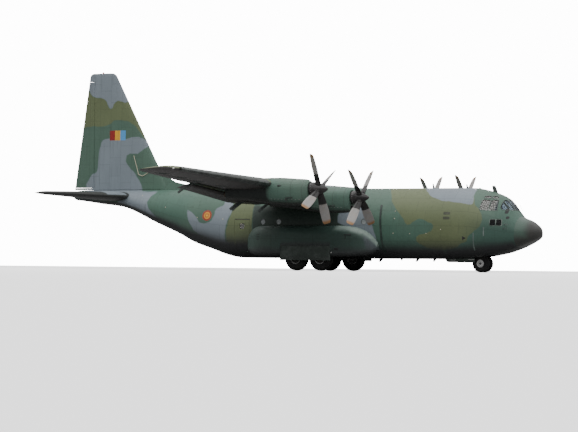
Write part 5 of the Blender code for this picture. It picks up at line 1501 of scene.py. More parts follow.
    def plan_map(self, points: np.ndarray) -> np.ndarray:
        """Metres along the chord and the span, for the seams."""
        return np.stack([np.abs(points[:, 1]), points[:, 0] + 40.0], axis=1)


WING = WingForm()


def plane_cut(a: Vector, b: Vector, point: Vector, normal: Vector) -> Vector:
    """Where the line through two points meets a plane."""
    step = b - a
    return a + step * ((point - a).dot(normal) / step.dot(normal))


def trimmed(section: Callable[[float], Ring], span: tuple[float, float], ends: Sequence[Vector],
            normal: Vector) -> list[Ring]:
    """Rings of a ruled piece whose ends are cut square to its hinge line."""
    inner, outer = section(span[0]), section(span[1])
    return [[plane_cut(a, b, point, normal) for a, b in zip(inner, outer)] for point in ends]


def hinged_section(centre: Vector, edge: Vector, radius: float, blunt: float = 0.008) -> Ring:
    """A control surface's outline: a round nose about its hinge, then straight to the trailing edge."""
    aft = (edge - centre).normalized()
    flat = Vector((aft.x, 0, aft.z)).normalized()
    up = Vector((-flat.z, 0, flat.x))
    if up.z < 0:
        up = -up
    nose = [centre + up * (radius * math.cos(a)) - flat * (radius * math.sin(a))
            for a in (math.pi * k / 18 for k in range(19))]
    sides = [[edge + up * blunt + (nose[0] - edge - up * blunt) * s for s in (0, 0.25, 0.5, 0.75)],
             [nose[-1] + (edge - up * blunt - nose[-1]) * s for s in (0.25, 0.5, 0.75, 1.0)]]
    return sides[0] + nose + sides[1]


def bay_section(centre: Vector, edge: Vector, radius: float) -> Ring:
    """A control surface's square-cornered bay."""
    aft = (edge - centre).normalized()
    up = Vector((-aft.z, 0, aft.x))
    if up.z < 0:
        up = -up
    front, back = centre - aft * (radius + RUN_GAP), edge + aft * 0.6
    return [back + up, front + up, front - up, back - up]


@dataclass
class HingedSurface:
    """A control surface with round pivots at its ends, and the bay it hangs in."""

    section: Callable[[float], Ring]
    bay: Callable[[float], Ring]
    hinge: Callable[[float], Vector]
    span: tuple[float, float]
    limits: tuple[float, float]

    def parts(self) -> tuple[Shape, Shape, list[Shape]]:
        """The port surface, its bay's cutter and its two pivots."""
        axis = (self.hinge(self.limits[1]) - self.hinge(self.limits[0])).normalized()
        ends = [self.hinge(v) for v in self.limits]
        cutter = Shape().loft(trimmed(self.bay, self.span, ends, axis))
        count = 24
        inner = [ends[0] + axis * RUN_GAP, ends[1] - axis * RUN_GAP]
        rows = [inner[0] + (inner[1] - inner[0]) * (k / count) for k in range(count + 1)]
        surface = Shape().loft(trimmed(self.section, self.span, rows, axis))
        bosses = [Shape().rod(end + axis * (way * SEAT_GAP), end + axis * (way * (RUN_GAP + 0.03)), 0.035, 20)
                  for end, way in ((ends[0], 1), (ends[1], -1))]
        return surface, cutter, bosses


@dataclass
class Wing:
    """Centre section, outer wings, flaps, ailerons, their tracks and their small fittings."""

    form: WingForm = field(default_factory=lambda: WING)
    flap_limits: dict = field(default_factory=lambda: {"inner": (2.30, 5.50), "outer": (5.72, 13.50)})
    aileron_limits: tuple[float, float] = (13.70, 18.90)
    flap_down: float = math.radians(9.0)

    def settle_skin(self, made: bpy.types.Object, body: str, nodes: Sequence[str] = ()) -> None:
        """Paint a piece of the wing and register it."""
        finish_painted(made, body, Paints.wing, Cover.PLAN, self.form.plan_map, nodes, 30.0)

    def flap_parts(self, place: str) -> tuple[Shape, Shape, list[Shape]]:
        """The port flap turned down, its bay's cutter and its two track plates."""
        form, limits = self.form, self.flap_limits[place]
        span = (0.0, form.break_y) if place == "inner" else (form.break_y, form.tip_y)
        axis = (form.flap_hinge(limits[1]) - form.flap_hinge(limits[0])).normalized()
        if place == "inner":
            axis = Vector((0, 1, 0))
        ends = [form.point(y, 1.0, 0.0) for y in limits]
        cutter = Shape().loft(trimmed(form.cove, span, ends, axis))
        inner = [ends[0] + axis * RUN_GAP, ends[1] - axis * RUN_GAP]
        count = 10 if place == "inner" else 22
        rows = [inner[0] + (inner[1] - inner[0]) * (k / count) for k in range(count + 1)]
        pivot = form.flap_hinge(limits[0])
        turn = Matrix.Translation(pivot) @ Matrix.Rotation(-self.flap_down, 4, axis) @ Matrix.Translation(-pivot)
        flap = Shape().loft(trimmed(form.flap, span, rows, axis))
        plates = []
        for k, (end, out) in enumerate(((ends[0], -1), (ends[1], 1))):
            y = limits[k]
            centre = plane_cut(pivot, pivot + axis, end, axis)
            seat = plane_cut(*[form.point(v, 0.80, form.surface(v, 0.80)[1] * 0.35) for v in span], end, axis)
            inward = axis * -out
            flap.rod(seat + inward * SEAT_GAP, seat + inward * (RUN_GAP + 0.03), 0.035, 20)
            reach, radius = (seat - centre).normalized(), (seat - centre).length
            half = 0.075 * form.shape(y)[0] / form.root_chord
            angles = [math.radians(1.5 - 24.5 * n / 16) for n in range(17)]
            outline = []
            for r in (radius - half, radius + half):
                arc = [centre + (Matrix.Rotation(a, 3, axis) @ reach) * r for a in angles]
                outline += arc if r < radius else arc[::-1]
            plates.append(Shape().loft([outline, [p + axis * (0.045 * out) for p in outline]]))
        return flap.moved(turn), cutter, plates

    def build(self) -> None:
        """Make every piece of the wing.
        """
        form = self.form
        gap = SEAT_GAP / 2
        rows = [-form.break_y + gap + (2 * form.break_y - 2 * gap) * k / 24 for k in range(25)]
        centre = Shape().loft([form.ring(y) for y in rows]).object("wing_centre_skin")
        inner = self.flap_parts("inner")
        outer = self.flap_parts("outer")
        aileron = HingedSurface(
            lambda y: hinged_section(form.aileron_hinge(y), form.point(y, 1.0, 0.0),
                                     0.5 * (form.surface(y, 0.74)[0] - form.surface(y, 0.74)[1])),
            lambda y: bay_section(form.aileron_hinge(y), form.point(y, 1.0, 0.0),
                                  0.5 * (form.surface(y, 0.74)[0] - form.surface(y, 0.74)[1])),
            form.aileron_hinge, (form.break_y, form.tip_y), self.aileron_limits).parts()
        carve(centre, [inner[1], inner[1].port()])
        self.settle_skin(centre, "root", ["wing_centre"])
        rings = [form.ring(form.break_y + gap + (form.tip_start - form.break_y - gap) * k / 40) for k in range(41)]
        rings += [form.tip_ring(form.tip_start + (HALF_SPAN - form.tip_start) * math.sin(math.pi / 2 * k / 12))
                  for k in range(1, 13)]
        for word, side in SIDES:
            way = facing(side)
            skin = way(Shape().loft(rings)).object(f"wing_skin_{word}")
            carve(skin, [way(outer[1]), way(aileron[1])])
            self.settle_skin(skin, "root", [f"wing_{word}"])
            for place, parts in (("inner", inner), ("outer", outer)):
                flap = way(parts[0]).object(f"flap_skin_{place}_{word}")
                self.settle_skin(flap, f"flap_{place}_{word}", [f"flap_{place}_{word}"])
                tracks = Shape()
                for plate in parts[2]:
                    tracks.add(way(plate))
                settle(tracks.object(f"flap_tracks_{place}_{word}"), "root", Paints.mast)
            surface = way(aileron[0]).object(f"aileron_skin_{word}")
            carve(surface, [way(b) for b in aileron[2]], "UNION")
            self.settle_skin(surface, f"aileron_{word}", [f"aileron_{word}"])
            self.build_edges(word, way)

    def build_edges(self, word: str, way: Callable[[Shape], Shape]) -> None:
        """Add the pale leading-edge strips, the hinge fairings and the tip lamp of one wing.

        Args:
            word: left or right.
            way: Turns a port shape to that side.
        """
        form = self.form
        strips = Shape()
        for low, high in ((2.35, 4.25), (5.68, 9.45), (10.92, 19.85)):
            rings = []
            for k in range(25):
                y = low + (high - low) * k / 24
                shares = [0.060, 0.040, 0.024, 0.012, 0.004]
                outer = [form.point(y, f, form.surface(y, f)[0] + 0.010) for f in shares]
                outer.append(form.point(y, 0.0, 0.0) + Vector((0.010, 0, 0)))
                outer += [form.point(y, f, form.surface(y, f)[1] - 0.010) for f in reversed(shares)]
                inner = [form.point(y, f, form.surface(y, f)[0] - 0.004) for f in shares]
                inner.append(form.point(y, 0.0, 0.0) - Vector((0.006, 0, 0)))
                inner += [form.point(y, f, form.surface(y, f)[1] + 0.004) for f in reversed(shares)]
                rings.append(outer + inner[::-1])
            strips.loft(rings)
        settle(way(strips).object(f"leading_edge_strip_{word}"), "root", Paints.boot)
        fairings = Shape()
        for y in (14.6, 16.6, 18.7):
            chord = form.shape(y)[0]
            base = form.point(y, 0.66, form.surface(y, 0.66)[1])
            profile = [(0.22 * chord, 0.006), (0.15 * chord, 0.030), (0.06 * chord, 0.045), (-0.02 * chord, 0.040),
                       (-0.05 * chord, 0.006)]
            fairings.turned(profile, (base.x, y, base.z - 0.012), "X", 20)
        for y in (7.6, 12.3):
            base = form.point(y, 0.60, form.surface(y, 0.60)[1])
            profile = [(0.62, 0.008), (0.45, 0.040), (0.20, 0.058), (-0.05, 0.050), (-0.16, 0.010)]
            fairings.turned(profile, (base.x, y, base.z - 0.006), "X", 20)
        settle(way(fairings).object(f"hinge_fairings_{word}"), "root", Paints.mast)
        tip = form.point(form.tip_y, 0.12, 0.0)
        lamp = Shape().turned([(0.10, 0.006), (0.085, 0.030), (0.03, 0.042), (-0.06, 0.040), (-0.10, 0.010)],
                              (tip.x - 0.02, HALF_SPAN - 0.055, tip.z + 0.02), "X", 20)
        settle(way(lamp).object(f"tip_lamp_{word}"), "root",
               Paints.red_lamp if word == "left" else Paints.lamp)


# Tail

@dataclass
class TailForm:
    """Planforms and sections of the fin and the tailplane."""

    fin_hinge_x: float = -28.50
    half_span: float = 8.02
    level: float = 4.27
    hinge: float = 0.70
    steps: int = 28

    @staticmethod
    def thickness(fraction: float) -> float:
        """Half thickness of a symmetric section, its largest about one."""
        f = fraction
        return 5 * (0.2969 * math.sqrt(f) - 0.126 * f - 0.3516 * f ** 2 + 0.2843 * f ** 3 - 0.1036 * f ** 4) / 0.5

    def thin_ring(self, lead: float, trail: float, half: float, place: Callable[[float, float], Vector]) -> Ring:
        """A symmetric section between two edges, laid out by a function of x and half thickness."""
        cuts = [0.5 * (1 - math.cos(math.pi * k / self.steps)) for k in range(self.steps + 1)]
        ring = []
        for way in (1, -1):
            for f in (reversed(cuts[1:]) if way > 0 else cuts):
                thick = half * self.thickness(f) + 0.006 * f
                ring.append(place(lead + (trail - lead) * f, way * thick))
        return ring

    @staticmethod
    def fin_chord(z: float) -> tuple[float, float]:
        """Leading and trailing edges of the fin and its rudder at a height."""
        share = (z - 4.68) / (11.61 - 4.68)
        return -23.30 - 3.72 * share, -29.78 + 1.00 * share

    def fin_ring(self, z: float, shrink: float = 1.0) -> Ring:
        """The fin's section at a height, drawn in about its middle near the tip."""
        lead, trail = self.fin_chord(z)
        middle = 0.5 * (lead + trail)
        lead, trail = middle + (lead - middle) * shrink, middle + (trail - middle) * shrink
        half = (0.105 * (lead - trail) * 0.5 - 0.02) * shrink
        return self.thin_ring(lead, trail, half, lambda x, t: Vector((x, t, z)))

    def fin_half(self, z: float) -> float:
        """Half the fin's thickness at the rudder's hinge."""
        lead, trail = self.fin_chord(z)
        f = (lead - self.fin_hinge_x) / (lead - trail)
        return (0.105 * (lead - trail) * 0.5 - 0.02) * self.thickness(f) + 0.006 * f

    def rudder_section(self, z: float) -> Ring:
        """The rudder's outline at a height."""
        edge, radius = Vector((self.fin_chord(z)[1], 0, z)), self.fin_half(z)
        nose = [Vector((self.fin_hinge_x + radius * math.sin(a), radius * math.cos(a), z))
                for a in (math.pi * k / 18 for k in range(19))]
        left, right = edge + Vector((0, 0.006, 0)), edge - Vector((0, 0.006, 0))
        return ([left + (nose[0] - left) * s for s in (0, 0.25, 0.5, 0.75)] + nose
                + [nose[-1] + (right - nose[-1]) * s for s in (0.25, 0.5, 0.75, 1.0)])

    def tail_chord(self, y: float) -> tuple[float, float]:
        """Leading and trailing edges of the tailplane at a distance out."""
        share = abs(y) / self.half_span
        return -25.28 - 1.45 * share, -29.02 + 1.35 * share

    def tail_half(self, y: float) -> float:
        """Half the tailplane's greatest thickness at a distance out."""
        lead, trail = self.tail_chord(y)
        return 0.0725 * (lead - trail) + 0.03

    def tail_ring(self, y: float, shrink: float = 1.0) -> Ring:
        """The tailplane's section at a distance out."""
        lead, trail = self.tail_chord(y)
        middle = 0.5 * (lead + trail)
        lead, trail = middle + (lead - middle) * shrink, middle + (trail - middle) * shrink
        half = self.tail_half(y) * shrink * shrink
        return self.thin_ring(lead, trail, half, lambda x, t: Vector((x, y, self.level + t)))

    def elevator_centre(self, y: float) -> Vector:
        """The elevator's hinge point."""
        lead, trail = self.tail_chord(y)
        return Vector((lead + (trail - lead) * self.hinge, y, self.level))

    def elevator_radius(self, y: float) -> float:
        """Half the tailplane's thickness at the elevator's hinge."""
        return self.tail_half(y) * self.thickness(self.hinge) + 0.006 * self.hinge

    def notch(self) -> Shape:
        """What the tailplane takes out of the hull and the fin."""
        grow = SEAT_GAP * 1.5
        rings = []
        for y in (-2.0, 0.0, 2.0):
            lead, trail = self.tail_chord(y)
            rings.append(self.thin_ring(lead + 4 * grow, trail - grow, self.tail_half(y), lambda x, t, y=y: Vector(
                (x, y, self.level + t + (math.copysign(grow, t) if abs(t) > 1e-6 else 0.0)))))
        return Shape().loft(rings)


TAIL = TailForm()


@dataclass
class Tail:
    """Fin, rudder, tailplane and elevators."""

    form: TailForm = field(default_factory=lambda: TAIL)
    rudder_z: tuple[float, float] = (4.80, 11.15)
    elevator_y: tuple[float, float] = (0.97, 7.45)
    fin_low: float = 4.6812
    fin_top: float = 11.66

    def build_fin(self) -> None:
        """Make the fin with its dorsal fillet and round tip, and the rudder."""
        form = self.form
        rings = [form.fin_ring(self.fin_low + (11.46 - self.fin_low) * k / 40) for k in range(41)]
        for k in range(1, 9):
            angle = math.pi / 2 * k / 8
            rings.append(form.fin_ring(11.46 + (self.fin_top - 11.46) * math.sin(angle),
                                       0.72 + 0.28 * math.cos(angle)))
        fin = Shape().loft(rings).object("fin_skin")
        fillet = Shape()
        outline = [(-24.6, 4.6812), (-19.85, 4.6812), (-20.7, 4.755), (-21.5, 4.86), (-22.2, 4.985), (-22.9, 5.14),
                   (-23.8, 5.62), (-24.6, 6.2)]
        halves = [0.14 if z < 4.7 else 0.14 * (0.62 if x > -22 else 0.40) for x, z in outline]
        fillet.loft([[Vector((x, h, z)) for (x, z), h in zip(outline, halves)],
                     [Vector((x, -h, z)) for (x, z), h in zip(outline, halves)]])
        carve(fin, [fillet], "UNION")
        front = [(form.fin_hinge_x + form.fin_half(z) + RUN_GAP, z) for z in self.rudder_z]
        bay = Shape().loft([[Vector((-30.5, 1, z)), Vector((x, 1, z)), Vector((x, -1, z)), Vector((-30.5, -1, z))]
                            for x, z in front])
        carve(fin, [bay, form.notch()])
        finish_painted(fin, "root", Paints.fin, Cover.SIDE, self.upright_map, ["fin"])
        low, high = self.rudder_z[0] + RUN_GAP, self.rudder_z[1] - RUN_GAP
        rudder = Shape().loft([form.rudder_section(low + (high - low) * k / 36) for k in range(37)])
        made = rudder.object("rudder_skin")
        bosses = [Shape().rod((form.fin_hinge_x, 0, a), (form.fin_hinge_x, 0, b), 0.035, 20)
                  for a, b in ((self.rudder_z[0] + SEAT_GAP, low + 0.03), (self.rudder_z[1] - SEAT_GAP, high - 0.03))]
        carve(made, bosses, "UNION")
        finish_painted(made, "rudder", Paints.fin, Cover.SIDE, self.upright_map, ["rudder"])

    @staticmethod
    def upright_map(points: np.ndarray) -> np.ndarray:
        """Metres up and along the fin, for the seams."""
        return np.stack([points[:, 2], points[:, 0] + 40.0], axis=1)

    def build_tailplane(self) -> None:
        """Make the tailplane and its elevators."""
        form = self.form
        tip = form.half_span
        places = [(-tip + 0.30) + (2 * tip - 0.60) * k / 56 for k in range(57)]
        ends = [(0.30 * (1 - math.sin(math.pi / 2 * k / 6)), 0.6 + 0.4 * math.cos(math.pi / 2 * k / 6))
                for k in range(1, 7)]
        rings = [form.tail_ring(-tip + d, s) for d, s in reversed(ends)] + [form.tail_ring(y) for y in places]
        rings += [form.tail_ring(tip - d, s) for d, s in ends]
        plane = Shape().loft(rings).object("tailplane_skin")
        surface = HingedSurface(
            lambda y: hinged_section(form.elevator_centre(y), Vector((form.tail_chord(y)[1], y, form.level)),
                                     form.elevator_radius(y), 0.006),
            lambda y: bay_section(form.elevator_centre(y), Vector((form.tail_chord(y)[1], y, form.level)),
                                  form.elevator_radius(y)),
            form.elevator_centre, (0.001, tip - 0.30), self.elevator_y).parts()
        carve(plane, [surface[1], surface[1].port()])
        finish_painted(plane, "root", Paints.tail, Cover.PLAN, WING.plan_map, ["tailplane"], 30.0)
        spots = mesh_points(plane.data)
        chords = np.array([form.tail_chord(y) for y in spots[:, 1]])
        store(plane.data, Tone.DEEP.value, 0.34 * (chords[:, 0] - chords[:, 1]) - (chords[:, 0] - spots[:, 0]))
        for word, side in SIDES:
            way = facing(side)
            made = way(surface[0]).object(f"elevator_skin_{word}")
            carve(made, [way(b) for b in surface[2]], "UNION")
            finish_painted(made, f"elevator_{word}", Paints.tail, Cover.PLAN, WING.plan_map,
                           [f"elevator_{word}"], 30.0)


# Repeats

def make_repeater() -> None:
    """Build the geometry nodes that set a piece on every marked point."""
    tree = bpy.data.node_groups.new("repeat_piece", "GeometryNodeTree")
    for label, kind in (("Geometry", "NodeSocketGeometry"), ("Piece", "NodeSocketObject"),
                        ("Finish", "NodeSocketMaterial"), ("Spread", "NodeSocketFloat"), ("Seed", "NodeSocketInt")):
        tree.interface.new_socket(label, in_out="INPUT", socket_type=kind)
    tree.interface.new_socket("Geometry", in_out="OUTPUT", socket_type="NodeSocketGeometry")
    bench = Bench(tree)
    entry, leave = bench.node("NodeGroupInput"), bench.node("NodeGroupOutput")
    piece = bench.node("GeometryNodeObjectInfo", {"Object": entry.outputs["Piece"]})
    turn = bench.node("GeometryNodeInputNamedAttribute", {"Name": "turn"}, data_type="FLOAT_VECTOR")
    rotation = bench.node("FunctionNodeEulerToRotation", {0: turn.outputs["Attribute"]})
    low = bench.math("SUBTRACT", 1.0, entry.outputs["Spread"])
    high = bench.math("ADD", 1.0, entry.outputs["Spread"])
    size = bench.node("FunctionNodeRandomValue", {2: low, 3: high, "Seed": entry.outputs["Seed"]}, data_type="FLOAT")
    placed = bench.node("GeometryNodeInstanceOnPoints", {
        "Points": entry.outputs["Geometry"], "Instance": piece.outputs["Geometry"],
        "Rotation": rotation.outputs[0], "Scale": size.outputs[1]})
    real = bench.node("GeometryNodeRealizeInstances", {0: placed.outputs[0]})
    dressed = bench.node("GeometryNodeSetMaterial", {"Geometry": real.outputs[0], "Material": entry.outputs["Finish"]})
    tree.links.new(dressed.outputs[0], leave.inputs[0])


def repeat(name: str, piece: Shape, places: Sequence[tuple[Sequence[float], Sequence[float]]], body: str,
           paint: Finish, spread: float = 0.0, seed: int = 7, angle: float = 32.0) -> None:
    """Set copies of a small shape at marked places and register them as one mesh.

    Args:
        name: The finished piece's name.
        piece: The shape, drawn about the nose tip's origin.
        places: Each copy's real-size place and its three turns in radians.
        body: The body that the copies ride on.
        paint: Their finish.
        spread: How far their sizes differ, as a share.
        seed: Seed of those differences.
        angle: Edges sharper than this many degrees stay sharp.
    """
    template = piece.object(f"{name}_template")
    template.data.transform(Matrix.Translation(-to_model(Vector((0, 0, 0)))))
    mesh = bpy.data.meshes.new(name)
    mesh.from_pydata([to_model(Vector(place)) for place, _ in places], [], [])
    layer = mesh.attributes.new("turn", "FLOAT_VECTOR", "POINT")
    layer.data.foreach_set("vector", [float(a) for _, turn in places for a in turn])
    made = bpy.data.objects.new(name, mesh)
    bpy.context.collection.objects.link(made)
    step = made.modifiers.new("repeat", "NODES")
    step.node_group = bpy.data.node_groups["repeat_piece"]
    sockets = {item.name: item.identifier for item in step.node_group.interface.items_tree
               if item.in_out == "INPUT"}
    for label, value in (("Piece", template), ("Finish", paint.build()), ("Spread", spread), ("Seed", seed)):
        step[sockets[label]] = value
    apply_modifiers(made)
    drop(template)
    settle(made, body, paint, angle=angle)


# Engines

@dataclass(frozen=True)
class Engine:
    """One nacelle with its propeller."""

    number: int
    side: int
    y: float
    z: float
    turn: float
    rows: tuple = ((-9.16, 0.42, 0.42, 0.70), (-9.34, 0.52, 0.52, 0.80), (-9.90, 0.60, 0.56, 0.84),
                   (-11.00, 0.62, 0.62, 0.80), (-12.10, 0.60, 0.60, 0.68), (-13.20, 0.44, 0.40, 0.55),
                   (-14.10, 0.27, 0.00, 0.48))
    hub_x: float = -8.66
    blades: tuple = ((0.22, 0.30, 0.18, 78), (0.50, 0.38, 0.13, 72), (0.90, 0.43, 0.075, 66), (1.35, 0.48, 0.045, 62),
                     (1.80, 0.45, 0.030, 58), (2.03, 0.34, 0.020, 56), (2.055, 0.20, 0.012, 55.5))

    @property
    def middle(self) -> tuple[float, float]:
        """The hub's real place across and up."""
        return self.side * self.y, self.z

    def row(self, x: float) -> list[float]:
        """Half width, height and depth of the cowl at a station, eased between the listed ones."""
        xs = [r[0] for r in self.rows]
        k = max(n for n in range(len(xs) - 1) if xs[n] >= x - 1e-9)
        step = xs[k + 1] - xs[k]
        t = (x - xs[k]) / step
        found = []
        for column in (1, 2, 3):
            ys = [r[column] for r in self.rows]
            slopes = smooth_slopes(xs, ys)
            found.append((2 * t ** 3 - 3 * t ** 2 + 1) * ys[k] + (t ** 3 - 2 * t ** 2 + t) * slopes[k] * step
                         + (3 * t ** 2 - 2 * t ** 3) * ys[k + 1] + (t ** 3 - t ** 2) * slopes[k + 1] * step)
        return found

    def ring(self, x: float, inset: float = 0.0) -> Ring:
        """The cowl's outline at a station: round above the hub and boxier below it."""
        half, high, deep = (max(v - inset, 0.004) for v in self.row(x))
        y, z = self.middle
        ring = []
        for k in range(56):
            angle = 2 * math.pi * k / 56
            c, s = math.cos(angle), math.sin(angle)
            if s >= 0:
                ring.append(Vector((x, y + half * c, z + high * s)))
            else:
                ring.append(Vector((x, y + half * math.copysign(abs(c) ** 0.75, c), z - deep * abs(s) ** 0.85)))
        return ring

    def cowl_map(self, points: np.ndarray) -> np.ndarray:
        """Metres along and round the cowl, for its seams."""
        y, z = self.middle
        turn = np.arctan2(points[:, 2] - z, points[:, 1] - y)
        return np.stack([points[:, 0] + 40.0, turn * 0.58 + 10.0], axis=1)

    def build_cowl(self) -> None:
        """Make the nacelle with its chin intake, lip, nozzle, vents, seam bands and latches."""
        y, z = self.middle
        xs = [-9.16 - (14.10 - 9.16) * k / 44 for k in range(45)]
        shell = Shape().loft([self.ring(x) for x in xs]).object(f"cowl_{self.number}")
        chin = [Vector((0, y + 0.228 * math.cos(a), z - 0.56 + 0.12 * math.sin(a)))
                for a in around(40)]
        rows = [self.y - 0.75 + 0.15 * k for k in range(11)]
        wing = Shape().loft([WING.ring(v if v != 5.585 else 5.584, SEAT_GAP * 1.5) for v in rows])
        wing = wing if self.side > 0 else wing.port()
        carve(shell, [wing])
        carve(shell, [Shape().loft([[p + Vector((x, 0, 0)) for p in chin] for x in (-9.0, -9.62)]),
                      Shape().rod((-13.75, y, z - 0.25), (-14.5, y, z - 0.25), 0.17, 36)])
        finish_painted(shell, "root", Paints.cowl, Cover.PLAIN, self.cowl_map,
                       [f"nacelle_{self.number}"])
        # Deep tone aft of the wing's leading edge and below the hub: painted shade under the outer wing, with exhaust
        # soot
        places = mesh_points(shell.data)
        store(shell.data, Tone.DEEP.value, np.minimum(-11.42 - places[:, 0], self.z + 0.30 - places[:, 2]))
        centre = Vector((0, y, z - 0.56))
        lip = Shape().hoop([[Vector((-9.168 + 0.022 * math.cos(b), y + (0.228 + 0.022 * math.sin(b)) * math.cos(a),
                                     z - 0.56 + (0.120 + 0.022 * math.sin(b)) * math.sin(a)))
                             for a in around(40)]
                            for b in around(10)])
        settle(lip.object(f"intake_lip_{self.number}"), "root", Paints.boot)
        # A black plug with vanes at the back of the intake: painted shade of the deep duct behind it
        duct = Shape().loft([[Vector((x, p.y, p.z)) for p in chin] for x in (-9.56, -9.60)])
        for k in range(5):
            across = y - 0.16 + 0.08 * k
            duct.block((-9.54, across - 0.006, centre.z - 0.10), (-9.40, across + 0.006, centre.z + 0.10), 0.002)
        settle(duct.object(f"intake_duct_{self.number}"), "root", Paints.seal)
        nozzle = Shape().hoop([[Vector((x, y + r * math.cos(a), z - 0.25 + r * math.sin(a)))
                                for a in around(36)]
                               for x, r in ((-13.90, 0.160), (-14.18, 0.152), (-14.24, 0.150), (-14.24, 0.138),
                                            (-14.18, 0.138), (-13.90, 0.146))])
        settle(nozzle.object(f"exhaust_{self.number}"), "root", Paints.exhaust)
        vents = Shape()
        for side in (1, -1):
            half = self.row(-10.15)[0]
            for low, high in (((-10.34, -0.49), (-9.94, -0.445)), ((-10.35, -0.63), (-10.27, -0.47))):
                near, far = sorted((y + side * half * 0.955, y + side * (half * 1.0 + 0.006)))
                vents.block((low[0], near, z + low[1]), (high[0], far, z + high[1]), 0.02)
            vents.turned([(0.14, 0.004), (0.07, 0.030), (-0.06, 0.046), (-0.10, 0.010)],
                         (-10.72, y + side * self.row(-10.72)[0] * 0.975, z + 0.17), "X", 14)
        settle(vents.object(f"cowl_vents_{self.number}"), "root", Paints.seal)
        seams = Shape()
        for x in (-9.42, -10.05, -11.35):
            outer, inner = self.ring(x, -0.004), self.ring(x, 0.006)
            back = [p - Vector((0.022, 0, 0)) for p in outer]
            seams.hoop([outer, back, [p - Vector((0.022, 0, 0)) for p in inner], inner])
        settle(seams.object(f"cowl_bands_{self.number}"), "root", Paints.band)
        latch = Shape().block((-0.030, -0.012, -0.005), (0.030, 0.012, 0.005), 0.003)
        places = []
        for side in (1, -1):
            for k in range(9):
                x = -9.60 - 0.20 * k
                half, _, deep = self.row(x)
                angle = math.radians(-38 if side > 0 else -142)
                c, s = math.cos(angle), math.sin(angle)
                places.append(((x, y + half * math.copysign(abs(c) ** 0.75, c) * 1.003,
                                z - deep * abs(s) ** 0.85), (side * math.radians(62), 0, 0)))
        repeat(f"cowl_latches_{self.number}", latch, places, "root",
               Paints.leg, 0.08, 11 + self.number)

    def blade(self) -> Shape:
        """One blade standing up from the hub, its leading edge turned to starboard."""
        rows = self.blades
        radii = [r[0] for r in rows]
        slopes = [smooth_slopes(radii, [r[k] for r in rows]) for k in (1, 2, 3)]
        rings = []
        cuts = [0.22 + (2.03 - 0.22) * k / 34 for k in range(35)] + [2.043, 2.052, 2.0555]
        for radius in cuts:
            reach = min(radius, 2.03)
            n = max(m for m in range(len(radii) - 2) if radii[m] <= reach + 1e-9)
            step = radii[n + 1] - radii[n]
            t = (reach - radii[n]) / step
            values = []
            for column in range(3):
                a, b = rows[n][column + 1], rows[n + 1][column + 1]
                values.append((2 * t ** 3 - 3 * t ** 2 + 1) * a + (t ** 3 - 2 * t ** 2 + t) * slopes[column][n] * step
                              + (3 * t ** 2 - 2 * t ** 3) * b + (t ** 3 - t ** 2) * slopes[column][n + 1] * step)
            chord, thick, pitch = values
            if radius > 2.03:
                chord *= math.sqrt(max(0.02, 1 - ((radius - 2.03) / 0.027) ** 2))
                thick *= 0.6
            turn = math.radians(-pitch)
            edge = Vector((math.sin(turn), math.cos(turn), 0))
            face = Vector((math.cos(turn), -math.sin(turn), 0))
            ring = []
            for k in range(24):
                angle = 2 * math.pi * k / 24
                lean = 0.12 * thick * (1 - math.cos(2 * angle))
                ring.append(Vector((0, 0, radius)) + edge * (0.5 * chord * math.cos(angle))
                            + face * (0.5 * thick * math.sin(angle) + lean))
            rings.append(ring)
        return Shape().loft(rings)

    def build_propeller(self) -> None:
        """Make the spinner with its cuffs and plates, and set four blades round it."""
        y, z = self.middle
        body = f"propeller_{self.number}"
        tip_x, back = self.hub_x + 0.50, -9.14
        profile = [(0.0, 0.012), (-0.010, 0.034), (-0.03, 0.057), (-0.07, 0.088), (-0.12, 0.122), (-0.18, 0.158),
                   (-0.24, 0.191), (-0.31, 0.227), (-0.38, 0.261), (-0.46, 0.294), (-0.54, 0.325), (-0.62, 0.349),
                   (-0.70, 0.368), (-0.706, 0.362),
                   (-0.714, 0.362), (-0.72, 0.368), (-0.90, 0.366), (back - tip_x, 0.358), (back - tip_x, 0.13),
                   (-9.158 - tip_x, 0.13)]
        hub = Shape().turned(profile, (tip_x, y, z), "X", 56)
        settle(hub.object(f"spinner_{self.number}"), body, Paints.spinner, [body], 40.0)
        turns = [math.radians(self.turn + 90 * k) for k in range(4)]
        places = [((self.hub_x, y, z), (a, 0, 0)) for a in turns]
        repeat(f"blades_{self.number}", self.blade(), places, body,
               BladePaint(f"blade_finish_{self.number}", self.middle), angle=50.0)
        cuff = Shape()
        rings = []
        for r, size in ((0.30, 0.150), (0.372, 0.150), (0.392, 0.140), (0.40, 0.118), (0.48, 0.108), (0.52, 0.090)):
            rings.append([Vector((size * math.cos(a), size * 0.92 * math.sin(a), r))
                          for a in around(32)])
        cuff.loft(rings)
        repeat(f"blade_cuffs_{self.number}", cuff, places, body, Paints.cuff)
        bolt = Shape().rod((0, 0, 0), (0, 0, 0.012), 0.014, 6)
        ring_of = []
        for k in range(24):
            a = 2 * math.pi * (k + 0.5) / 24
            ring_of.append(((-9.02, y - 0.366 * math.sin(a), z + 0.366 * math.cos(a)), (a, 0, 0)))
        repeat(f"spinner_bolts_{self.number}", bolt, ring_of, body,
               Paints.hub_ring, 0.06, 3)


ENGINES = (Engine(1, 1, 10.18, 4.29, 45.0), Engine(2, 1, 4.95, 4.01, 48.0), Engine(3, -1, 4.95, 4.01, 46.0),
           Engine(4, -1, 10.18, 4.29, 29.5))


# Sponsons and landing gear

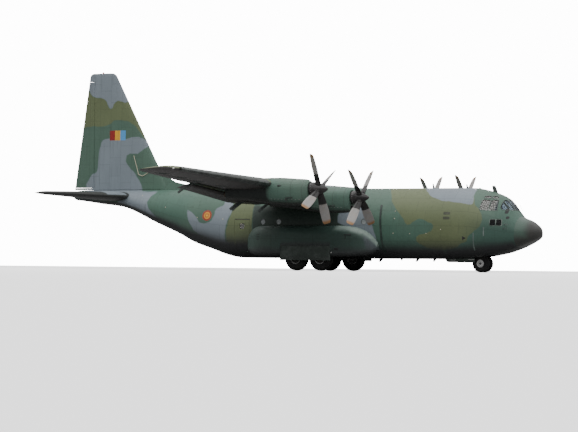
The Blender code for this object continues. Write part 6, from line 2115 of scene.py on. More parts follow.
@dataclass
class Sponsons:
    """The blisters along the hull's sides that house the main wheels, with their doors."""

    rows: tuple = ((-8.88, 2.24, 1.20, 1.58), (-9.12, 2.46, 1.02, 1.90), (-9.62, 2.68, 0.90, 2.26),
                   (-10.40, 2.81, 0.83, 2.48), (-11.30, 2.85, 0.81, 2.54), (-14.70, 2.85, 0.81, 2.53),
                   (-15.70, 2.83, 0.82, 2.53), (-16.20, 2.74, 0.86, 2.50), (-16.60, 2.55, 0.95, 2.38),
                   (-16.90, 2.28, 1.10, 2.15))
    door: tuple[float, float, float, float] = (-14.57, -11.47, 0.58, 1.43)

    def __post_init__(self) -> None:
        """Work out the slopes once."""
        self.xs = [r[0] for r in self.rows]
        self.slopes = [smooth_slopes(self.xs, [r[k] for r in self.rows]) for k in (1, 2, 3)]

    def row(self, x: float) -> list[float]:
        """Outer edge, bottom and top at a station."""
        k = max(n for n in range(len(self.xs) - 1) if self.xs[n] >= x - 1e-9)
        step = self.xs[k + 1] - self.xs[k]
        t = (x - self.xs[k]) / step
        return [(2 * t ** 3 - 3 * t ** 2 + 1) * self.rows[k][c + 1] + (t ** 3 - 2 * t ** 2 + t) * m[k] * step
                + (3 * t ** 2 - 2 * t ** 3) * self.rows[k + 1][c + 1] + (t ** 3 - t ** 2) * m[k + 1] * step
                for c, m in enumerate(self.slopes)]

    def ring(self, x: float) -> Ring:
        """The port outline at a station, its two outer corners rounded."""
        outer, bottom, top = self.row(x)
        low, high = min(0.22, 0.4 * (top - bottom)), min(0.55, 0.45 * (top - bottom))
        ring = [Vector((x, 1.2, bottom)), Vector((x, 1.9, bottom))]
        for k in range(9):
            a = math.radians(-90 + 11.25 * k)
            ring.append(Vector((x, outer - low + low * math.cos(a), bottom + low + low * math.sin(a))))
        for k in range(11):
            a = math.radians(9 * k)
            ring.append(Vector((x, outer - high + high * math.cos(a), top - high + high * math.sin(a))))
        return ring + [Vector((x, 1.7, top)), Vector((x, 1.2, top))]

    def shoulder_highlight(self, points: np.ndarray) -> np.ndarray:
        """How far inside the pale strip along the shoulder a point lies: the strip is a painted highlight of sky light
        on the upper curve.
        """
        top = np.array([self.row(min(max(x, self.xs[-1]), self.xs[0]))[2] for x in points[:, 0]])
        strip = np.minimum(0.24 - (top - points[:, 2]), points[:, 0] + 11.30)
        return np.minimum(strip, 0.45 * (points[:, 0] + 11.30) + 0.02)

    def build(self) -> None:
        """Make both blisters with their doors and the doors' stiffening ribs.
        """
        low_x, high_x, low_z, high_z = self.door
        xs = [self.xs[0] + (self.xs[-1] - self.xs[0]) * (1 - math.cos(math.pi * k / 56)) / 2 for k in range(57)]
        for word, side in SIDES:
            way = facing(side)
            made = way(Shape().loft([self.ring(x) for x in xs])).object(f"sponson_skin_{word}")
            keep = Shape().loft(HULL.rings(-8.0, -17.8, -SEAT_GAP))
            bays = [Shape().block((-14.62, 1.905, 0.1), (-11.42, 2.735, 1.42), 0.02),
                    Shape().block((-14.62, 2.17, 1.0), (-11.42, 2.735, 1.80), 0.02),
                    Shape().block((low_x - SEAT_GAP, 2.60, 0.3), (high_x + SEAT_GAP, 3.0, high_z + SEAT_GAP), 0.001)]
            carve(made, [keep])
            carve(made, [way(bay) for bay in bays])
            lay_camouflage(made, Cover.PLAIN)
            places = mesh_points(made.data)
            # The pale shoulder strip, laid in the olive slot, is a painted highlight
            store(made.data, Tone.OLIVE.value, self.shoulder_highlight(places))
            store(made.data, Tone.GREY.value, np.minimum(places[:, 0] + 9.62 - 0.25 * (2.2 - places[:, 2]),
                                                         -self.shoulder_highlight(places)))
            store_skin(made, lambda p: np.stack([p[:, 0], p[:, 2] + 10.0], axis=1))
            settle(made, "root", Paints.sponson, [f"sponson_{word}"])
            door = Shape().block((low_x, 2.795, low_z), (high_x, 2.845, high_z), 0.010)
            for z, tall in ((0.845, 0.012), (1.395, 0.010)):
                door.block((low_x + 0.02, 2.840, z - tall), (high_x - 0.02, 2.8545, z + tall), 0.004)
            for x in (low_x + 0.03, -13.02, high_x - 0.03):
                door.block((x - 0.016, 2.840, low_z + 0.01), (x + 0.016, 2.8525, high_z - 0.01), 0.004)
            settle(way(door).object(f"gear_door_skin_{word}"), "root", Paints.door_green,
                   [f"main_gear_door_{word}"])
            rib = Shape().block((-0.014, -0.004, -0.115), (0.014, 0.010, 0.115), 0.004)
            places = [((low_x + 0.09 + 0.0812 * k, 2.845 * side, 0.708), (0, 0, 0 if side > 0 else math.pi))
                      for k in range(37)]
            repeat(f"gear_door_ribs_{word}", rib, places, "root",
                   Paints.rib_green, 0.02, 5)
            lamp = Shape().turned([(0.0, 0.004), (0.012, 0.030), (0.030, 0.036), (0.046, 0.030), (0.052, 0.008)],
                                  (high_x + 0.07, 2.812, 1.02), "Y", 18)
            settle(way(lamp).object(f"gear_bay_lamp_{word}"), "root", Paints.lamp)
            vents = Shape()
            for x, z, long, tall in ((-10.52, 2.02, 0.30, 0.030), (-10.56, 1.90, 0.035, 0.13),
                                     (-11.10, 1.22, 0.14, 0.085), (-15.85, 2.02, 0.24, 0.014), (-15.85, 1.89, 0.24, 0.014),
                                     (-15.85, 1.76, 0.24, 0.014)):
                outer = self.row(x)[0]
                vents.block((x - long, outer - 0.12, z - tall), (x + long, outer + (0.004 if x > -12 else -0.010),
                                                                z + tall), 0.02)
            settle(way(vents).object(f"sponson_vents_{word}"), "root", Paints.seal)


def tyre(profile: Sequence[tuple[float, float]], centre: Sequence[float], steps: int, name: str) -> bpy.types.Object:
    """A tyre turned about its axle, with each point's place across the tread and its radius kept for the rubber."""
    made = Shape().turned(profile, centre, "Y", steps, True).object(name)
    mark_tread(made, centre)
    return made


def mark_tread(made: bpy.types.Object, centre: Sequence[float]) -> None:
    """Keep the place across the nearest tyre and the radius on each point."""
    points = mesh_points(made.data)
    store(made.data, "across", np.abs(points[:, 1]) - abs(centre[1]))
    store(made.data, "radius", np.hypot(points[:, 0] - centre[0], points[:, 2] - centre[2]))


@dataclass
class MainGear:
    """Four single wheels, each on its own upright leg inside the blisters."""

    places: tuple = (("front", -12.31), ("rear", -13.83))
    y: float = 2.175
    radius: float = 0.70
    half: float = 0.25

    def build(self) -> None:
        """Make every wheel and leg.
        """
        for place, x in self.places:
            for word, side in SIDES:
                self.build_wheel(f"{word}_{place}", x, side)
                self.build_leg(f"{word}_{place}", x, side)

    def build_wheel(self, name: str, x: float, side: int) -> None:
        """Make one tyre, its rim, its disc and the disc's bolts."""
        body, centre = f"main_wheel_{name}", (x, self.y * side, self.radius)
        profile = [(-0.215, 0.31), (-0.25, 0.40), (-0.245, 0.52), (-0.20, 0.64), (-0.11, 0.692), (0.0, 0.70),
                   (0.11, 0.692), (0.20, 0.64), (0.245, 0.52), (0.25, 0.40), (0.215, 0.31), (0.0, 0.29)]
        settle(tyre(profile, centre, 40, f"main_tyre_{name}"), body, Paints.rubber, [body], 50.0)
        rim = Shape().turned([(-0.222, 0.285), (-0.226, 0.312), (-0.210, 0.324), (-0.17, 0.316), (0.17, 0.316),
                              (0.210, 0.324), (0.226, 0.312), (0.222, 0.285), (0.19, 0.262), (-0.19, 0.262)],
                             centre, "Y", 56, True)
        settle(rim.object(f"main_rim_{name}"), body, Paints.hub_ring)
        disc = Shape().turned([(side * d, r) for d, r in (
            (-0.150, 0.050), (-0.150, 0.090), (-0.120, 0.110), (-0.110, 0.262), (0.085, 0.264), (0.100, 0.236),
            (0.108, 0.205), (0.150, 0.185), (0.158, 0.165), (0.158, 0.130), (0.178, 0.118), (0.1795, 0.095),
            (0.1795, 0.05))], centre, "Y", 48)
        settle(disc.object(f"main_disc_{name}"), body, Paints.hub_grey)
        bolt = Shape().rod((0, 0, -0.006), (0, 0, 0.018), 0.012, 6)
        turn = -math.pi / 2 * side
        spots = []
        for count, reach, out in ((10, 0.147, 0.158), (16, 0.296, 0.222)):
            for k in range(count):
                a = 2 * math.pi * (k + 0.5) / count
                spots.append(((x + reach * math.cos(a), centre[1] + side * out, self.radius + reach * math.sin(a)),
                              (turn, 0, 0)))
        repeat(f"main_bolts_{name}", bolt, spots, body, Paints.chrome, 0.05, 21)

    def build_leg(self, name: str, x: float, side: int) -> None:
        """Make one leg: cylinder, collar, bright piston, axle, brake, hose and scissors link."""
        y = self.y * side + side * (self.half + 0.125)
        strut = Shape().rod((x, y, 1.10), (x, y, 1.80 - SEAT_GAP), 0.085, 32)
        strut.rod((x, y, 1.02), (x, y, 1.30), 0.112, 32).rod((x, y, 1.285), (x, y, 1.325), 0.098, 32)
        strut.rod((x, y, 0.62), (x, y, 0.80), 0.082, 28).rod((x, y, 0.80), (x, y, 0.83), 0.070, 28)
        end = self.y * side + side * (self.half - 0.07 + SEAT_GAP)
        strut.rod((x, y, self.radius), (x, end, self.radius), 0.066, 28)
        strut.block((x - 0.115, y - 0.05, 1.50), (x + 0.115, y + 0.05, 1.62), 0.014)
        for way in (1, -1):
            strut.block((x + way * 0.075, y - 0.030, 1.04), (x + way * 0.155, y + 0.030, 1.10), 0.010)
        settle(strut.object(f"main_strut_{name}"), "root", Paints.leg, [f"main_leg_{name}"])
        piston = Shape().rod((x, y, 0.81), (x, y, 1.06), 0.058, 28)
        settle(piston.object(f"main_piston_{name}"), "root", Paints.chrome)
        links = Shape()
        for z0, z1, out in ((1.06, 0.94, 0.20), (0.78, 0.94, 0.20)):
            outline = [(x + 0.10, z0 + 0.022), (x + out, z1 + 0.018), (x + out, z1 - 0.018), (x + 0.10, z0 - 0.022)]
            links.add(thin_prism(outline if z0 > z1 else outline[::-1], y - 0.024, y + 0.024, "Y", 0.008))
        brake = [(side * d, r) for d, r in ((0.232, 0.076), (0.232, 0.172), (0.240, 0.180), (0.268, 0.180),
                                            (0.276, 0.172), (0.276, 0.076))]
        links.turned(brake, (x, self.y * side, self.radius), "Y", 36)
        settle(links.object(f"main_links_{name}"), "root", Paints.brake)
        hose = Shape()
        path = [Vector((x - 0.095, y, 1.45 - 0.05 * k)) + Vector((-0.05 * math.sin(math.pi * k / 13), 0, 0))
                for k in range(14)]
        rings = [[p + Vector((0.012 * math.cos(a), 0.012 * math.sin(a), 0)) for a in around(10)] for p in path]
        settle(hose.loft(rings).object(f"main_hose_{name}"), "root", Paints.seal)


@dataclass
class NoseGear:
    """The steered twin nose wheels with their leg, fork and open doors."""

    steer_x: float = -3.40
    axle_x: float = -3.47
    radius: float = 0.495
    tyre_y: float = 0.27

    def build_leg(self) -> None:
        """Make the fixed leg with its drag link, lamps and steering jacks."""
        x = self.steer_x
        top = 2.28 - SEAT_GAP
        leg = Shape().rod((x, 0, 1.02), (x, 0, top), 0.112, 36).rod((x, 0, 1.02), (x, 0, 1.10), 0.124, 36)
        leg.rod((x, 0, 1.30), (x, 0, 1.36), 0.128, 36)
        leg.rod((x, 0, 1.16), (x + 0.62, 0, 1.62), 0.046, 20)
        for side in (1, -1):
            leg.rod((x + 0.05, side * 0.10, 1.20), (x + 0.58, side * 0.055, 1.58), 0.020, 14)
        leg.block((x + 0.54, -0.09, 1.55), (x + 0.66, 0.09, 1.67), 0.02)
        settle(leg.object("nose_strut"), "root", Paints.leg, ["nose_leg"])
        jacks = Shape()
        for side in (1, -1):
            jacks.rod((x - 0.16, side * 0.165, 1.12), (x + 0.17, side * 0.165, 1.12), 0.042, 22)
            jacks.rod((x + 0.17, side * 0.165, 1.12), (x + 0.24, side * 0.165, 1.12), 0.018, 14)
            jacks.block((x - 0.05, side * 0.14 - 0.05, 1.085), (x + 0.05, side * 0.14 + 0.05, 1.155), 0.012)
        settle(jacks.object("nose_steering_jacks"), "root", Paints.door_green)
        lamps = Shape()
        for side in (1, -1):
            lamps.turned([(0.055, 0.006), (0.050, 0.050), (0.040, 0.062), (0.0, 0.056), (-0.030, 0.030),
                          (-0.036, 0.006)],
                         (x + 0.15, side * 0.13, 1.30), "X", 24)
        settle(lamps.object("nose_taxi_lamps"), "root", Paints.lamp)

    def build_fork(self) -> None:
        """Make the turning piston, the neck that leans back to the axle, and the scissors."""
        x, end = self.steer_x, self.radius + 0.055 + SEAT_GAP
        piston = Shape().rod((x, 0, 0.80), (x, 0, 1.02 - SEAT_GAP), 0.084, 32)
        settle(piston.object("nose_piston"), "nose_fork", Paints.chrome, ["nose_fork"])
        fork = Shape().rod((x, 0, 0.76), (x, 0, 0.86), 0.094, 30)
        fork.rod((x, 0, 0.84), (self.axle_x, 0, end + 0.02), 0.068, 24)
        fork.block((self.axle_x - 0.062, -0.062, end), (self.axle_x + 0.062, 0.062, end + 0.10), 0.014)
        for z0, z1 in ((0.93, 0.84), (0.72, 0.84)):
            outline = [(x + 0.070, z0 + 0.020), (x + 0.195, z1 + 0.016), (x + 0.195, z1 - 0.016),
                       (x + 0.070, z0 - 0.020)]
            fork.add(thin_prism(outline if z0 > z1 else outline[::-1], -0.030, 0.030, "Y", 0.008))
        settle(fork.object("nose_neck"), "nose_fork", Paints.leg)

    def build_wheels(self) -> None:
        """Make both tyres, their pale hubs with a dark centre, and the axle between them."""
        centre = (self.axle_x, 0.0, self.radius)
        tyres = Shape()
        for side in (1, -1):
            profile = [(-0.128, 0.215), (-0.150, 0.32), (-0.128, 0.430), (-0.078, 0.482), (0.0, 0.495), (0.078, 0.482),
                       (0.128, 0.430), (0.150, 0.32), (0.128, 0.215), (0.0, 0.205)]
            tyres.turned(profile, (self.axle_x, side * self.tyre_y, self.radius), "Y", 44, True)
        made = tyres.object("nose_tyres")
        mark_tread(made, (self.axle_x, self.tyre_y, self.radius))
        settle(made, "nose_wheels", Paints.rubber, ["nose_wheels"], 50.0)
        hubs, caps = Shape(), Shape()
        for side in (1, -1):
            hubs.turned([(side * d, r) for d, r in (
                (-0.115, 0.060), (-0.115, 0.205), (-0.125, 0.222), (-0.105, 0.228), (-0.07, 0.215), (0.07, 0.215),
                (0.105, 0.228), (0.128, 0.222), (0.120, 0.205), (0.104, 0.190), (0.098, 0.150), (0.112, 0.100),
                (0.114, 0.060))], (self.axle_x, side * self.tyre_y, self.radius), "Y", 56)
            caps.turned([(side * d, r) for d, r in ((0.100, 0.066), (0.124, 0.062), (0.136, 0.046), (0.138, 0.010))],
                        (self.axle_x, side * self.tyre_y, self.radius), "Y", 28)
        caps.rod((self.axle_x, -0.165, self.radius), (self.axle_x, 0.165, self.radius), 0.0545, 28)
        settle(hubs.object("nose_hubs"), "nose_wheels", Paints.hub_light)
        settle(caps.object("nose_hub_caps"), "nose_wheels", Paints.hub_grey)
        bolt = Shape().rod((0, 0, -0.004), (0, 0, 0.012), 0.011, 6)
        spots = []
        for side in (1, -1):
            for k in range(9):
                a = 2 * math.pi * k / 9
                spots.append(((centre[0] + 0.128 * math.cos(a), side * (self.tyre_y + 0.104),
                               centre[2] + 0.128 * math.sin(a)), (-math.pi / 2 * side, 0, 0)))
        repeat("nose_hub_bolts", bolt, spots, "nose_wheels", Paints.brake, 0.05, 31)

    def build_doors(self) -> None:
        """Make the two open doors beside the bay with their pale actuating rods."""
        outline = [(-5.41, 0.66), (-5.28, 0.545), (-3.72, 0.545), (-3.68, 0.585), (-3.68, 0.80), (-5.41, 0.80)]
        for word, side in SIDES:
            low, high = sorted((0.67 * side, (0.70 - SEAT_GAP) * side))
            door = thin_prism(outline, low, high, "Y", 0.03)
            low, high = sorted((0.645 * side, 0.675 * side))
            for x in (-5.1, -4.55, -4.0):
                door.block((x - 0.02, low, 0.57), (x + 0.02, high, 0.79), 0.006)
            settle(door.object(f"nose_door_skin_{word}"), "root", Paints.door_green,
                   [f"nose_gear_door_{word}"])
            rods = Shape().rod((-4.06, 0.715 * side, 0.715), (-3.70, 0.715 * side, 0.715), 0.018, 12)
            rods.rod((-5.16, 0.708 * side, 0.675), (-4.78, 0.708 * side, 0.675), 0.012, 12)
            settle(rods.object(f"nose_door_rods_{word}"), "root", Paints.hub_light)


# Flight deck and small fittings

class Cabin:
    """The two seats, the instrument panel with its dials and yokes, and the floors that stay as they are."""

    def build_seats(self) -> None:
        """Make both seats: pans and frames, cushions, belts."""
        for word, side in SIDES:
            y = 0.78 * side
            frame_work = Shape().block((-2.92, y - 0.12, 2.3606), (-2.68, y + 0.12, 2.82), 0.02)
            frame_work.block((-3.06, y - 0.25, 2.80), (-2.55, y + 0.25, 2.845), 0.012)
            frame_work.block((-3.185, y - 0.235, 2.82), (-3.125, y + 0.235, 3.60), 0.016)
            for way in (1, -1):
                arm = y + way * 0.272
                frame_work.block((-3.10, arm - 0.022, 3.06), (-2.74, arm + 0.022, 3.10), 0.010)
                frame_work.rod((-3.08, arm, 2.84), (-3.08, arm, 3.08), 0.014, 12)
            frame_work.rod((-3.155, y - 0.06, 3.58), (-3.155, y - 0.06, 3.66), 0.010, 10)
            frame_work.rod((-3.155, y + 0.06, 3.58), (-3.155, y + 0.06, 3.66), 0.010, 10)
            settle(frame_work.object(f"seat_frame_{word}"), "root", Paints.seat_metal,
                   [f"pilot_seat_{word}"])
            pads = Shape()
            for low, high in ((-0.235, -0.005), (0.005, 0.235)):
                pads.block((-3.045, y + low, 2.84), (-2.545, y + high, 2.925), 0.03)
            for z in (2.93, 3.10, 3.27, 3.44):
                pads.block((-3.13, y - 0.215, z), (-3.035, y + 0.215, z + 0.160), 0.035)
            pads.block((-3.185, y - 0.12, 3.63), (-3.085, y + 0.12, 3.80), 0.035)
            settle(pads.object(f"seat_pads_{word}"), "root", Paints.cloth)
            belts = Shape()
            for way in (1, -1):
                belts.block((-3.036, y + way * 0.09 - 0.022, 2.97), (-3.026, y + way * 0.09 + 0.022, 3.58), 0.002)
                belts.block((-3.02, y + way * 0.12 - 0.10, 2.926), (-2.975, y + way * 0.12 + 0.10, 2.934), 0.002)
            belts.block((-3.02, y - 0.035, 2.930), (-2.95, y + 0.035, 2.950), 0.008)
            settle(belts.object(f"seat_belts_{word}"), "root", Paints.seal)

    def build_panel(self) -> None:
        """Make the instrument panel with its coaming, dials, pedestal levers and both yokes."""
        outline = [(-1.72, 2.95), (-1.95, 2.90), (-1.95, 3.30), (-1.80, 3.36)]
        panel = thin_prism(outline, -1.05, 1.05, "Y", 0.02)
        panel.add(thin_prism([(-1.76, 3.34), (-1.99, 3.295), (-1.99, 3.325), (-1.76, 3.375)], -1.06, 1.06, "Y", 0.01))
        panel.block((-1.93, -0.22, 2.3606), (-1.75, 0.22, 2.99), 0.012)
        panel.block((-2.48, -0.20, 2.3606), (-1.93, 0.20, 2.86), 0.02)
        settle(panel.object("instrument_board"), "root", Paints.dial, ["instrument_panel"])
        rim = Shape().turned([(-0.006, 0.030), (-0.006, 0.044), (0.008, 0.047), (0.012, 0.044), (0.012, 0.036),
                              (0.003, 0.032)], (0, 0, 0), "X", 20, True)
        rim = rim.moved(Matrix.Rotation(math.pi, 4, "Z"))
        glass = Shape().turned([(0.0, 0.010), (0.0, 0.033), (-0.004, 0.033)], (0, 0, 0), "X", 20)
        glass = glass.moved(Matrix.Rotation(math.pi, 4, "Z"))
        spots = [((-1.951, 0.10 * (k - 9.5), 2.985 + 0.105 * row), (0, 0, 0)) for row in range(3) for k in range(20)]
        repeat("dial_rims", rim, spots, "root", Paints.leg, 0.10, 41)
        repeat("dial_faces", glass, spots, "root", Paints.lamp, 0.04, 42)
        controls = Shape()
        for side in (1, -1):
            y = 0.78 * side
            controls.rod((-2.20, y, 2.37), (-2.20, y, 3.00), 0.030, 16)
            controls.rod((-2.20, y, 3.00), (-2.34, y, 3.06), 0.022, 14)
            controls.block((-2.37, y - 0.15, 3.03), (-2.335, y + 0.15, 3.075), 0.012)
            for way in (1, -1):
                controls.rod((-2.352, y + way * 0.145, 3.04), (-2.375, y + way * 0.165, 3.20), 0.017, 12)
        for k in range(4):
            controls.rod((-2.16, -0.105 + 0.07 * k, 2.85), (-2.10, -0.105 + 0.07 * k, 2.99), 0.008, 10)
            controls.block((-2.125, -0.122 + 0.07 * k, 2.98), (-2.080, -0.088 + 0.07 * k, 3.015), 0.008)
        settle(controls.object("flight_controls"), "root", Paints.seat_metal)

    def dress_floors(self) -> None:
        """Give the floors that the frame keeps their worn metal, and set the hold's tie-down cups in rows.
        """
        for name in ("cargo_floor", "flight_deck"):
            for spot in bpy.data.objects[name].material_slots:
                spot.material = Paints.deck.build()
        cup = Shape().turned([(0.0, 0.052), (0.004, 0.056), (0.006, 0.050), (0.005, 0.034), (0.002, 0.030),
                              (0.002, 0.008)], (0, 0, 0), "X", 20).moved(Matrix.Rotation(-math.pi / 2, 4, "Y"))
        spots = [((-6.1 - 0.508 * k, y, 1.031), (0, 0, 0)) for k in range(22) for y in (-1.30, -0.65, 0.0, 0.65, 1.30)]
        repeat("tie_down_cups", cup, spots, "root", Paints.seal, 0.0, 51)


class Fittings:
    """Antennas, probes, lamps, guards, studs and static wicks on the outside."""

    def build_crown(self) -> None:
        """Make the blade antennas, the lamps and the wires along the top and the belly."""
        blades = Shape()
        for x, low, high, lean, chord, top in (
                (-2.72, 4.30, 4.80, -0.15, 0.31, 0.52), (-6.44, 4.66, 4.93, -0.05, 0.14, 0.36),
                (-4.42, 4.655, 4.88, -0.05, 0.13, 0.36), (-7.36, 0.72, 0.56, -0.10, 0.22, 0.36),
                (-6.33, 0.72, 0.58, -0.08, 0.20, 0.36), (-9.6, 0.71, 0.54, -0.10, 0.24, 0.36)):
            rings = []
            for z, shift, size in ((low, 0.0, 1.0), (low + (high - low) * 0.9, lean * 0.9, top + 0.2),
                                   (high, lean, top)):
                c = chord * size
                rings.append([Vector((x + shift + c * (0.5 - f), w * 0.026 * size, z)) for f, w in
                              ((0.0, 0.0), (0.12, 0.8), (0.35, 1.0), (0.75, 0.6), (1.0, 0.08), (0.75, -0.6),
                               (0.35, -1.0), (0.12, -0.8))])
            blades.loft(rings)
        settle(blades.object("blade_antennas"), "root", Paints.mast)
        lamps = Shape()
        for x, y, z, size in ((-3.69, 0.0, 4.64, 0.075), (-3.69, -0.60, 4.545, 0.055), (-3.69, 0.60, 4.545, 0.055)):
            lamps.add(Shape().turned([(-0.03, size), (0.012, size), (0.030, size * 0.8), (0.042, size * 0.3)],
                                     (0, 0, 0), "X", 20).moved(Matrix.Translation((x, y, z))
                                                               @ Matrix.Rotation(-math.pi / 2, 4, "Y")))
        lamps.turned([(0.02, 0.05), (-0.02, 0.045), (-0.045, 0.015)], (-29.785, 0, 4.31), "X", 18)
        settle(lamps.object("crown_lamps"), "root", Paints.lamp)
        red = Shape()
        for x, z, way in ((-27.90, 11.655, 1), (-8.35, 0.705, -1)):
            dome = Shape().turned([(-0.02, 0.055), (0.02, 0.058), (0.06, 0.046), (0.085, 0.012)], (0, 0, 0), "X", 20)
            red.add(dome.moved(Matrix.Translation((x, 0, z)) @ Matrix.Rotation(-way * math.pi / 2, 4, "Y")))
        settle(red.object("beacon_lamps"), "root", Paints.red_lamp)
        wires = Shape()
        for side in (1, -1):
            spots = [Vector((x, side * y, z)) for x, y, z in ((-25.59, 0.268, 6.71), (-25.22, 0.308, 5.57),
                                                              (-24.95, 0.306, 5.49), (-24.53, 0.262, 5.72))]
            for a, b in zip(spots, spots[1:]):
                wires.rod(a, b, 0.020, 8)
        settle(wires.object("fin_aerial_wires"), "root", Paints.cream)

    def build_sides(self) -> None:
        """Make the ice-guard straps, the studs, the small plates and strips, the probes and wipers."""
        strap = [(-8.66, 1.02), (-8.55, 1.02), (-8.73, 3.70), (-8.86, 3.70)]
        arrow = [(-3.87, 1.97), (-3.87, 1.77), (-3.66, 1.87)]
        plates = [[(-5.00, 3.15), (-4.62, 3.15), (-4.62, 3.30), (-5.00, 3.30)],
                  [(-5.00, 2.89), (-4.62, 2.89), (-4.62, 3.04), (-5.00, 3.04)]]
        streaks = [[(-2.71, 1.99), (-2.65, 1.99), (-2.65, 2.48), (-2.71, 2.48)],
                   [(-3.31, 1.20), (-3.25, 1.20), (-3.20, 2.15), (-3.26, 2.15)]]
        covers = [[(-1.73, 3.22), (-1.60, 3.22), (-1.60, 3.50), (-1.73, 3.50)],
                  [(-1.62, 2.93), (-1.48, 2.93), (-1.48, 3.07), (-1.62, 3.07)]]
        for word, side in SIDES:
            span = sorted((1.0 * side, 3.0 * side))
            for kind, outlines, limits, paint, outset in (
                    ("ice_guard", [strap], (-8.3, -9.2), Paints.strap, 0.016),
                    ("arrow_plate", [arrow], (-3.3, -4.4), Paints.seal, 0.005),
                    ("marking_plates", plates, (-4.3, -5.4), Paints.shade_olive, 0.005),
                    ("pale_strips", streaks, (-2.4, -3.6), Paints.band_pale, 0.010)):
                cutter = Shape()
                for outline in outlines:
                    cutter.add(thin_prism(outline, *span, "Y", 0.015))
                made = HULL.patch(f"{kind}_{word}", cutter, limits, outset, outset + 0.006)
                settle(made, "root", paint)
            small = Shape()
            for outline in covers:
                small.add(thin_prism(outline, *sorted((0.5 * side, 3.0 * side)), "Y", 0.05))
            made = HULL.patch(f"nose_covers_{word}", small, (-1.2, -1.8), 0.008, 0.014)
            settle(made, "root", Paints.seal)
        stud = Shape().turned([(-0.01, 0.026), (0.006, 0.026), (0.016, 0.014), (0.018, 0.004)], (0, 0, 0), "X", 12)
        stud = stud.moved(Matrix.Rotation(math.pi / 2, 4, "Z"))
        spots = []
        for side in (1, -1):
            for x, z in ((-7.89, 3.34), (-7.89, 2.93), (-7.95, 2.12), (-6.96, 2.10), (-5.98, 2.12), (-5.12, 2.34),
                         (-17.40, 2.62), (-18.6, 2.9), (-20.3, 3.0), (-22.6, 3.6), (-24.48, 4.30)):
                spots.append(((x, side * HULL.outer_y(x, z), z), (0, 0, 0 if side > 0 else math.pi)))
        repeat("side_studs", stud, spots, "root", Paints.cream, 0.15, 61)
        probes, wipers = Shape(), Shape()
        for side in (1, -1):
            for x, z in ((-1.62, 2.66), (-1.66, 2.44)):
                y = side * HULL.outer_y(x, z)
                probes.rod((x, y * 0.985, z), (x + 0.02, y + side * 0.10, z - 0.03), 0.020, 12)
                probes.rod((x + 0.01, y + side * 0.095, z - 0.03), (x + 0.30, y + side * 0.100, z - 0.045), 0.013, 12,
                           0.008)
            for low in (0.10, 0.62):
                a = Vector((-1.40, side * low, 3.405))
                b = Vector((-1.60, side * (low + 0.12), 3.74))
                wipers.rod(a, b, 0.009, 8)
        settle(probes.object("pitot_probes"), "root", Paints.mast)
        settle(wipers.object("wipers"), "root", Paints.seal)

    def build_wicks(self) -> None:
        """Set the static wicks along the ailerons, the elevators and the rudder."""
        wick = Shape().rod((0.03, 0, 0), (-0.22, 0, 0), 0.0055, 8, 0.003)
        for word, side in SIDES:
            spots = [((WING.point(y, 1.0, 0.0).x, side * y, WING.point(y, 1.0, 0.0).z), (0, 0, 0))
                     for y in (14.4, 15.3, 16.2, 17.1, 17.9, 18.6)]
            repeat(f"aileron_wicks_{word}", wick, spots, f"aileron_{word}",
                   Paints.seal, 0.06, 71)
            spots = [((TAIL.tail_chord(y)[1], side * y, TAIL.level), (0, 0, 0)) for y in (2.6, 3.9, 5.2, 6.4, 7.2)]
            repeat(f"elevator_wicks_{word}", wick, spots, f"elevator_{word}",
                   Paints.seal, 0.06, 72)
        spots = [((TAIL.fin_chord(z)[1], 0, z), (0, 0, 0)) for z in (8.4, 9.2, 10.0, 10.8)]
        repeat("rudder_wicks", wick, spots, "rudder", Paints.seal, 0.06, 73)

    def build_wing_tops(self) -> None:
        """Set the fuel fillers and inspection covers on the wings' upper skin and the landing lamps under it."""
        cover = Shape().turned([(-0.006, 0.085), (0.004, 0.085), (0.007, 0.078), (0.007, 0.010)], (0, 0, 0), "X", 20)
        cover = cover.moved(Matrix.Rotation(-math.pi / 2, 4, "Y"))
        spots = []
        for side in (1, -1):
            for y in (3.2, 4.0, 7.0, 7.8, 8.8, 11.8, 12.8, 14.2, 15.6, 17.0):
                p = WING.point(y, 0.30, WING.surface(y, 0.30)[0])
                spots.append(((p.x, side * y, p.z), (0, 0, 0)))
        repeat("wing_fillers", cover, spots, "root", Paints.band, 0.10, 81)
        lamps = Shape()
        for side in (1, -1):
            p = WING.point(7.6, 0.10, WING.surface(7.6, 0.10)[1])
            lamps.turned([(0.05, 0.02), (0.04, 0.10), (0.0, 0.115), (-0.05, 0.09), (-0.09, 0.02)],
                         (p.x, side * 7.6, p.z + 0.015), "X", 24)
        settle(lamps.object("landing_lamps"), "root", Paints.lamp)


# Stage and assembly

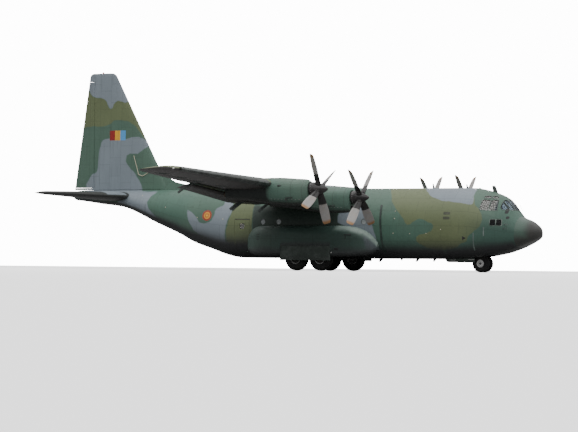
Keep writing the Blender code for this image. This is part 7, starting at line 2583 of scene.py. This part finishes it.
def build_stage() -> None:
    """Lay the plain pale floor under a soft overhead sky with one broad key light."""
    bpy.ops.mesh.primitive_grid_add(x_subdivisions=8, y_subdivisions=8, size=400.0, location=(0.0, 0.0, 0.0))
    floor = bpy.context.object
    floor.name = "studio_floor"
    floor.data.materials.append(Paints.stage.build())
    floor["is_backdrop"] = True
    world = bpy.data.worlds.new("soft_studio")
    bpy.context.scene.world = world
    world.use_nodes = True
    bench = Bench(world.node_tree)
    back = world.node_tree.nodes["Background"]
    back.inputs["Color"].default_value = (1.0, 1.0, 1.0, 1.0)
    rays = bench.node("ShaderNodeLightPath")
    through = bench.math("MULTIPLY", rays.outputs["Is Transmission Ray"], 0.22)
    seen = bench.math("MAXIMUM", rays.outputs["Is Camera Ray"], through)
    rise = bench.node("ShaderNodeSeparateXYZ", {0: bench.node("ShaderNodeTexCoord").outputs["Generated"]}).outputs[2]
    sky = bench.step(rise, -0.05, 0.95, (0.36, 1.42))
    bench.tree.links.new(bench.node("ShaderNodeMix", {0: seen, 2: sky, 3: 14.0}).outputs[0], back.inputs["Strength"])
    for name, place, aim, size, power in (
            ("key_softbox", (14.0, -30.0, 34.0), (0.0, 0.0, 2.0), 20.0, 3200.0),
            ("top_softbox", (-4.0, -4.0, 36.0), (0.0, 0.0, 2.0), 26.0, 2600.0)):
        data = bpy.data.lights.new(name, "AREA")
        data.shape, data.size, data.energy = "SQUARE", size, power
        lamp = bpy.data.objects.new(name, data)
        bpy.context.collection.objects.link(lamp)
        lamp.location = place
        lamp.rotation_euler = (Vector(place) - Vector(aim)).to_track_quat("Z", "Y").to_euler()


def report(step: Callable[[], None]) -> None:
    """Run one step."""
    step()


def main() -> None:
    """Build the aircraft's looks, sub-assembly by sub-assembly, and work out its box."""
    logging.basicConfig(level=logging.INFO, format="%(message)s")
    PHOTO_VIEW.build()
    make_effects()
    make_repeater()
    fuselage, wing, tail, nose_gear = Fuselage(), Wing(), Tail(), NoseGear()
    cabin, fittings = Cabin(), Fittings()
    engine_steps = [step for engine in ENGINES for step in (engine.build_cowl, engine.build_propeller)]
    for step in (fuselage.build_nose, fuselage.build_crew_door, fuselage.build_centre, fuselage.build_aft,
                 fuselage.build_ramp, wing.build, tail.build_fin, tail.build_tailplane, *engine_steps,
                 Sponsons().build, MainGear().build, nose_gear.build_leg, nose_gear.build_fork,
                 nose_gear.build_wheels, nose_gear.build_doors, cabin.build_seats, cabin.build_panel,
                 cabin.dress_floors, fittings.build_crown, fittings.build_sides, fittings.build_wicks,
                 fittings.build_wing_tops):
        report(step)
    build_stage()
    [[list(map(float, corner)) for corner in box] for box in (CAD_BOUNDS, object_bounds())]


if __name__ == "__main__":
    main()
